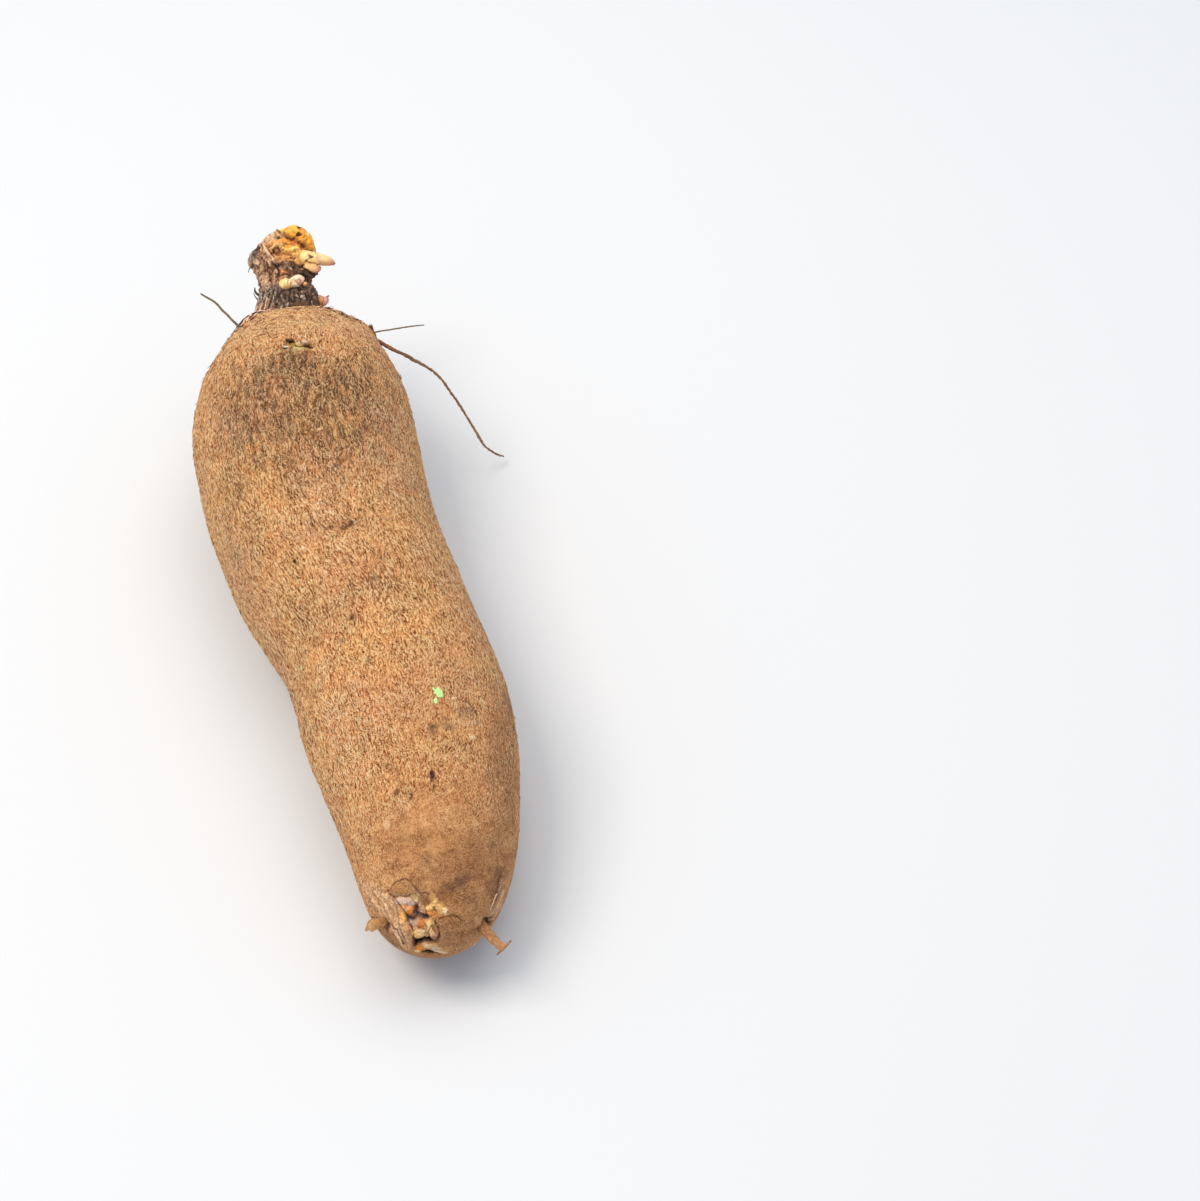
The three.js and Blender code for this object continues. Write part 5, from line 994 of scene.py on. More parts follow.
    ([(2.9, 174.6, 91.9), (4.1, 173.5, 90.2), (5.0, 172.6, 88.7), (7.2, 173.4, 85.8)], 0.36, -0.45, (110, 60, 22), 0.95, 0.35),
    ([(-2.4, 177.3, 94.5), (-1.7, 175.3, 93.9), (0.1, 174.5, 93.2), (1.2, 176.5, 93.5)], 0.36, -0.4, (92, 50, 24), 0.9, 0.35),
    ([(-9.5, 171.4, 91.8), (-8.7, 172.3, 92.4), (-7.3, 172.4, 92.8), (-6.1, 171.5, 92.6), (-5.9, 170.3, 92.0)], 0.45, 0.5, (255, 214, 152), 1, 0.35),
    ([(-9.3, 169.7, 90.9), (-9.2, 170.8, 91.5), (-8.0, 171.2, 92.2), (-6.9, 170.5, 92.1), (-6.8, 169.5, 91.5)], 0.41, -0.6, (78, 46, 30), 0.98, 0.3),
    ([(-5.3, 170.6, 92.3), (-3.7, 169.4, 91.5), (-1.7, 169.3, 91.1), (1.0, 170.4, 90.7)], 0.41, 0.4, (255, 206, 120), 1, 0.35),
    ([(-4.6, 172.7, 93.2), (-2.7, 171.8, 92.6), (-0.1, 172.1, 92.1)], 0.27, -0.35, (146, 88, 36), 0.95, 0.35),
    ([(-7.3, 167.2, 89.9), (-5.6, 166.1, 89.5), (-3.4, 166.4, 89.6)], 0.36, 0.35, (240, 184, 104), 0.95, 0.4),
    ([(-6.1, 168.7, 91.1), (-4.5, 167.5, 90.4), (-2.4, 167.2, 90.0)], 0.29, -0.45, (116, 72, 40), 0.95, 0.35),
    ([(-10.6, 179.9, 92.2), (-8.8, 182.0, 92.1), (-6.8, 181.5, 93.2), (-4.9, 179.3, 94.2)], 0.34, 0.05, (88, 58, 40), 0.95, 0.35),
    ([(-7.2, 179.9, 93.5), (-6.2, 177.3, 94.1), (-4.9, 175.1, 94.0)], 0.34, -0.55, (68, 40, 26), 0.98, 0.3),
    ([(-13.1, 177.8, 90.8), (-11.7, 178.0, 91.8), (-10.3, 178.7, 92.6)], 0.38, 0.35, (236, 198, 164), 0.95, 0.4),
    ([(-13.8, 178.1, 90.2), (-13.5, 174.5, 90.5), (-14.3, 173.0, 89.2)], 0.32, -0.4, (74, 50, 40), 0.95, 0.4),
    ([(-12.2, 175.3, 91.5), (-11.3, 173.5, 91.7), (-9.5, 172.6, 92.2)], 0.25, -0.4, (84, 56, 42), 0.95, 0.35),
    ([(-16.3, 173.0, 86.6), (-15.5, 169.9, 85.8), (-16.0, 168.8, 83.7)], 0.27, -0.4, (86, 62, 52), 0.9, 0.4),
    ([(-12.8, 168.2, 87.8), (-12.7, 166.5, 86.2), (-13.8, 165.3, 83.6)], 0.25, -0.4, (88, 60, 48), 0.9, 0.4),
    ([(-12.7, 175.1, 91.1), (-12.1, 172.2, 90.8), (-11.1, 169.3, 89.8), (-9.9, 167.0, 88.9)], 0.38, 0.45, (246, 212, 180), 0.95, 0.35),
    ([(-11.4, 172.9, 91.4), (-10.7, 170.0, 90.5), (-9.8, 167.9, 89.5)], 0.27, -0.5, (98, 64, 46), 0.95, 0.35),
    ([(-10.8, 164.5, 85.6), (-11.9, 163.4, 83.6), (-11.6, 160.3, 82.1)], 0.27, -0.4, (100, 70, 56), 0.9, 0.4),
    ([(-17.4, 168.4, 79.1), (-15.8, 166.9, 81.9), (-14.4, 166.1, 83.7)], 0.32, -0.4, (108, 72, 52), 0.9, 0.4),
    ([(-16.9, 165.6, 78.3), (-15.4, 164.5, 80.8), (-13.4, 163.6, 82.4)], 0.32, 0.3, (216, 182, 156), 0.85, 0.4),
    ([(-8.2, 164.6, 87.5), (-9.3, 163.6, 85.4), (-8.7, 161.2, 83.5)], 0.25, -0.4, (92, 60, 46), 0.9, 0.4),
    ([(-7.7, 163.7, 86.3), (-6.4, 163.1, 85.7), (-4.4, 163.0, 85.7), (-2.6, 162.7, 84.6)], 0.32, 0.3, (172, 138, 116), 0.85, 0.4),
    ([(-7.7, 161.3, 83.9), (-6.2, 161.5, 84.1), (-4.4, 161.2, 83.7)], 0.27, -0.4, (84, 58, 46), 0.9, 0.4),
    ([(-0.5, 163.5, 85.2), (0.8, 163.5, 83.5), (2.2, 163.9, 82.3)], 0.32, 0.35, (150, 124, 108), 0.9, 0.4),
    ([(3.1, 164.2, 80.6), (5.0, 165.9, 77.9), (7.1, 168.0, 75.2)], 0.32, 0.35, (132, 106, 92), 0.9, 0.4),
    ([(-0.8, 162.8, 83.4), (1.0, 162.4, 81.8), (2.9, 163.1, 80.0)], 0.32, -0.4, (46, 34, 30), 0.95, 0.35),
]
SHOOT_BLOBS = [
    (6.7, 165.1, 88.3, 0.68, 0.45, 10, -0.6, (74, 44, 18), 1, 0.3),
    (6.0, 165.7, 88.6, 0.50, 0.27, 30, -0.4, (104, 66, 26), 0.95, 0.4),
    (4.0, 164.3, 87.5, 0.45, 0.32, 0, -0.3, (132, 86, 36), 0.9, 0.4),
    (0.8, 166.9, 89.0, 1.17, 1.17, 0, 0, (255, 240, 176), 0.7, 0.6),
    (-1.3, 166.5, 88.5, 0.90, 1.17, 0, 0, (246, 180, 96), 0.6, 0.6),
    (6.0, 163.9, 87.4, 0.90, 0.45, 10, 0.1, (250, 216, 130), 0.8, 0.5),
    (9.8, 164.2, 87.9, 0.99, 1.44, 0, 0, (238, 204, 178), 0.6, 0.6),
    (12.0, 163.9, 87.8, 1.08, 1.17, 0, 0.0, (254, 228, 158), 0.6, 0.6),
]
SHOOT_LINES = [
    ([(5.5, 166.3, 88.9), (6.3, 165.7, 88.5), (7.4, 165.0, 88.2)], 0.25, -0.5, (88, 54, 20), 1, 0.4),
    ([(7.1, 164.8, 88.1), (5.4, 164.8, 87.9), (3.6, 164.2, 87.5)], 0.23, -0.4, (120, 76, 30), 0.95, 0.4),
    ([(3.6, 164.1, 87.4), (5.4, 163.4, 87.1), (7.8, 162.5, 86.7), (9.7, 161.4, 86.1)], 0.25, -0.5, (104, 56, 32), 0.95, 0.4),
    ([(3.9, 167.9, 89.8), (5.7, 167.0, 89.3), (7.8, 166.3, 89.0)], 0.23, -0.1, (222, 170, 84), 0.6, 0.5),
]
BUD_BLOBS = [
    (-1.8, 156.1, 83.7, 0.68, 0.32, -20, -0.5, (196, 140, 70), 0.9, 0.4),
    (-3.1, 155.0, 82.9, 0.81, 0.54, 10, 0.3, (255, 244, 228), 0.9, 0.5),
    (-0.3, 155.0, 83.1, 1.08, 0.63, -20, -0.1, (206, 156, 112), 0.75, 0.5),
    (-0.7, 157.3, 84.5, 1.08, 0.54, 15, 0.2, (255, 240, 226), 0.8, 0.5),
    (-6.4, 156.1, 83.4, 0.72, 1.08, 10, 0.2, (255, 244, 190), 0.8, 0.5),
    (-7.7, 155.3, 82.8, 0.63, 0.72, 0, 0.1, (252, 234, 160), 0.8, 0.5),
    (-5.7, 153.8, 82.0, 1.17, 0.45, 5, -0.1, (214, 184, 84), 0.8, 0.5),
]
BUD_LINES = [
    ([(-3.3, 155.7, 83.4), (-3.0, 156.7, 84.0), (-1.9, 157.0, 84.2), (-0.6, 156.5, 84.0), (-0.0, 155.7, 83.6)], 0.19, -0.5, (190, 130, 70), 0.9, 0.4),
    ([(-2.6, 155.7, 83.4), (-1.5, 155.4, 83.3), (-1.0, 154.6, 82.8)], 0.18, -0.4, (176, 118, 66), 0.9, 0.4),
    ([(-4.0, 157.4, 84.4), (-4.1, 155.8, 83.3), (-4.8, 154.1, 82.2)], 0.27, -0.5, (204, 168, 62), 0.95, 0.4),
    ([(-6.4, 157.5, 84.3), (-7.0, 156.6, 83.7), (-7.1, 155.2, 82.8), (-6.5, 154.1, 82.2)], 0.18, -0.4, (206, 160, 70), 0.9, 0.4),
    ([(-5.4, 157.2, 84.1), (-5.3, 155.8, 83.3), (-5.8, 154.5, 82.4)], 0.18, -0.4, (220, 180, 86), 0.85, 0.4),
]

tuber_s, tuber_th, tuber_tris = build_tuber()
smooth_skin = tuber_surface(tuber_s, tuber_th)
tuber_tris = face_out(smooth_skin, tuber_tris)
_round = np.stack([np.cos(tuber_th), np.sin(tuber_th)], 1)
smooth_skin, tuber_tris, (tuber_s, _round) = refine(
    smooth_skin, tuber_tris, [tuber_s, _round], lambda q: detail_target(q, BLOBS, LINES, 5.0), 3
)
skin_normal = vertex_normals(smooth_skin, tuber_tris)
# Direction of the bark's fibres: along the tuber, from the crown to the tip.
_pole_th = np.arctan2(_round[:, 1], _round[:, 0])
_ds = 0.0015
ahead = tuber_surface(np.clip(tuber_s + _ds, 0.0005, 0.9995), _pole_th)
behind = tuber_surface(np.clip(tuber_s - _ds, 0.0005, 0.9995), _pole_th)
fibre = unit(ahead - behind)
fibre = unit(fibre - skin_normal * np.einsum("ij,ij->i", fibre, skin_normal)[:, None])
shoulder = smooth(0.15, 0.03, tuber_s)
wander = 0.34 * fractal(smooth_skin, 9.0, 31, 2) + 0.30 * fractal(smooth_skin, 4.0, 33, 2)
# Round the crown the wrinkles turn away from it, most of all on the left.
wander += shoulder * (0.5 * fractal(smooth_skin, 8.0, 37, 2) + 1.15 * smooth(22, -22, smooth_skin[:, 0]))
across = np.cross(skin_normal, fibre)
fibre = unit(fibre * np.cos(wander)[:, None] + across * np.sin(wander)[:, None])

tip_zone = smooth(0.77, 0.92, tuber_s + 0.035 * fractal(smooth_skin, 13.0, 41, 3))
# The left flank stays rough down to the tip, the lower middle is calmer.
left_flank = smooth(4, 20, -smooth_skin[:, 0]) * smooth(-157, -147, smooth_skin[:, 1])
tip_zone = np.maximum(tip_zone * (1 - 0.50 * left_flank), 0.42 * smooth(45, 90, -smooth_skin[:, 1]) * smooth(-14, 10, smooth_skin[:, 0]))
tip_zone = tip_zone - 0.20 * smooth(8, 26, -smooth_skin[:, 0] + 0.10 * smooth_skin[:, 1]) * (1 - tip_zone)
grain = streaks(smooth_skin, fibre, 1.35, 1.7, 3, 5)
grain_wide = streaks(smooth_skin, fibre, 2.6, 4.0, 7)
lumps = fractal(smooth_skin, 9.0, 11, 3)
calm = 1 - 0.80 * tip_zone
relief = 0.13 * np.tanh(1.4 * grain) * calm + 0.10 * grain_wide * calm + 0.15 * lumps
relief += 0.08 * fractal(smooth_skin, 2.2, 13, 2) * (1 - 0.5 * tip_zone)
# Rough broken flesh in the wound.
torn = np.exp(-0.5 * (((smooth_skin - [-0.5, -160.5, 41.0]) ** 2).sum(1) / 5.5**2) ** 1.6)
relief += torn * (0.32 * fractal(smooth_skin, 1.5, 15, 3, 0.6) - 0.35 * np.abs(noise3(smooth_skin / 2.6, 19)))

paint = np.zeros((len(smooth_skin), 3))
alpha = np.zeros(len(smooth_skin))
raised = np.zeros(len(smooth_skin))
lay_marks(smooth_skin, BLOBS, LINES, paint, alpha, raised)
spread_colours(paint, alpha, tuber_tris)
# The wound is soiled: brown crumbs and corky cream bits all over it.
soiled = torn * smooth(0.0, 0.6, fractal(smooth_skin, 1.1, 171, 3, 0.7))
paint += (linear((134, 92, 62)) - paint) * (0.40 * soiled)[:, None]
paint += (linear((186, 142, 102)) - paint) * (0.08 * torn)[:, None]
paint *= 1 + torn[:, None] * np.array([0.07, -0.03, -0.17])
bits = torn * smooth(0.35, 0.75, fractal(smooth_skin, 1.0, 175, 2))
paint += (linear((244, 204, 150)) - paint) * (0.5 * bits)[:, None]
skin_points = smooth_skin + skin_normal * (relief + raised)[:, None]
# The underside is pressed flat where the yam lies.
z = skin_points[:, 2]
skin_points[:, 2] = np.where(z > 0.3, z, np.where(z < -0.3, 0.0, (z + 0.3) ** 2 / 1.2))

patch = np.zeros(len(smooth_skin))
_wobble = 0.35 * fractal(smooth_skin, 11.0, 51, 3)
for row in PATCHES:
    d, depth = blob_distance(smooth_skin, row)
    m = row[6] * smooth(1.35, 0.35, d + _wobble) * smooth(60, 40, depth)
    patch = patch + m * (1 - patch)
# The hidden underside and flanks carry a few such patches too.
patch = np.maximum(patch, 0.45 * smooth(0.35, 0.95, fractal(smooth_skin, 26.0, 57, 3)) * smooth(45, 25, smooth_skin[:, 2]))

tuber = make_object("tuber_skin", skin_points, tuber_tris, {
    "fibre_dir": fibre,
    "patch": patch,
    "tone": 0.5 + 0.5 * np.clip(fractal(smooth_skin, 34.0, 61, 3), -1, 1),
    "tip": tip_zone,
    "crownward": shoulder,
    "relief": 0.5 + 0.5 * np.tanh(1.2 * grain),
    "paint": paint,
    "mark": alpha,
})
print("tuber triangles", len(tuber_tris), "points", len(skin_points))

# ------------------------------------------------------------------ crown

CROWN_BASE = np.array([-6.46, 156.05, 66.83])
CROWN_A = unit([0.09, 0.84, 0.53])
CROWN_U = unit([CROWN_A[1], -CROWN_A[0], 0.0])
CROWN_V = np.cross(CROWN_U, CROWN_A)
CROWN_PROFILE = np.array([
    (-9.0, 0.0, 15.2), (-4.0, 0.0, 14.8), (0.0, 0.0, 14.4), (3.0, 0.0, 13.9), (6.0, 0.1, 13.2), (10.0, -0.4, 12.4),
    (12.5, -0.9, 11.7), (15.0, -1.1, 11.8), (18.0, 0.0, 13.3), (20.0, -0.1, 13.8), (23.0, -0.4, 13.9), (26.0, -0.6, 13.8),
    (28.0, -0.5, 13.5), (30.0, 0.0, 13.1), (33.0, 0.8, 12.0), (36.0, 2.2, 9.7), (38.0, 3.0, 7.4), (39.6, 4.4, 4.9),
    (41.0, 4.7, 2.4),
])
CROWN_TIP = (41.8, 4.7)


def from_crown(v, u, a):
    """Point of the crown's own frame: outwards, right, along."""
    v, u, a = np.broadcast_arrays(np.asarray(v, float), np.asarray(u, float), np.asarray(a, float))
    return CROWN_BASE + v[..., None] * CROWN_V + u[..., None] * CROWN_U + a[..., None] * CROWN_A


def smooth_rows(rows, count):
    """Catmull-Rom through rows of numbers, count points evenly in the parameter."""
    rows = np.asarray(rows, float)
    n = len(rows) - 1
    padded = np.vstack([2 * rows[0] - rows[1], rows, 2 * rows[n] - rows[n - 1]])
    x = np.linspace(0, n, count)
    i = np.minimum(np.floor(x).astype(int), n - 1)
    t = (x - i)[:, None]
    a, b, c, d = padded[i], padded[i + 1], padded[i + 2], padded[i + 3]
    return 0.5 * (2 * b + (c - a) * t + (2 * a - 5 * b + 4 * c - d) * t * t + (3 * b - a - 3 * c + d) * t**3)


def closed_grid(points, start, end):
    """Triangles over rings (rings, sides, 3) with a point at each end."""
    rings, sides, _ = points.shape
    verts = np.vstack([[start], points.reshape(-1, 3), [end]])
    j = np.arange(sides)
    k = (j + 1) % sides
    tris = [np.stack([np.zeros_like(j), 1 + k, 1 + j], 1)]
    for i in range(rings - 1):
        a, b = 1 + i * sides + j, 1 + i * sides + k
        tris += [np.stack([a, b, a + sides], 1), np.stack([b, b + sides, a + sides], 1)]
    last, r = 1 + rings * sides, 1 + (rings - 1) * sides
    tris.append(np.stack([np.full_like(j, last), r + j, r + k], 1))
    return verts, face_out(verts, np.vstack(tris))


def build_crown():
    sides = 288
    rows = smooth_rows(CROWN_PROFILE, 1500)
    rows = rows[rows[:, 0] > -6.5]
    step = np.linalg.norm(np.diff(rows[:, [0, 2]], axis=0), axis=1)
    arc = np.concatenate([[0], np.cumsum(step)])
    count = int(arc[-1] / 0.27)
    at = np.linspace(0, arc[-1], count)
    a, shift, r = (np.interp(at, arc, rows[:, k]) for k in range(3))
    th = np.linspace(0, 2 * np.pi, sides, endpoint=False)
    A, TH = np.meshgrid(a, th, indexing="ij")
    fade = np.clip((A + 9) / 12, 0, 1) * np.clip((42 - A) / 8, 0, 1)
    R = r[:, None] + fade * (0.35 * np.sin(3 * TH + 0.31 * A) + 0.30 * np.sin(5 * TH - 0.45 * A + 1.3))
    R = R + 2.2 * np.exp(-0.5 * (((A - 24.6) / 2.6) ** 2 + ((TH - np.pi) / 0.30) ** 2))
    pts = from_crown(R * np.sin(TH), shift[:, None] + R * np.cos(TH), A)
    verts, tris = closed_grid(pts, from_crown(0, shift[0], a[0] - 0.5), from_crown(0, CROWN_TIP[1], CROWN_TIP[0]))
    return verts, tris


crown_p, crown_t = build_crown()
crown_n = vertex_normals(crown_p, crown_t)
local = crown_p - CROWN_BASE
cu, cv, ca = local @ CROWN_U, local @ CROWN_V, local @ CROWN_A
swirl = unit(CROWN_A + 0.28 * np.cross(crown_n, CROWN_A) * (-np.sign(cu) * smooth(2, 9, np.abs(cu)))[:, None] + 0.30 * np.stack([noise3(crown_p / 6, s) for s in (81, 82, 83)], 1))
swirl = unit(swirl - crown_n * np.einsum("ij,ij->i", swirl, crown_n)[:, None])
ridge = streaks(crown_p, swirl, 1.15, 4.0, 91, 7)
ridge_wide = streaks(crown_p, swirl, 2.6, 6.0, 92, 5)
knobs = fractal(crown_p, 4.2, 93, 3)
lumpy = fractal(crown_p, 2.1, 102, 2)
billow = 1 - 2 * np.abs(fractal(crown_p, 6.2, 94, 2, 0.4))
crust = fractal(crown_p, 1.1, 95, 3, 0.6)
fold_a, fold_b = streaks(crown_p, swirl, 2.3, 3.2, 103, 4), fractal(crown_p, 1.7, 104, 2)
groove_a, groove_b = np.exp(-((fold_a / 0.11) ** 2)), np.exp(-((fold_b / 0.13) ** 2))
groove_shade_mask = np.clip(0.75 * groove_a + 0.50 * groove_b, 0, 1)
calm = np.exp(-(((cu - 2.5) / 8.5) ** 2)) * smooth(17.5, 20.5, ca) * smooth(32, 28, ca) * smooth(0, 4, cv)
groove_shade_mask *= 1 - 0.65 * calm
groove_a, groove_b, lumpy, crust = groove_a * (1 - 0.6 * calm), groove_b * (1 - 0.7 * calm), lumpy * (1 - 0.5 * calm), crust * (1 - 0.4 * calm)
collar = smooth(9.5, 6.0, ca + 1.8 * fractal(crown_p, 4.0, 96, 2) - 0.10 * cu)
flesh_from = 31.5 - 6.5 * np.clip(cu / 13, 0, 1) + 6.0 * np.clip(-cu / 9, 0, 1)
flesh = smooth(-1.2, 1.2, ca - flesh_from + 2.6 * fractal(crown_p, 4.0, 97, 3))
bark = (1 - collar) * (1 - flesh)

height = bark * (0.26 * ridge + 0.22 * ridge_wide + 0.45 * knobs + 0.40 * lumpy - 0.70 * groove_a - 0.36 * groove_b + 0.20 * crust)
height += collar * (0.30 * np.tanh(1.3 * ridge) + 0.25 * ridge_wide + 0.55 * knobs + 0.60 * lumpy - 0.50 * groove_a - 0.35 * groove_b + 0.22 * crust + 0.2)
height += flesh * (0.85 * (billow - 0.35) + 0.30 * lumpy + 0.55 * knobs - 0.30 * groove_a + 0.12 * crust - 0.45)

bark_low, bark_mid, bark_high = linear((112, 78, 56)), linear((200, 158, 126)), linear((255, 228, 200))
collar_low, collar_mid, collar_high = linear((48, 34, 27)), linear((138, 112, 94)), linear((240, 220, 204))
flesh_low, flesh_mid, flesh_high = linear((140, 76, 22)), linear((230, 162, 68)), linear((255, 228, 142))


def three(low_c, mid_c, high_c, x):
    x = np.clip(x, 0, 1)[:, None]
    return np.where(x < 0.5, low_c + (mid_c - low_c) * 2 * x, mid_c + (high_c - mid_c) * (2 * x - 1))


crown_paint = (
    three(bark_low, bark_mid, bark_high, 0.50 + 0.34 * ridge + 0.28 * crust + 0.26 * lumpy) * bark[:, None]
    + three(collar_low, collar_mid, collar_high, 0.38 + 0.36 * ridge + 0.30 * crust + 0.26 * lumpy) * collar[:, None]
    + three(flesh_low, flesh_mid, flesh_high, 0.48 + 0.52 * (billow - 0.3) + 0.18 * crust + 0.22 * knobs) * flesh[:, None]
)
# Bare bark carries warm brown and grey clouds, and painted shade darkens the grooves.
cloud = smooth(-0.6, 0.9, fractal(crown_p, 6.5, 98, 3))[:, None]
crown_paint = crown_paint * (0.86 + 0.28 * cloud * np.array([1.08, 0.98, 0.88]))
groove_shade_colour = np.where((flesh > 0.5)[:, None], linear((132, 64, 14)), linear((80, 50, 36)))
crown_alpha = np.ones(len(crown_p))
crown_raised = np.zeros(len(crown_p))
lay_marks(crown_p, CROWN_BLOBS, CROWN_LINES, crown_paint, crown_alpha, crown_raised, 0.30)
# Painted shade: the grooves and hollows of the bark and flesh are darkened towards warm brown.
groove_shade_share = 0.66 * groove_shade_mask * (1 - 0.45 * flesh)
crown_paint = crown_paint * (1 - groove_shade_share[:, None]) + groove_shade_colour * groove_shade_share[:, None]
crown_paint *= (1 + 0.22 * np.clip(crust + 0.5 * lumpy, -1, 1))[:, None] * (np.array([1.05, 0.985, 0.88]) + flesh[:, None] * np.array([0.0, 0.055, 0.08])) * (1.09 - 0.05 * flesh[:, None])
crown_points = crown_p + crown_n * (height + 1.25 * crown_raised)[:, None]
# The top has settled a little below its first rounding.
crown_points -= CROWN_A * (1.35 * smooth(17, 31, ca))[:, None]
wet = np.clip((crown_paint[:, 0] - crown_paint[:, 2]) * 2.2, 0, 1)
crown = make_object("crown_bark", crown_points, crown_t, {
    "paint": np.clip(crown_paint, 0.003, 1), "wet": wet,
})
print("crown triangles", len(crown_t))


# ------------------------------------------------------------ small pieces


def frames_along(points):
    """Tangent and two crossways directions that turn as little as possible."""
    t = unit(np.gradient(points, axis=0))
    u = np.cross(t[0], [0.3, 0.2, 0.9])
    us = [unit(u)]
    for k in range(1, len(points)):
        v = us[-1] - t[k] * (us[-1] @ t[k])
        us.append(unit(v))
    us = np.array(us)
    return t, us, np.cross(t, us)


def tube(rows, sides, steps, bumps=None, flat=1.0, wide=None, cap=0.7):
    """Closed tapering rod through rows of x, y, z, radius. bumps(t, angle, points)
    adds to the radius. Returns points, triangles and where along it they are."""
    rows = smooth_rows(rows, steps)
    centre, radius = rows[:, :3], np.maximum(rows[:, 3], 0.05)
    t, u, v = frames_along(centre)
    if wide is not None:
        u = unit(np.asarray(wide) - t * (t @ np.asarray(wide))[:, None])
        v = np.cross(t, u)
    q = np.linspace(0, 2 * np.pi, sides, endpoint=False)
    along = np.linspace(0, 1, steps)
    T, Q = np.meshgrid(along, q, indexing="ij")
    R = np.repeat(radius[:, None], sides, 1)
    ring = u[:, None, :] * np.cos(Q)[..., None] + flat * v[:, None, :] * np.sin(Q)[..., None]
    pts = centre[:, None, :] + ring * R[..., None]
    if bumps is not None:
        extra = bumps(T.ravel(), Q.ravel(), pts.reshape(-1, 3)).reshape(T.shape)
        pts = centre[:, None, :] + ring * (R + extra)[..., None]
    start = centre[0] - t[0] * cap * flat * radius[0]
    end = centre[-1] + t[-1] * cap * flat * radius[-1]
    verts, tris = closed_grid(pts, start, end)
    return verts, tris, np.concatenate([[0], T.ravel(), [1]]), np.concatenate([[0], Q.ravel(), [0]])


class Heap:
    """Several closed shapes gathered into one mesh with their attributes."""

    def __init__(self):
        self.v, self.t, self.a, self.n = [], [], {}, 0

    def add(self, verts, tris, **attributes):
        self.v.append(verts)
        self.t.append(np.asarray(tris) + self.n)
        self.n += len(verts)
        for key, value in attributes.items():
            value = np.asarray(value, float)
            if value.ndim == 0 or (value.ndim == 1 and len(value) == 3 and len(verts) != 3):
                value = np.repeat(value[None], len(verts), 0)
            self.a.setdefault(key, []).append(value)

    def make(self, name):
        return make_object(name, np.vstack(self.v), np.vstack(self.t), {k: np.concatenate(v) for k, v in self.a.items()})


def flake(base, along, out, length, width, thick, curl=0.0, twist=0.0, n=7, taper=1.0, rng=None, blunt=0.15):
    """A thin closed sliver of bark: rises from base along a direction, with its
    flat side facing out, and curls away from the surface."""
    along, out = unit(along), unit(out)
    side = unit(np.cross(along, out))
    out = np.cross(side, along)
    verts, tris = [], []
    t = np.linspace(0, 1, n)
    half = 0.5 * width * (np.sin(np.pi * (blunt + (1 - 2 * blunt) * t**taper)) ** 0.7)
    if rng is not None:
        half = half * (1 + rng.uniform(-0.22, 0.22, n))
        sway = np.cumsum(rng.uniform(-0.12, 0.12, n)) * width
    else:
        sway = np.zeros(n)
    for k in range(n):
        c = base + along * length * t[k] + out * (curl * length * t[k] ** 2) + side * sway[k]
        w = side * math.cos(twist * t[k]) + out * math.sin(twist * t[k])
        o = np.cross(w, along)
        th = 0.5 * thick * (1 - 0.5 * t[k])
        verts += [c - w * half[k], c + o * th * -1.0, c + w * half[k], c + o * th]
    s, e = len(verts), len(verts) + 1
    verts += [base - along * 0.15 * width, base + along * length * 1.03 + out * curl * length + side * sway[-1]]
    for k in range(n - 1):
        for j in range(4):
            a, b = 4 * k + j, 4 * k + (j + 1) % 4
            tris += [(a, b, a + 4), (b, b + 4, a + 4)]
    for j in range(4):
        tris += [(s, (j + 1) % 4, j), (e, 4 * (n - 1) + j, 4 * (n - 1) + (j + 1) % 4)]
    verts, tris = np.array(verts), np.array(tris)
    return verts, face_out(verts, tris), np.concatenate([np.repeat(t, 4), [0, 1]])


rng = np.random.default_rng(11)

def crown_at(th, a, lift=0.0):
    """Point on the crown's bark and the direction out of it."""
    r = np.interp(a, CROWN_PROFILE[:, 0], CROWN_PROFILE[:, 2]) + lift
    out = CROWN_V * math.sin(th) + CROWN_U * math.cos(th)
    return from_crown(r * math.sin(th), np.interp(a, CROWN_PROFILE[:, 0], CROWN_PROFILE[:, 1]) + r * math.cos(th), a), out


def on_skin(p):
    k = int(np.argmin(((smooth_skin - p) ** 2).sum(1)))
    return skin_points[k], skin_normal[k], fibre[k], k


def scale_piece(heap, base, along, out, length, width, thick, curl, twist, dark, tip_colour, n=6):
    v, t, s = flake(base, along, out, length, width, thick, curl, twist, n, 1.0, rng)
    c = dark + (tip_colour - dark) * (s[:, None] ** 1.6)
    heap.add(v, t, paint=np.clip(c, 0.004, 1), wet=np.zeros(len(v)))


GREY_TIP, WARM_TIP = linear((226, 212, 198)), linear((214, 168, 130))
# Ragged bark scales of the collar round the foot of the crown.
scales = Heap()
for k in range(230):
    th = rng.uniform(0, 2 * np.pi)
    a0 = rng.uniform(-1.0, 7.5)
    base, outward = crown_at(th, a0, rng.uniform(-0.1, 0.5))
    around = np.cross(CROWN_A, outward)
    along = CROWN_A * (1.0 if rng.random() < 0.6 else -1.0) + around * rng.normal(0.25, 0.8) + outward * rng.uniform(-0.05, 0.22)
    shade_at = rng.random()
    dark = linear((62, 48, 42)) if shade_at < 0.42 else (linear((116, 90, 74)) if shade_at < 0.80 else linear((178, 154, 136)))
    light = dark + ((GREY_TIP if rng.random() < 0.6 else WARM_TIP) - dark) * (0.8 if rng.random() < 0.35 else 0.2)
    scale_piece(scales, base - outward * 0.2, along, outward, rng.uniform(1.3, 3.0), rng.uniform(0.8, 1.9), 0.42, rng.uniform(-0.1, 0.12), rng.normal(0, 0.6), dark, light)
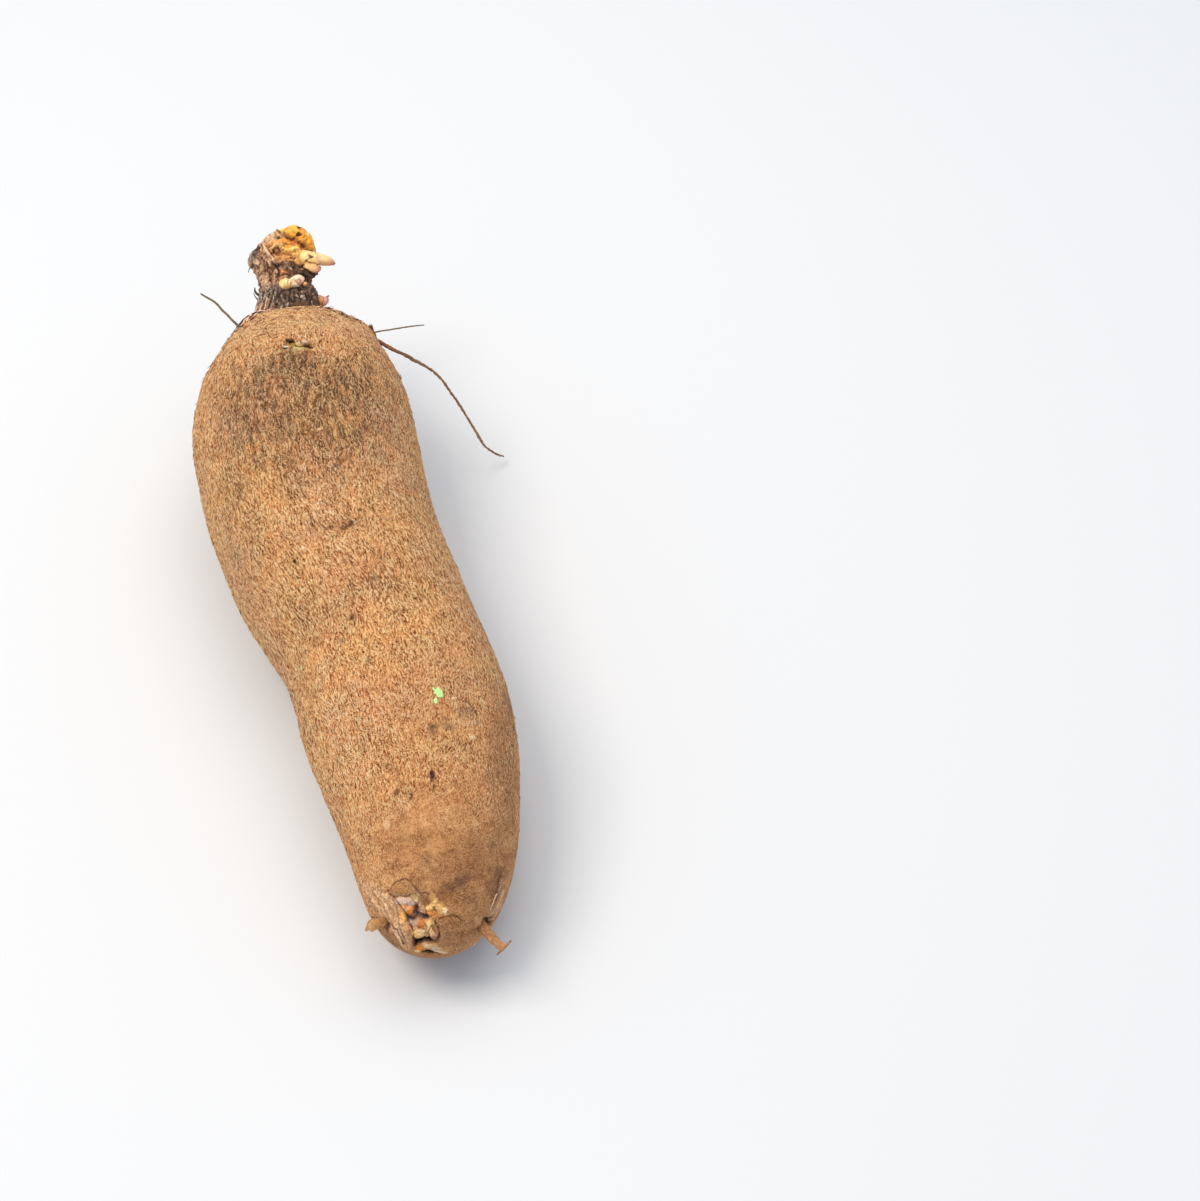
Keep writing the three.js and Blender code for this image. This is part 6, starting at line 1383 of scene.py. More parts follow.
# Strands of bark that run from the collar down the left of the shoulder.
for k in range(34):
    share = rng.random()
    th = math.radians(118 + 74 * share + rng.normal(0, 4))
    start, out0 = crown_at(th, rng.uniform(1.5, 6.5), 0.35)
    middle, out1 = crown_at(th + 0.10, rng.uniform(-3.0, -1.0), 1.3)
    foot = np.array([-18.5, 148.5, 78.5]) * (1 - share) + np.array([-28.5, 144.0, 71.5]) * share
    reach = rng.uniform(0.15, 1.0)
    end = foot + reach * np.array([-6.5, -4.5, -3.5]) + rng.normal(0, 0.9, 3)
    p1, n1, _f, _k = on_skin(foot + rng.normal(0, 0.8, 3))
    p2, n2, _f, _k = on_skin(end)
    r0 = rng.uniform(0.28, 0.55)
    rows = [(*(start), 0.5 * r0), (*(middle), r0), (*(p1 + n1 * 0.30), r0), (*(0.5 * (p1 + p2) + 0.5 * (n1 + n2) * 0.35), 0.8 * r0), (*(p2 + n2 * rng.uniform(0.05, 0.5)), 0.3 * r0)]
    v, t, s, q = tube(rows, 8, 26, lambda t, q, p: 0.22 * fractal(p, 1.2, 181, 2), flat=0.6)
    pick = rng.random()
    c = linear((84, 66, 58)) if pick < 0.40 else (linear((142, 116, 98)) if pick < 0.75 else linear((226, 186, 164)))
    scales.add(v, t, paint=np.clip(c * (1 + 0.35 * fractal(v, 1.3, 183, 2))[:, None], 0.004, 1), wet=np.zeros(len(v)))
# Strips of bark lying one by one along the left of the shoulder.
for k, (points, radius, colour) in enumerate(SHOULDER_STRIPS):
    rows = []
    for j, q in enumerate(points):
        p, n, _f, _k = on_skin(np.array(q))
        end = j in (0, len(points) - 1)
        rows.append((*(p + n * (0.12 if end else 0.38)), radius * (0.45 if end else 1.0)))
    v, t, s, q = tube(rows, 8, 30, lambda t, q, p: 0.18 * fractal(p, 1.1, 191 + k, 2), flat=0.62)
    scales.add(v, t, paint=np.clip(linear(colour) * (1 + 0.30 * fractal(v, 1.2, 195, 2))[:, None], 0.004, 1), wet=np.zeros(len(v)))
# Flat scales and crumbs on the shoulders beside the crown.
SHOULDER_SCALES = [
    # x, y, z of the foot, spread, how many, warm or not, size
    (-24.0, 146.5, 78.0, 2.2, 26, 0, 1.0), (-27.5, 143.0, 75.5, 2.0, 24, 0, 1.0), (-31.0, 138.5, 73.0, 2.0, 14, 0, 0.8), (-20.5, 149.0, 79.5, 2.2, 18, 0, 1.0),
    (17.5, 144.5, 75.0, 1.6, 6, 1, 0.7), (23.0, 141.0, 71.0, 0.8, 7, 1, 1.0), (11.0, 147.5, 78.0, 2.0, 6, 1, 0.7), (29.5, 133.5, 65.0, 0.9, 8, 1, 1.0),
    (26.5, 138.0, 68.5, 0.9, 5, 1, 0.8), (20.0, 143.5, 73.5, 0.9, 5, 1, 0.9),
    (-15.0, 150.0, 81.0, 2.6, 14, 0, 0.9), (0.0, 150.0, 81.0, 5.0, 10, 0, 0.6),
]
for x, y, z0, spread, count, warm, size in SHOULDER_SCALES:
    for _ in range(count):
        p, n, f, _k = on_skin(np.array([x, y, z0]) + rng.normal(0, spread, 3))
        along = -f + np.cross(n, f) * rng.normal(0, 0.8) + n * rng.uniform(-0.02, 0.20)
        pick = rng.random()
        if warm:
            c = linear((150, 104, 72)) if pick < 0.5 else linear((92, 62, 46))
        else:
            c = linear((68, 55, 50)) if pick < 0.5 else (linear((132, 108, 92)) if pick < 0.82 else linear((198, 182, 168)))
        scale_piece(scales, p - n * 0.12, along, n, size * rng.uniform(1.3, 3.2), size * rng.uniform(0.8, 1.8), 0.42, rng.uniform(-0.04, 0.12), rng.normal(0, 0.4), c, c * 1.5)
for x, y, z0, count, size in RAGGED:
    for _ in range(count):
        p, n, f, _k = on_skin(np.array([x, y, z0]) + rng.normal(0, 0.45, 3))
        along = -f * rng.uniform(0.2, 1.0) + np.cross(n, f) * rng.normal(0, 0.7) + n * rng.uniform(0.25, 0.9)
        c = linear((120, 82, 58)) if rng.random() < 0.6 else linear((82, 56, 44))
        scale_piece(scales, p - n * 0.25, along, n, size * rng.uniform(0.9, 1.7), size * rng.uniform(0.8, 1.4), 0.5, rng.uniform(-0.1, 0.2), rng.normal(0, 0.5), c, c * 1.4)
# Curled plates of bark on the crown itself.
for k in range(190):
    th = rng.uniform(0, 2 * np.pi)
    a0 = rng.uniform(8.0, 29.0)
    if a0 > 23 and math.cos(th) > -0.2:
        continue
    base, outward = crown_at(th, a0, 0.05)
    base = base - CROWN_A * (1.35 * float(smooth(17, 31, a0)))
    around = np.cross(CROWN_A, outward)
    along = CROWN_A * rng.choice([-1.0, 1.0]) + around * rng.normal(0, 0.9) + outward * rng.uniform(-0.02, 0.14)
    pick = rng.random()
    c = linear((150, 112, 84)) if pick < 0.55 else (linear((96, 68, 50)) if pick < 0.80 else linear((194, 154, 122)))
    scale_piece(scales, base - outward * 0.15, along, outward, rng.uniform(1.0, 2.6), rng.uniform(0.7, 1.7), 0.38, rng.uniform(-0.06, 0.14), rng.normal(0, 0.5), c, c * (1.35 if rng.random() < 0.35 else 1.1))
# Whiskers on the left of the crown.
for rows in (
    [(3.4, -13.6, 21.6, 0.24), (3.4, -15.78, 20.4, 0.22), (3.2, -16.4, 19.4, 0.18), (3.4, -16.6, 18.3, 0.10)],
    [(1.6, -13.2, 5.0, 0.28), (2.4, -13.4, 5.8, 0.27), (3.6, -14.3, 7.0, 0.24), (5.0, -14.9, 8.4, 0.12)],
    [(2.6, -11.0, 7.8, 0.75), (2.6, -13.0, 8.2, 0.60), (2.8, -14.2, 9.6, 0.50), (2.8, -14.3, 11.6, 0.20)],
    [(-12.0, 6.0, 15.0, 0.22), (-14.0, 7.6, 15.8, 0.20), (-15.2, 8.6, 14.8, 0.16), (-16.2, 9.4, 13.0, 0.10)],
):
    w = np.array(rows)
    w = np.column_stack([from_crown(w[:, 0], w[:, 1], w[:, 2]), w[:, 3]])
    v, t, s, q = tube(w, 8, 16, lambda t, q, p: 0.05 * fractal(p, 0.9, 187, 2))
    scales.add(v, t, paint=linear((82, 70, 60)), wet=np.zeros(len(v)))
crown_scales = scales.make("crown_scales")


def sprout_rows(rows):
    w = np.array(rows, float)
    return np.column_stack([from_crown(w[:, 0], w[:, 1], w[:, 2]), w[:, 3]])


def wrinkles(seed, deep=0.10, folds=5, turn=3.0):
    def f(t, q, p):
        body = np.sin(np.pi * np.clip(t, 0, 1)) ** 0.5
        return body * (deep * np.sin(folds * q + turn * t) * 0.5 + deep * fractal(p, 1.1, seed, 2) * 0.6)
    return f


SHOOT_MAIN = [
    (7.4, 3.6, 23.6, 1.7), (9.0, 5.8, 22.7, 2.3), (10.1, 7.8, 21.8, 2.6), (10.7, 9.8, 21.0, 2.75), (10.8, 12.0, 20.4, 2.75),
    (10.7, 14.6, 19.9, 2.65), (10.4, 16.7, 19.5, 2.45), (10.1, 18.4, 19.1, 2.2), (9.8, 20.1, 18.5, 1.65), (9.5, 21.3, 18.0, 0.95), (9.4, 21.9, 17.9, 0.35),
]
# Wedge of torn sheath below the main shoot.
SHOOT_BRACT = [(8.4, 4.4, 20.0, 0.6), (9.8, 7.0, 18.7, 1.1), (10.7, 9.8, 17.4, 1.7), (10.9, 11.9, 16.4, 2.2), (10.8, 13.2, 15.8, 2.3), (10.5, 14.4, 15.9, 1.6), (10.2, 15.4, 16.5, 0.6)]
BUD_FRONT_LEFT = [(11.0, -2.5, 9.1, 0.9), (12.0, -1.4, 9.0, 2.0), (12.5, 0.0, 8.8, 2.6), (12.5, 1.4, 9.3, 2.2), (12.0, 2.3, 10.2, 0.9)]
BUD_FRONT_RIGHT = [(11.8, 2.2, 9.5, 1.0), (12.7, 3.3, 9.5, 2.1), (13.0, 4.8, 10.0, 2.5), (12.6, 6.5, 10.7, 1.9), (11.8, 7.6, 11.2, 0.8)]
BUD_FRONT_SMALL = [(11.6, 7.2, 8.5, 0.35), (11.9, 7.8, 8.6, 0.75), (11.7, 8.4, 8.8, 0.75), (11.3, 8.8, 9.0, 0.35)]
BUD_BASE = [(2.0, 12.4, 3.4, 1.4), (2.8, 13.9, 3.2, 2.3), (3.3, 15.3, 3.2, 2.4), (3.3, 16.4, 3.7, 1.8), (3.2, 17.2, 4.8, 0.6), (3.1, 17.9, 5.4, 0.3)]


def cup(rows, sides, steps, rim, wall, seed, from_t=0.0):
    """A sheath round a shoot: goes out to a rim that varies with the angle, then
    back inside it. rim(angle) is how far along the rows it reaches, 0 to 1."""
    fine = smooth_rows(rows, 200)
    t_all, u_all, v_all = frames_along(fine[:, :3])
    q = np.linspace(0, 2 * np.pi, sides, endpoint=False)
    reach = rim(q)
    rings, ts = [], []
    outside = [(x, wall) for x in np.linspace(0, 1, steps)]
    inside = [(x, -0.25) for x in np.linspace(0.97, 0.25, max(4, steps // 3))]
    for x, grow in outside + inside:
        at = (from_t + (reach - from_t) * x) * 199
        c = np.stack([np.interp(at, np.arange(200), fine[:, k]) for k in range(4)], 1)
        u = np.stack([np.interp(at, np.arange(200), u_all[:, k]) for k in range(3)], 1)
        v = np.stack([np.interp(at, np.arange(200), v_all[:, k]) for k in range(3)], 1)
        thin = grow * (1 - 0.75 * x**6) if grow > 0 else grow
        ring = c[:, :3] + (u * np.cos(q)[:, None] + v * np.sin(q)[:, None]) * (c[:, 3] + thin)[:, None]
        rings.append(ring)
        ts.append(np.full(sides, x if grow > 0 else 1.0))
    pts = np.array(rings)
    flatp = pts.reshape(-1, 3)
    axis_c = np.repeat(pts.mean(1), sides, 0)
    flatp = flatp + unit(flatp - axis_c) * (0.10 * fractal(flatp, 1.3, seed, 2))[:, None]
    pts = flatp.reshape(pts.shape)
    verts, tris = closed_grid(pts, pts[0].mean(0), pts[-1].mean(0))
    return verts, tris, np.concatenate([[0], np.concatenate(ts), [1]])


def shade(stops, t):
    at = [s[0] for s in stops]
    c = np.array([linear(s[1]) for s in stops])
    return np.stack([np.interp(t, at, c[:, k]) for k in range(3)], 1)


def sprout_marks(v, paint, blobs, lines, sink=0.5):
    """Paints marks on a sprout and presses them in."""
    alpha, raised = np.ones(len(v)), np.zeros(len(v))
    lay_marks(v, blobs, lines, paint, alpha, raised, 0.12)
    paint = np.clip(paint * np.array([1.09, 0.95, 0.88]), 0, 0.98)
    inward = unit(v - v.mean(0))
    return v + inward * (sink * raised)[:, None], paint


# Main shoot: smooth pale body with a browner tip, and the torn sheath at its foot.
h = Heap()
v, t, s, q = tube(sprout_rows(SHOOT_MAIN), 64, 130, wrinkles(101, 0.10, 4, 5.0))
c = shade([(0, (250, 214, 128)), (0.40, (250, 228, 160)), (0.60, (248, 224, 170)), (0.74, (246, 214, 160)), (0.84, (232, 190, 160)), (0.92, (190, 134, 120)), (1, (134, 84, 70))], s)
# Painted shade: the shoot is darkened and warmed on its side facing down the crown.
shoot_underside_shade = smooth(0.2, -1.0, (v - v.mean(0)) @ CROWN_A / 2.6)
c = c * (1 - 0.26 * shoot_underside_shade[:, None] * np.array([0.4, 0.9, 0.9]))
v, c = sprout_marks(v, c, SHOOT_BLOBS, SHOOT_LINES)
h.add(v, t, paint=c, wet=np.full(len(v), 0.7))


def torn_rim(q):
    notch = np.exp(-((np.angle(np.exp(1j * (q - 1.1))) / 0.42) ** 2))
    return 0.50 - 0.10 * notch + 0.03 * np.sin(2 * q + 1) + 0.02 * np.sin(5 * q)


v, t, s = cup(sprout_rows(SHOOT_MAIN), 110, 60, torn_rim, 0.34, 103)
c = shade([(0, (240, 170, 84)), (0.3, (253, 204, 122)), (0.6, (255, 226, 164)), (0.93, (253, 222, 162)), (0.98, (226, 178, 104)), (1, (150, 100, 54))], s)
c = c * (1 + 0.10 * fractal(v, 1.6, 105, 3))[:, None]
v, c = sprout_marks(v, c, SHOOT_BLOBS, SHOOT_LINES)
h.add(v, t, paint=np.clip(c, 0.01, 1), wet=np.full(len(v), 0.7))
shoot_main = h.make("shoot_main_skin")

h = Heap()
v, t, s, q = tube(sprout_rows(SHOOT_BRACT), 48, 70, wrinkles(107, 0.14, 3, 4.0), flat=0.62, wide=CROWN_A)
c = shade([(0, (226, 160, 84)), (0.3, (250, 200, 130)), (0.6, (238, 184, 132)), (0.85, (216, 154, 116)), (1, (134, 84, 62))], s) * (1 + 0.16 * fractal(v, 1.3, 109, 3))[:, None]
rim = smooth(0.75, 0.98, np.abs(np.cos(q)))
c = c * (1 - 0.35 * rim)[:, None]
h.add(v, t, paint=np.clip(c, 0.01, 1), wet=np.full(len(v), 0.5))
shoot_bract = h.make("shoot_bract_skin")


def bud(name, rows, stops, seed, folds=3, turn=9.0, deep=0.22, sheaths=(), blobs=(), lines=()):
    h = Heap()
    v, t, s, q = tube(sprout_rows(rows), 44, 60, wrinkles(seed, deep, folds, turn))
    # Painted shade: the buds are darkened in the dips of their spiral folds.
    groove = np.sin(folds * q + turn * s)
    c = shade(stops, s) * (1 - 0.16 * smooth(-0.5, -1.0, groove))[:, None]
    v, c = sprout_marks(v, c, blobs, lines, 0.8)
    h.add(v, t, paint=c, wet=np.full(len(v), 0.6))
    for k, (reach, lean, turned, colour_stops, wall) in enumerate(sheaths):
        v, t, s = cup(sprout_rows(rows), 64, 28, lambda q: reach + lean * np.sin(q + turned) + 0.05 * np.sin(3 * q + seed), wall, seed + 1 + k)
        c = shade(colour_stops, s) * (1 + 0.10 * fractal(v, 1.2, seed + 7, 2))[:, None]
        v, c = sprout_marks(v, c, blobs, lines, 0.8)
        h.add(v, t, paint=np.clip(c, 0.01, 1), wet=np.full(len(v), 0.6))
    return h.make(name)


CREAM = [(0, (226, 178, 90)), (0.5, (252, 230, 156)), (0.88, (255, 245, 204)), (0.96, (232, 198, 112)), (1, (170, 122, 56))]
PALE = [(0, (236, 200, 140)), (0.5, (254, 236, 204)), (0.88, (254, 240, 224)), (0.96, (226, 176, 132)), (1, (150, 96, 60))]
bud_left = bud("bud_front_left_skin", BUD_FRONT_LEFT, [(0, (240, 204, 120)), (0.4, (252, 234, 176)), (0.8, (255, 245, 210)), (1, (226, 192, 126))], 111, 2, 6.0, 0.24, [(0.46, 0.24, 2.6, CREAM, 0.26), (0.74, 0.18, 5.4, CREAM, 0.14)], BUD_BLOBS, BUD_LINES)
bud_right = bud("bud_front_right_skin", BUD_FRONT_RIGHT, [(0, (250, 226, 184)), (0.35, (254, 238, 218)), (0.7, (250, 224, 204)), (1, (220, 170, 140))], 115, 3, 8.0, 0.26, [(0.42, 0.20, 1.0, PALE, 0.26)], BUD_BLOBS, BUD_LINES)
bud_small = bud("bud_front_small_skin", BUD_FRONT_SMALL, [(0, (216, 160, 96)), (0.5, (248, 214, 150)), (1, (206, 150, 96))], 119, 2, 6.0, 0.08)
ORANGE = [(0, (132, 88, 54)), (0.5, (186, 134, 84)), (0.9, (210, 160, 114)), (1, (96, 60, 40))]
bud_foot = bud("bud_base_skin", BUD_BASE, [(0, (170, 120, 76)), (0.3, (228, 184, 148)), (0.5, (240, 202, 186)), (0.66, (206, 150, 148)), (0.85, (158, 106, 104)), (1, (100, 68, 62))], 123, 3, 5.0, 0.14, [(0.34, 0.12, 2.0, ORANGE, 0.30)])

# ---------------------------------------------------------------- rootlets

ROOT_LEFT = [
    (-25.0, 150.6, 63.6, 0.62), (-26.5, 153.8, 62.3, 0.60), (-28.8, 157.6, 61.0, 0.59), (-31.7, 165.5, 59.0, 0.57),
    (-33.3, 171.0, 57.7, 0.55), (-35.2, 176.8, 56.0, 0.54), (-36.6, 182.2, 54.7, 0.52), (-38.4, 187.5, 53.0, 0.50),
    (-41.0, 193.2, 51.0, 0.46), (-43.2, 198.5, 49.0, 0.36),
]
ROOT_RIGHT_FINE = [
    (24.4, 138.9, 61.9, 0.40), (26.7, 139.6, 62.0, 0.38), (29.5, 140.3, 62.0, 0.37), (32.2, 140.9, 61.7, 0.36),
    (35.0, 141.1, 61.5, 0.36), (37.7, 141.6, 61.2, 0.35), (40.4, 141.9, 61.0, 0.34), (43.6, 142.6, 60.5, 0.33),
    (46.9, 143.1, 60.0, 0.32), (51.5, 144.0, 59.0, 0.26),
]
ROOT_RIGHT_LONG = [
    (23.9, 139.0, 62.2, 1.02), (26.4, 137.6, 62.0, 1.00), (29.5, 135.0, 61.4, 0.98), (34.1, 130.0, 60.7, 0.95),
    (38.8, 126.4, 59.6, 0.92), (41.4, 125.4, 58.2, 1.02), (43.7, 124.9, 56.2, 1.10), (48.3, 124.2, 52.5, 0.86),
    (52.0, 123.6, 48.8, 0.82), (55.4, 121.1, 45.0, 0.80), (58.5, 119.4, 38.8, 0.78), (61.6, 118.3, 32.5, 0.74),
    (64.6, 115.8, 26.2, 0.72), (67.2, 114.1, 20.4, 0.72), (68.7, 111.2, 17.6, 0.86), (70.6, 108.8, 14.2, 0.66),
    (73.1, 108.2, 11.2, 0.60), (76.8, 108.8, 6.9, 0.54), (79.6, 110.9, 3.6, 0.42),
]


def rootlet(name, rows, steps, seed, stops, rough=0.14):
    def bumps(t, q, p):
        r = 0.10 * fractal(p, 3.2, seed, 2) + rough * fractal(p, 1.1, seed + 5, 2)
        return r * np.array(rows)[:, 3].mean()
    v, t, s, q = tube(rows, 14, steps, bumps)
    c = shade(stops, s) * (1 + 0.25 * fractal(v, 2.6, seed + 9, 3))[:, None]
    h = Heap()
    h.add(v, t, paint=np.clip(c, 0.01, 1), wet=np.zeros(len(v)))
    return h.make(name)


root_left = rootlet("root_left_skin", ROOT_LEFT, 150, 131, [(0, (92, 76, 60)), (0.5, (118, 100, 72)), (1, (96, 84, 60))])
root_fine = rootlet("root_right_fine_skin", ROOT_RIGHT_FINE, 110, 137, [(0, (120, 100, 80)), (1, (134, 118, 98))])
_thin = np.array(ROOT_RIGHT_LONG)
_thin[:, 3] *= np.interp(np.arange(len(_thin)), [0, 4, 7, 18], [1.0, 0.80, 0.68, 0.80])
root_long = rootlet("root_right_long_skin", _thin, 420, 143, [(0, (142, 98, 68)), (0.20, (124, 86, 62)), (0.36, (142, 106, 78)), (0.7, (156, 120, 92)), (1, (130, 100, 78))], 0.42)

STUB_STRAP = [
    (19.0, -159.5, 32.3, 2.1), (20.3, -162.4, 31.8, 2.0), (21.6, -165.2, 31.2, 1.85), (23.0, -167.9, 30.6, 1.65),
    (24.5, -170.0, 30.0, 1.5), (25.9, -172.1, 29.4, 1.4), (26.7, -173.1, 29.1, 1.2),
]
STUB_WIDE = (0.718, 0.436, 0.539)
STUB_BAR = [(23.9, -175.1, 29.2, 0.3), (25.5, -173.7, 29.2, 0.5), (27.1, -172.4, 29.2, 0.6), (28.6, -171.3, 29.3, 0.5), (30.0, -170.2, 29.4, 0.3)]
h = Heap()
v, t, s, q = tube(STUB_STRAP, 40, 70, lambda t, q, p: 0.16 * np.sin(9 * q + 3 * fractal(p, 3.0, 151, 2)) + 0.28 * fractal(p, 1.6, 153, 3), flat=0.42, wide=STUB_WIDE)
groove = fractal(v, 1.2, 155, 3)
c = shade([(0, (120, 80, 54)), (0.4, (164, 116, 78)), (0.8, (186, 136, 94)), (1, (160, 112, 76))], s) * (1 + 0.35 * groove)[:, None]
h.add(v, t, paint=np.clip(c, 0.01, 1), wet=np.zeros(len(v)))
v, t, s, q = tube(STUB_BAR, 14, 50, lambda t, q, p: 0.10 * fractal(p, 1.0, 157, 2))
c = shade([(0, (132, 88, 60)), (0.5, (190, 142, 102)), (1, (150, 104, 70))], s)
h.add(v, t, paint=c, wet=np.zeros(len(v)))
for k in range(7):
    j = rng.integers(0, 3)
    base = np.array(STUB_STRAP[j][:3]) + np.array(STUB_WIDE) * rng.uniform(-1.4, 1.4) * STUB_STRAP[j][3] * 0.7
    along = unit(np.array(STUB_STRAP[6][:3]) - np.array(STUB_STRAP[0][:3])) + np.array(STUB_WIDE) * rng.normal(0, 0.35)
    v, t, s = flake(base, along, np.cross(STUB_WIDE, along), rng.uniform(2.0, 3.8), rng.uniform(0.5, 1.0), 0.4, rng.normal(0, 0.05), 0.3, 6, 1.0, rng)
    h.add(v, t, paint=linear((176, 126, 86)) * rng.uniform(0.6, 1.15), wet=np.zeros(len(v)))
stub = h.make("root_stub_bark")

# ----------------------------------------------------- flakes of the skin

h = Heap()
# The curled flake on the left of the tip.
FLAKE_ROWS = [(-13.4, -155.8, 36.0, 1.5), (-15.6, -156.4, 35.7, 1.9), (-17.4, -157.1, 35.8, 1.8), (-18.8, -157.7, 36.2, 2.0), (-20.1, -157.6, 36.7, 2.1), (-21.1, -157.3, 37.2, 1.8)]


def ragged_edge(t, q, p):
    side_on = np.abs(np.cos(q))
    return side_on * (0.40 * fractal(p, 1.5, 161, 2) + 0.30 * np.sin(23 * t + 2 * np.sin(q)) * smooth(0.45, 0.9, t)) + 0.12 * np.sin(7 * q + 4 * t)


v, t, s, q = tube(FLAKE_ROWS, 40, 60, ragged_edge, flat=0.15, wide=PLANE_UP, cap=0.3)
c = shade([(0, (150, 100, 62)), (0.35, (206, 148, 96)), (0.8, (230, 176, 120)), (1, (200, 144, 92))], s) * (0.86 + 0.34 * fractal(v, 1.1, 163, 3))[:, None]
h.add(v, t, paint=np.clip(c, 0.01, 1), wet=np.zeros(len(v)))
# Loose slivers of bark round the wound and up the right of the tip.
LOOSE = [
    # foot x, y, z, direction x, y, z, length, width, shade
    (-16.6, -160.5, 33.2, -0.6, -0.7, -0.1, 2.0, 1.1, (150, 104, 70)),
    (20.8, -155.2, 33.5, 0.25, 0.85, 0.35, 6.5, 1.0, (226, 184, 146)),
    (21.8, -154.0, 31.5, 0.2, 0.9, 0.3, 6.0, 0.9, (206, 162, 124)),
    (22.6, -149.0, 34.0, 0.15, 0.9, 0.3, 5.0, 0.8, (190, 146, 110)),
]
for x, y, z0, dx, dy, dz, length, width, colour in LOOSE:
    p, n, f, _k = on_skin(np.array([x, y, z0]))
    d = np.array([dx, dy, dz])
    d = unit(d - n * (d @ n))
    v, t, s = flake(p + n * 0.05, d, n, length, width, 0.5, rng.uniform(0.0, 0.04), rng.normal(0, 0.15), 12, 1.0, rng)
    h.add(v, t, paint=linear(colour) * rng.uniform(0.92, 1.05), wet=np.zeros(len(v)))
tip_flakes = h.make("tip_flakes")

# Short pale fibres and specks of cork lying on the skin.
h = Heap()
FIBRES = [
    ((-1.7, 83.4, 90.7), 3.6, 0.28, 0.5), ((-1.0, 80.0, 90.5), 4.2, 0.26, -0.9), ((20.5, 99.5, 84.5), 3.4, 0.26, 0.9), ((36.0, 84.0, 71.0), 4.2, 0.24, 0.35),
]
for place, length, width, turn in FIBRES:
    p, n, f, _k = on_skin(np.array(place))
    side = np.cross(n, f)
    d = f * math.cos(turn) + side * math.sin(turn)
    v, t, s = flake(p + n * 0.05, d, n, length, width, 0.2, 0.03, 0.2, 9, 1.0, rng)
    h.add(v, t, paint=linear((244, 214, 170)), wet=np.zeros(len(v)))
# How much skin each vertex of the tuber stands for.
_corner = smooth_skin[tuber_tris]
_area = 0.5 * np.linalg.norm(np.cross(_corner[:, 1] - _corner[:, 0], _corner[:, 2] - _corner[:, 0]), axis=1)
vertex_area = np.zeros(len(smooth_skin))
for k in range(3):
    np.add.at(vertex_area, tuber_tris[:, k], _area / 3)


# Strands gather in some places and leave others smooth.
rough_share = 0.25 + smooth(-0.5, 0.9, fractal(smooth_skin, 10.0, 67, 2))


def strands(count, seed, wild, length, width, tall, colours):
    """Many thin curved threads of cork lying on the skin, three-sided, with
    both ends drawn to a point. Returns vertices, triangles and colours."""
    r = np.random.default_rng(seed)
    weight = vertex_area * (1 - 0.97 * tip_zone) * (1 - 0.45 * patch) * (alpha < 0.5) * smooth(-5, 45, skin_points[:, 2]) * (skin_points[:, 2] > 2) * (tuber_s > 0.004) * rough_share
    k = r.choice(len(weight), count, replace=False, p=weight / weight.sum())
    n, f, start = skin_normal[k], fibre[k], skin_points[k]
    side = np.cross(n, f)
    head_end = smooth(60, 135, start[:, 1])
    turn = r.normal(0, 1, count) * (wild + 0.35 * head_end)
    d = f * np.cos(turn)[:, None] + side * np.sin(turn)[:, None]
    across = np.cross(n, d)
    span = r.uniform(*length, count) * (1 + 1.0 * head_end)
    wide = 0.5 * r.uniform(*width, count)
    high = r.uniform(*tall, count)
    bend = r.normal(0, 0.34, count) * (1 + 0.8 * head_end)
    lift = np.where(r.random(count) < 0.2, r.uniform(0.05, 0.30, count), 0.0)
    rings = []
    for t in (0.0, 0.16, 0.38, 0.62, 0.84, 1.0):
        x = (t - 0.5) * span
        c = start + d * x[:, None] + across * (bend * span * (t - 0.5) ** 2 * 4 * 0.35)[:, None]
        c = c + n * (lift * span * t * t - x * x / 88.0 + 0.03)[:, None]
        size = math.sin(math.pi * (0.04 + 0.92 * t)) ** 0.6
        if t in (0.0, 1.0):
            rings.append((c[:, None, :] - n[:, None, :] * 0.05))
        else:
            w, h = (wide * size)[:, None], (high * size)[:, None]
            rings.append(np.stack([c - across * w - n * 0.12, c + across * w - n * 0.12, c + n * h], 1))
    verts = np.concatenate(rings, 1)  # 1 + 4 * 3 + 1 points for each thread
    tris = []
    for j in range(3):
        a, b = 1 + j, 1 + (j + 1) % 3
        tris.append((0, b, a))
        for q in range(3):
            tris += [(a + 3 * q, b + 3 * q, a + 3 * q + 3), (b + 3 * q, b + 3 * q + 3, a + 3 * q + 3)]
        tris.append((13, a + 9, b + 9))
    tris = (np.array(tris)[None] + 14 * np.arange(count)[:, None, None]).reshape(-1, 3)
    table = np.array([linear(c) for c in colours])
    c = table[r.integers(0, len(table), count)] * r.uniform(0.78, 1.06, count)[:, None]
    c = c * (1 - 0.30 * patch[k] * r.uniform(0.2, 1.0, count))[:, None]
    return verts.reshape(-1, 3), tris, np.repeat(np.clip(c, 0.01, 0.98), 14, axis=0)


v, t, c = strands(4400, 301, 0.45, (1.2, 3.2), (0.20, 0.40), (0.06, 0.18), [(248, 202, 148), (238, 186, 130), (228, 174, 118), (206, 148, 96), (150, 98, 60), (122, 76, 44)])
h.add(v, t, paint=c, wet=np.zeros(len(v)))
fibres = h.make("skin_fibres")
kept = len(t)
h = Heap()
v, t, c = strands(4400, 302, 0.70, (0.9, 2.4), (0.20, 0.38), (0.06, 0.16), [(252, 210, 158), (240, 192, 138), (228, 174, 120), (118, 72, 40), (190, 134, 86)])
h.add(v, t, paint=c, wet=np.zeros(len(v)))
fibres_b = h.make("skin_fibres_short")
print("fibres", kept)

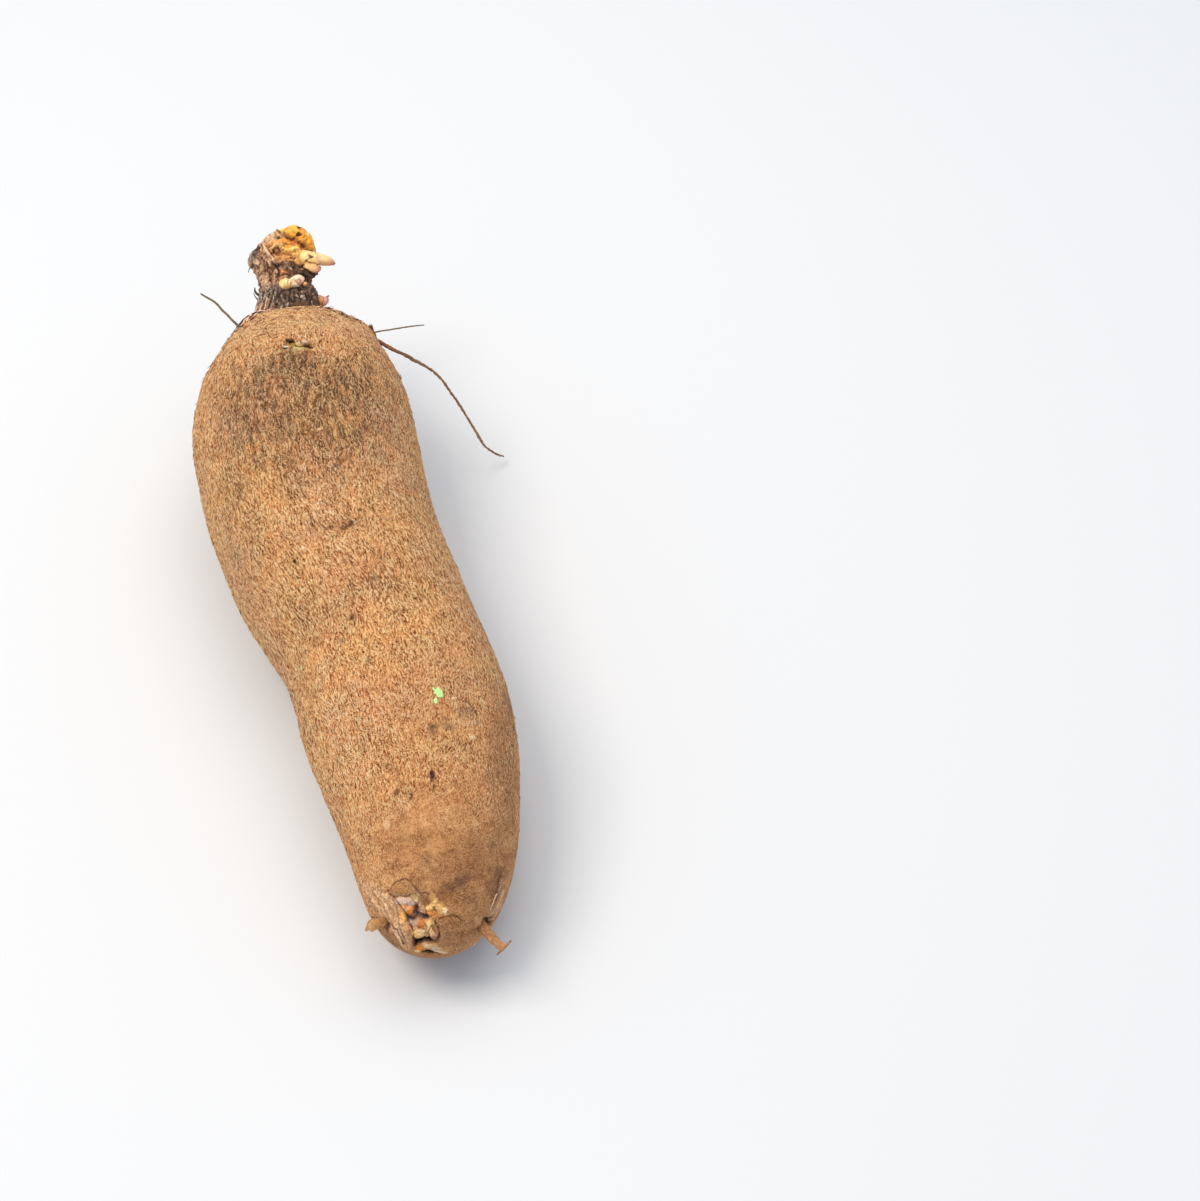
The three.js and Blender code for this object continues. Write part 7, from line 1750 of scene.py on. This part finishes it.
# The green fleck stuck to the skin, a thin irregular scab in two bits.
GREEN = [
    ((19.3, -82.6, 73.6), [(-2.0, 2.0), (-1.2, 1.0), (-0.4, 1.9), (0.5, 2.3), (1.2, 1.4), (1.9, 1.0), (2.2, -0.2), (2.4, -1.4), (1.2, -2.2), (0.3, -2.0), (-0.4, -1.0), (-1.5, -0.7), (-1.1, 0.3), (-1.9, 1.1)]),
    ((18.1, -87.2, 72.9), [(-0.3, 1.4), (0.5, 1.1), (0.8, 0.2), (0.6, -0.9), (0.1, -1.3), (-0.4, -0.6), (-0.8, 0.3)]),
]
h = Heap()
for place, outline in GREEN:
    p, n, f, _k = on_skin(np.array(place))
    right = unit(PLANE_RIGHT - n * (PLANE_RIGHT @ n))
    up = np.cross(n, right)
    up = up if up @ PLANE_UP > 0 else -up
    ring = smooth_rows(np.array(outline + outline[:1]), len(outline) * 5 + 1)[:-1]
    centre = ring.mean(0)
    rings = []
    for share, lift in ((0.35, 0.24), (0.7, 0.26), (0.95, 0.22), (1.0, 0.08), (0.9, -0.3), (0.4, -0.35)):
        at = centre + (ring - centre) * share
        pts = p + at[:, :1] * right + at[:, 1:] * up
        near_pts = np.array([on_skin(x)[0] for x in pts])
        down = ((near_pts - pts) @ n)[:, None] * n
        rings.append(pts + down + n * (lift + 0.05 * fractal(pts, 0.9, 171, 2))[:, None])
    rings = np.array(rings)
    v, t = closed_grid(rings, rings[0].mean(0), rings[-1].mean(0))
    h.add(v, t, paint=linear((192, 236, 152)), wet=np.full(len(v), 0.3))
green = h.make("green_fleck")

# --------------------------------------------------------------- materials


class Paint:
    """A node material being built."""

    def __init__(self, name):
        self.mat = bpy.data.materials.new(name)
        self.mat.use_nodes = True
        self.tree = self.mat.node_tree
        self.tree.nodes.clear()
        self.out = self.tree.nodes.new("ShaderNodeOutputMaterial")
        self.bsdf = self.tree.nodes.new("ShaderNodeBsdfPrincipled")
        self.tree.links.new(self.bsdf.outputs[0], self.out.inputs[0])
        self.x = -300

    def node(self, kind, **values):
        n = self.tree.nodes.new(kind)
        n.location = (self.x, 0)
        self.x -= 40
        for key, value in values.items():
            setattr(n, key, value)
        return n

    def put(self, socket, value):
        if isinstance(value, bpy.types.NodeSocket):
            self.tree.links.new(value, socket)
        elif value is not None:
            socket.default_value = value

    def coords(self):
        if not hasattr(self, "_coords"):
            self._coords = self.node("ShaderNodeTexCoord").outputs["Object"]
        return self._coords

    def attribute(self, name, kind="Fac"):
        n = self.node("ShaderNodeAttribute", attribute_type="GEOMETRY", attribute_name=name)
        return n.outputs[kind]

    def math(self, op, a, b=None, c=None, clamp=False):
        n = self.node("ShaderNodeMath", operation=op, use_clamp=clamp)
        self.put(n.inputs[0], a)
        self.put(n.inputs[1], b)
        self.put(n.inputs[2], c)
        return n.outputs[0]

    def vector(self, op, a, b=None, scale=None, c=None):
        n = self.node("ShaderNodeVectorMath", operation=op)
        self.put(n.inputs[0], a)
        self.put(n.inputs[1], b)
        if c is not None:
            self.put(n.inputs[2], c)
        if scale is not None:
            self.put(n.inputs[3], scale)
        return n.outputs[0]

    def noise(self, cell_mm, detail=0.0, rough=0.5, coords=None, distortion=0.0, offset=0.0):
        n = self.node("ShaderNodeTexNoise", noise_dimensions="3D")
        vec = coords if coords is not None else self.coords()
        if offset:
            vec = self.vector("ADD", vec, (offset, offset * 0.7, -offset * 0.4))
        self.put(n.inputs["Vector"], vec)
        n.inputs["Scale"].default_value = 1000.0 / cell_mm
        n.inputs["Detail"].default_value = detail
        n.inputs["Roughness"].default_value = rough
        n.inputs["Distortion"].default_value = distortion
        return n.outputs["Fac"]

    def streak_noise(self, along, cell_mm, length_mm, samples=5, detail=0.0, offset=0.0, length=None):
        """Noise drawn out along a direction: the mean of samples along it."""
        total = None
        for d in np.linspace(-0.5, 0.5, samples):
            step = float(d * length_mm * MM)
            if length is not None and abs(step) > 0:
                shift = self.vector("SCALE", along, scale=self.math("MULTIPLY", length, step))
                at = self.vector("ADD", self.coords(), shift)
            elif abs(step) > 0:
                n = self.node("ShaderNodeVectorMath", operation="MULTIPLY_ADD")
                self.put(n.inputs[0], along)
                n.inputs[1].default_value = (step, step, step)
                self.put(n.inputs[2], self.coords())
                at = n.outputs[0]
            else:
                at = self.coords()
            value = self.noise(cell_mm, detail, 0.5, at, offset=offset)
            total = value if total is None else self.math("ADD", total, value)
        # back to a mean of 0.5 with the contrast that the mean took away
        gain = 1 / math.sqrt(samples * 2.0) * 1.9
        return self.math("MULTIPLY_ADD", total, gain, 0.5 - 0.5 * samples * gain, clamp=True)

    def ramp(self, fac, stops, interpolation="LINEAR"):
        n = self.node("ShaderNodeValToRGB")
        n.color_ramp.interpolation = interpolation
        els = n.color_ramp.elements
        while len(els) < len(stops):
            els.new(0.5)
        for e, (at, colour) in zip(els, stops):
            e.position = at
            e.color = (*colour, 1) if len(colour) == 3 else colour
        self.put(n.inputs[0], fac)
        return n.outputs[0]

    def level(self, fac, lo, hi, out_lo=0.0, out_hi=1.0, kind="SMOOTHSTEP"):
        n = self.node("ShaderNodeMapRange", interpolation_type=kind, clamp=True)
        self.put(n.inputs["Value"], fac)
        n.inputs["From Min"].default_value = lo
        n.inputs["From Max"].default_value = hi
        n.inputs["To Min"].default_value = out_lo
        n.inputs["To Max"].default_value = out_hi
        return n.outputs[0]

    def mix(self, fac, a, b, blend="MIX"):
        n = self.node("ShaderNodeMix", data_type="RGBA", blend_type=blend, clamp_factor=True)
        self.put(n.inputs[0], fac)
        self.put(n.inputs[6], (*a, 1) if isinstance(a, tuple) and len(a) == 3 else a)
        self.put(n.inputs[7], (*b, 1) if isinstance(b, tuple) and len(b) == 3 else b)
        return n.outputs[2]

    def bump(self, height, distance_mm, strength=1.0, normal=None):
        n = self.node("ShaderNodeBump")
        n.inputs["Strength"].default_value = strength
        n.inputs["Distance"].default_value = distance_mm * MM
        self.put(n.inputs["Height"], height)
        if normal is not None:
            self.put(n.inputs["Normal"], normal)
        return n.outputs[0]

    def finish(self, colour, rough, normal=None, specular=0.35, sheen=0.0, **constants):
        self.put(self.bsdf.inputs["Base Color"], colour)
        self.put(self.bsdf.inputs["Roughness"], rough)
        if normal is not None:
            self.put(self.bsdf.inputs["Normal"], normal)
        self.bsdf.inputs["Specular IOR Level"].default_value = specular
        self.bsdf.inputs["Sheen Weight"].default_value = sheen
        for key, value in constants.items():
            self.bsdf.inputs[key].default_value = value
        return self.mat


def srgb(r, g, b):
    """Linear colour from 0-255 display values."""
    return tuple(((v / 255 + 0.055) / 1.055) ** 2.4 if v > 10 else v / 255 / 12.92 for v in (r, g, b))


def skin_material():
    m = Paint("corky_skin")
    along = m.attribute("fibre_dir", "Vector")
    tip = m.attribute("tip")
    patch = m.attribute("patch")
    tone = m.attribute("tone")
    relief_at = m.attribute("relief")
    mark = m.attribute("mark")
    marked = m.attribute("paint", "Color")
    crownward = m.attribute("crownward")
    reach = m.math("MULTIPLY_ADD", tip, -0.8, m.math("MULTIPLY_ADD", crownward, 1.1, 1.0))
    # short flecks of cork, and the thin crooked wrinkles between them
    flecks = m.streak_noise(along, 0.58, 0.95, 3, 0.0, length=reach)
    fine = m.noise(0.36, 1.0, 0.5, offset=0.31)
    crumbs = m.noise(0.70, 2.0, 0.6, offset=0.44, distortion=0.5)
    crooked = m.streak_noise(along, 0.95, 1.3, 3, 0.0, offset=0.73, length=reach)
    wrinkle = m.level(m.math("ABSOLUTE", m.math("SUBTRACT", crooked, 0.5)), 0.0, 0.085, 1.0, 0.0)
    thread = m.noise(0.62, 0.0, 0.5, offset=0.19, distortion=1.2)
    crease = m.level(m.math("ABSOLUTE", m.math("SUBTRACT", thread, 0.5)), 0.0, 0.045, 1.0, 0.0)
    blend = m.math("MULTIPLY_ADD", flecks, 0.38, m.math("MULTIPLY", m.math("SUBTRACT", fine, 0.23), 0.50))
    blend = m.math("MULTIPLY_ADD", crumbs, 0.34, blend)
    blend = m.math("MULTIPLY_ADD", relief_at, 0.14, blend)  # mean about 0.57
    blend = m.math("MULTIPLY_ADD", wrinkle, m.math("MULTIPLY_ADD", crownward, -0.16, -0.10), blend)
    blend = m.math("MULTIPLY_ADD", crease, -0.07, blend)  # mean about 0.51
    calm = m.noise(11.0, 2.0, 0.5, offset=0.27)
    contrast = m.math("MULTIPLY_ADD", tip, -0.95, m.level(calm, 0.34, 0.64, 1.65, 2.40))
    contrast = m.math("MULTIPLY_ADD", crownward, 0.55, contrast)
    h = m.math("MULTIPLY_ADD", m.math("SUBTRACT", blend, m.math("MULTIPLY_ADD", crownward, -0.055, 0.496)), contrast, 0.5)
    colour = m.ramp(h, [
        (0.17, srgb(95, 47, 25)),
        (0.31, srgb(155, 92, 53)),
        (0.44, srgb(204, 140, 92)),
        (0.57, srgb(230, 169, 119)),
        (0.70, srgb(251, 202, 151)),
        (0.88, srgb(255, 234, 192)),
    ])
    # slow drift between orange, greyish tan and pinkish brown
    warm = m.mix(1.0, colour, srgb(255, 247, 228), "MULTIPLY")
    cool = m.mix(1.0, colour, srgb(249, 240, 233), "MULTIPLY")
    colour = m.mix(m.level(tone, 0.25, 0.75), warm, cool)
    cloud = m.noise(6.5, 3.0, 0.6, offset=0.37, distortion=0.6)
    colour = m.mix(m.level(cloud, 0.52, 0.72, 0.0, 0.60), colour, m.mix(1.0, colour, srgb(214, 204, 198), "MULTIPLY"))
    # painted light: the skin towards the crown is lightened
    colour = m.mix(m.math("MULTIPLY", crownward, 0.8), colour, m.mix(1.0, colour, (1.27, 1.15, 1.14), "MULTIPLY"))
    # tip: smoother and more orange, with soft brown mottles
    mottle = m.noise(2.4, 2.0, 0.5, offset=0.12)
    broad = m.noise(8.0, 2.0, 0.5, offset=0.66)
    soft = m.math("MULTIPLY_ADD", mottle, 0.36, m.math("MULTIPLY", flecks, 0.09))
    soft = m.math("MULTIPLY_ADD", broad, 0.42, soft)
    tip_colour = m.ramp(soft, [
        (0.26, srgb(96, 57, 34)),
        (0.35, srgb(140, 93, 58)),
        (0.435, srgb(174, 124, 83)),
        (0.52, srgb(197, 146, 99)),
        (0.64, srgb(222, 177, 131)),
    ])
    colour = m.mix(m.math("MULTIPLY", tip, 0.84), colour, tip_colour)
    # weathered patch: the valleys between the flecks are grey-brown
    long_streaks = m.streak_noise(along, 2.5, 6.0, 5, 0.0, offset=0.57)
    grey = m.math("MULTIPLY", m.level(long_streaks, 0.68, 0.42), patch)
    grey = m.math("MULTIPLY", grey, m.level(h, 0.80, 0.48))
    veil = m.math("MULTIPLY", patch, 0.34)
    colour = m.mix(veil, colour, srgb(150, 100, 66))
    colour = m.mix(m.math("MULTIPLY", grey, 0.92), colour, srgb(94, 66, 48))
    # scattered dark specks, and a few long cracks
    speck = m.level(m.noise(1.1, 1.0, 0.5, offset=0.83), 0.69, 0.74)
    speck = m.math("MULTIPLY", speck, m.math("MULTIPLY_ADD", tip, -0.75, m.math("MULTIPLY_ADD", crownward, -0.55, 0.8)))
    colour = m.mix(speck, colour, srgb(92, 52, 28))
    crack_at = m.streak_noise(along, 1.9, 6.5, 4, 0.0, offset=0.07)
    crack = m.level(m.math("ABSOLUTE", m.math("SUBTRACT", crack_at, 0.5)), 0.008, 0.034, 1.0, 0.0)
    crack = m.math("MULTIPLY", crack, m.level(m.noise(9.0, 2.0, 0.6, offset=0.61), 0.50, 0.62))
    crack = m.math("MULTIPLY", crack, m.math("MULTIPLY_ADD", tip, -0.9, 0.9))
    colour = m.mix(m.math("MULTIPLY", crack, 0.8), colour, srgb(104, 62, 36))
    # single marks laid out on the mesh, with the skin's grain going on in them
    grained = m.mix(1.0, marked, m.ramp(h, [(0.22, (0.62, 0.60, 0.58)), (0.5, (1.0, 1.0, 1.0)), (0.8, (1.32, 1.32, 1.32))]), "MULTIPLY")
    ragged = m.math("MULTIPLY", m.math("MULTIPLY", mark, m.math("SUBTRACT", 1.0, mark)), m.math("MULTIPLY_ADD", crumbs, 3.2, -1.6))
    colour = m.mix(m.math("ADD", mark, ragged, clamp=True), colour, grained)
    rough = m.level(h, 0.2, 0.9, 0.95, 0.72, "LINEAR")
    grain = m.math("ADD", h, m.math("MULTIPLY", fine, 0.25))
    grain = m.math("MULTIPLY_ADD", crack, -0.5, grain)
    normal = m.bump(m.math("MULTIPLY", grain, m.math("MULTIPLY_ADD", tip, -0.5, 1.0)), 0.55, 1.0)
    return m.finish(colour, rough, normal, specular=0.16)


def bark_material(name, cell_mm, bump_mm, dry=0.93, wet_rough=0.42, specular=0.3, vary=0.22, spots=None):
    """Material of the pieces whose main colours are laid out on the mesh."""
    m = Paint(name)
    base = m.attribute("paint", "Color")
    wet = m.attribute("wet")
    a = m.noise(cell_mm, 4.0, 0.62, offset=0.15)
    b = m.noise(cell_mm * 0.34, 2.0, 0.55, offset=0.53)
    c = m.noise(cell_mm * 2.6, 2.0, 0.5, offset=0.91, distortion=0.4)
    mixed = m.math("MULTIPLY_ADD", a, 0.5, m.math("MULTIPLY_ADD", b, 0.3, m.math("MULTIPLY", c, 0.2)))
    gain = m.ramp(mixed, [(0.30, (1 - 1.6 * vary,) * 3), (0.5, (1.0,) * 3), (0.70, (1 + 1.5 * vary,) * 3)])
    colour = m.mix(1.0, base, gain, "MULTIPLY")
    if spots:
        colour = m.mix(m.math("MULTIPLY", m.level(b, 0.62, 0.74), spots[0]), colour, spots[1])
    rough = m.math("ADD", m.level(wet, 0.0, 1.0, dry, wet_rough, "LINEAR"), m.math("MULTIPLY_ADD", b, 0.16, -0.08), clamp=True)
    normal = m.bump(mixed, bump_mm, 0.85)
    return m.finish(colour, rough, normal, specular=specular)


def sprout_material(name, bump_mm=0.10, rough=0.42, freckles=srgb(196, 132, 92), amount=0.35):
    """Fleshy buds and shoots: waxy, with fine lines along them and freckles."""
    m = Paint(name)
    base = m.attribute("paint", "Color")
    a = m.noise(1.1, 3.0, 0.55, offset=0.22)
    b = m.noise(0.32, 2.0, 0.5, offset=0.77)
    gain = m.ramp(a, [(0.32, (0.84, 0.82, 0.78)), (0.5, (1.0, 1.0, 1.0)), (0.7, (1.06, 1.06, 1.05))])
    colour = m.mix(1.0, base, gain, "MULTIPLY")
    colour = m.mix(m.math("MULTIPLY", m.level(m.noise(0.55, 1.0, 0.5, offset=0.4), 0.64, 0.72), amount), colour, freckles)
    ro = m.math("MULTIPLY_ADD", b, 0.2, rough - 0.1)
    normal = m.bump(m.math("MULTIPLY_ADD", a, 0.6, m.math("MULTIPLY", b, 0.4)), bump_mm, 0.7)
    return m.finish(colour, ro, normal, specular=0.45)


def put_in(ob, material, node):
    ob.data.materials.append(material)
    if node:
        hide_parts(node)
    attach(ob, "root")


put_in(tuber, skin_material(), "tuber")
put_in(crown, bark_material("crown_bark_and_flesh", 1.3, 0.35, spots=(0.55, srgb(74, 50, 34))), "crown")
put_in(crown_scales, bark_material("bark_scales", 0.8, 0.15, dry=0.9, vary=0.25), None)
put_in(shoot_main, sprout_material("shoot_flesh"), "shoot_main")
put_in(shoot_bract, sprout_material("bract_flesh", 0.14, 0.5), "shoot_bract")
put_in(bud_left, sprout_material("bud_left_flesh"), "bud_front_left")
put_in(bud_right, sprout_material("bud_right_flesh", freckles=srgb(222, 150, 130)), "bud_front_right")
put_in(bud_small, sprout_material("bud_small_flesh"), "bud_front_small")
put_in(bud_foot, sprout_material("bud_foot_flesh", 0.16, 0.5, srgb(150, 84, 60), 0.5), "bud_base")
rootlet_look = bark_material("rootlet_bark", 1.0, 0.16, dry=0.85, vary=0.28)
put_in(root_left, rootlet_look, "root_left")
put_in(root_fine, rootlet_look, "root_right_fine")
put_in(root_long, rootlet_look, "root_right_long")
put_in(stub, bark_material("stub_bark", 0.9, 0.25, dry=0.9, vary=0.26, spots=(0.6, srgb(96, 60, 38))), "root_stub_tip")
put_in(tip_flakes, bark_material("loose_skin", 1.0, 0.2, dry=0.88, vary=0.2, spots=(0.5, srgb(140, 92, 58))), None)
sliver_look = bark_material("cork_slivers", 0.9, 0.08, dry=0.88, vary=0.22)
put_in(fibres, sliver_look, None)
put_in(fibres_b, sliver_look, None)
put_in(green, bark_material("green_scab", 0.7, 0.12, dry=0.7, wet_rough=0.6, vary=0.16, spots=(0.4, srgb(214, 232, 160))), None)

# ------------------------------------------------- camera, floor and light

FORWARD = Vector((0.14423, 0.66657, -0.73135))
RIGHT = Vector((0.97738, -0.21149, 0.0))
UP = Vector((0.15467, 0.71481, 0.68200))
camera = bpy.data.objects.new("camera", bpy.data.cameras.new("camera"))
camera.data.lens, camera.data.sensor_width, camera.data.sensor_fit = 75.0, 36.0, "AUTO"
camera.data.clip_start, camera.data.clip_end = 0.01, 50
camera.matrix_world = Matrix((
    (RIGHT.x, UP.x, -FORWARD.x, -0.062684),
    (RIGHT.y, UP.y, -FORWARD.y, -0.714271),
    (RIGHT.z, UP.z, -FORWARD.z, 0.789862),
    (0, 0, 0, 1),
))
bpy.context.scene.collection.objects.link(camera)
bpy.context.scene.camera = camera

floor_mesh = bpy.data.meshes.new("floor")
floor_mesh.from_pydata([(-6, -6, 0), (6, -6, 0), (6, 6, 0), (-6, 6, 0)], [], [(0, 1, 2, 3)])
floor = bpy.data.objects.new("floor", floor_mesh)
bpy.context.scene.collection.objects.link(floor)
fm = Paint("pale_floor")
floor_mesh.materials.append(fm.finish((0.727, 0.758, 0.812, 1), 0.55, specular=0.2))

world = bpy.data.worlds.new("studio")
world.use_nodes = True
world.node_tree.nodes["Background"].inputs[0].default_value = (0.80, 0.90, 1.0, 1)
world.node_tree.nodes["Background"].inputs[1].default_value = 0.67
bpy.context.scene.world = world


def softbox(name, place, target, size, power, colour=(1, 1, 1)):
    light = bpy.data.lights.new(name, "AREA")
    light.shape, light.size, light.size_y = "RECTANGLE", size[0], size[1]
    light.energy, light.color = power, colour
    ob = bpy.data.objects.new(name, light)
    ob.location = place
    ob.rotation_euler = (Vector(target) - Vector(place)).to_track_quat("-Z", "Y").to_euler()
    bpy.context.scene.collection.objects.link(ob)
    return ob


softbox("key", (-1.05, 0.10, 1.95), (0, 0, 0.04), (1.1, 1.1), 29.5, (1.0, 0.863, 0.695))
softbox("top", (0.35, 0.45, 2.0), (0, 0, 0.04), (1.6, 1.6), 15.6, (1.0, 0.863, 0.695))

view = bpy.context.scene.view_settings
view.view_transform = "Standard"
view.look = "None"
view.exposure = 0.0
view.gamma = 1.0
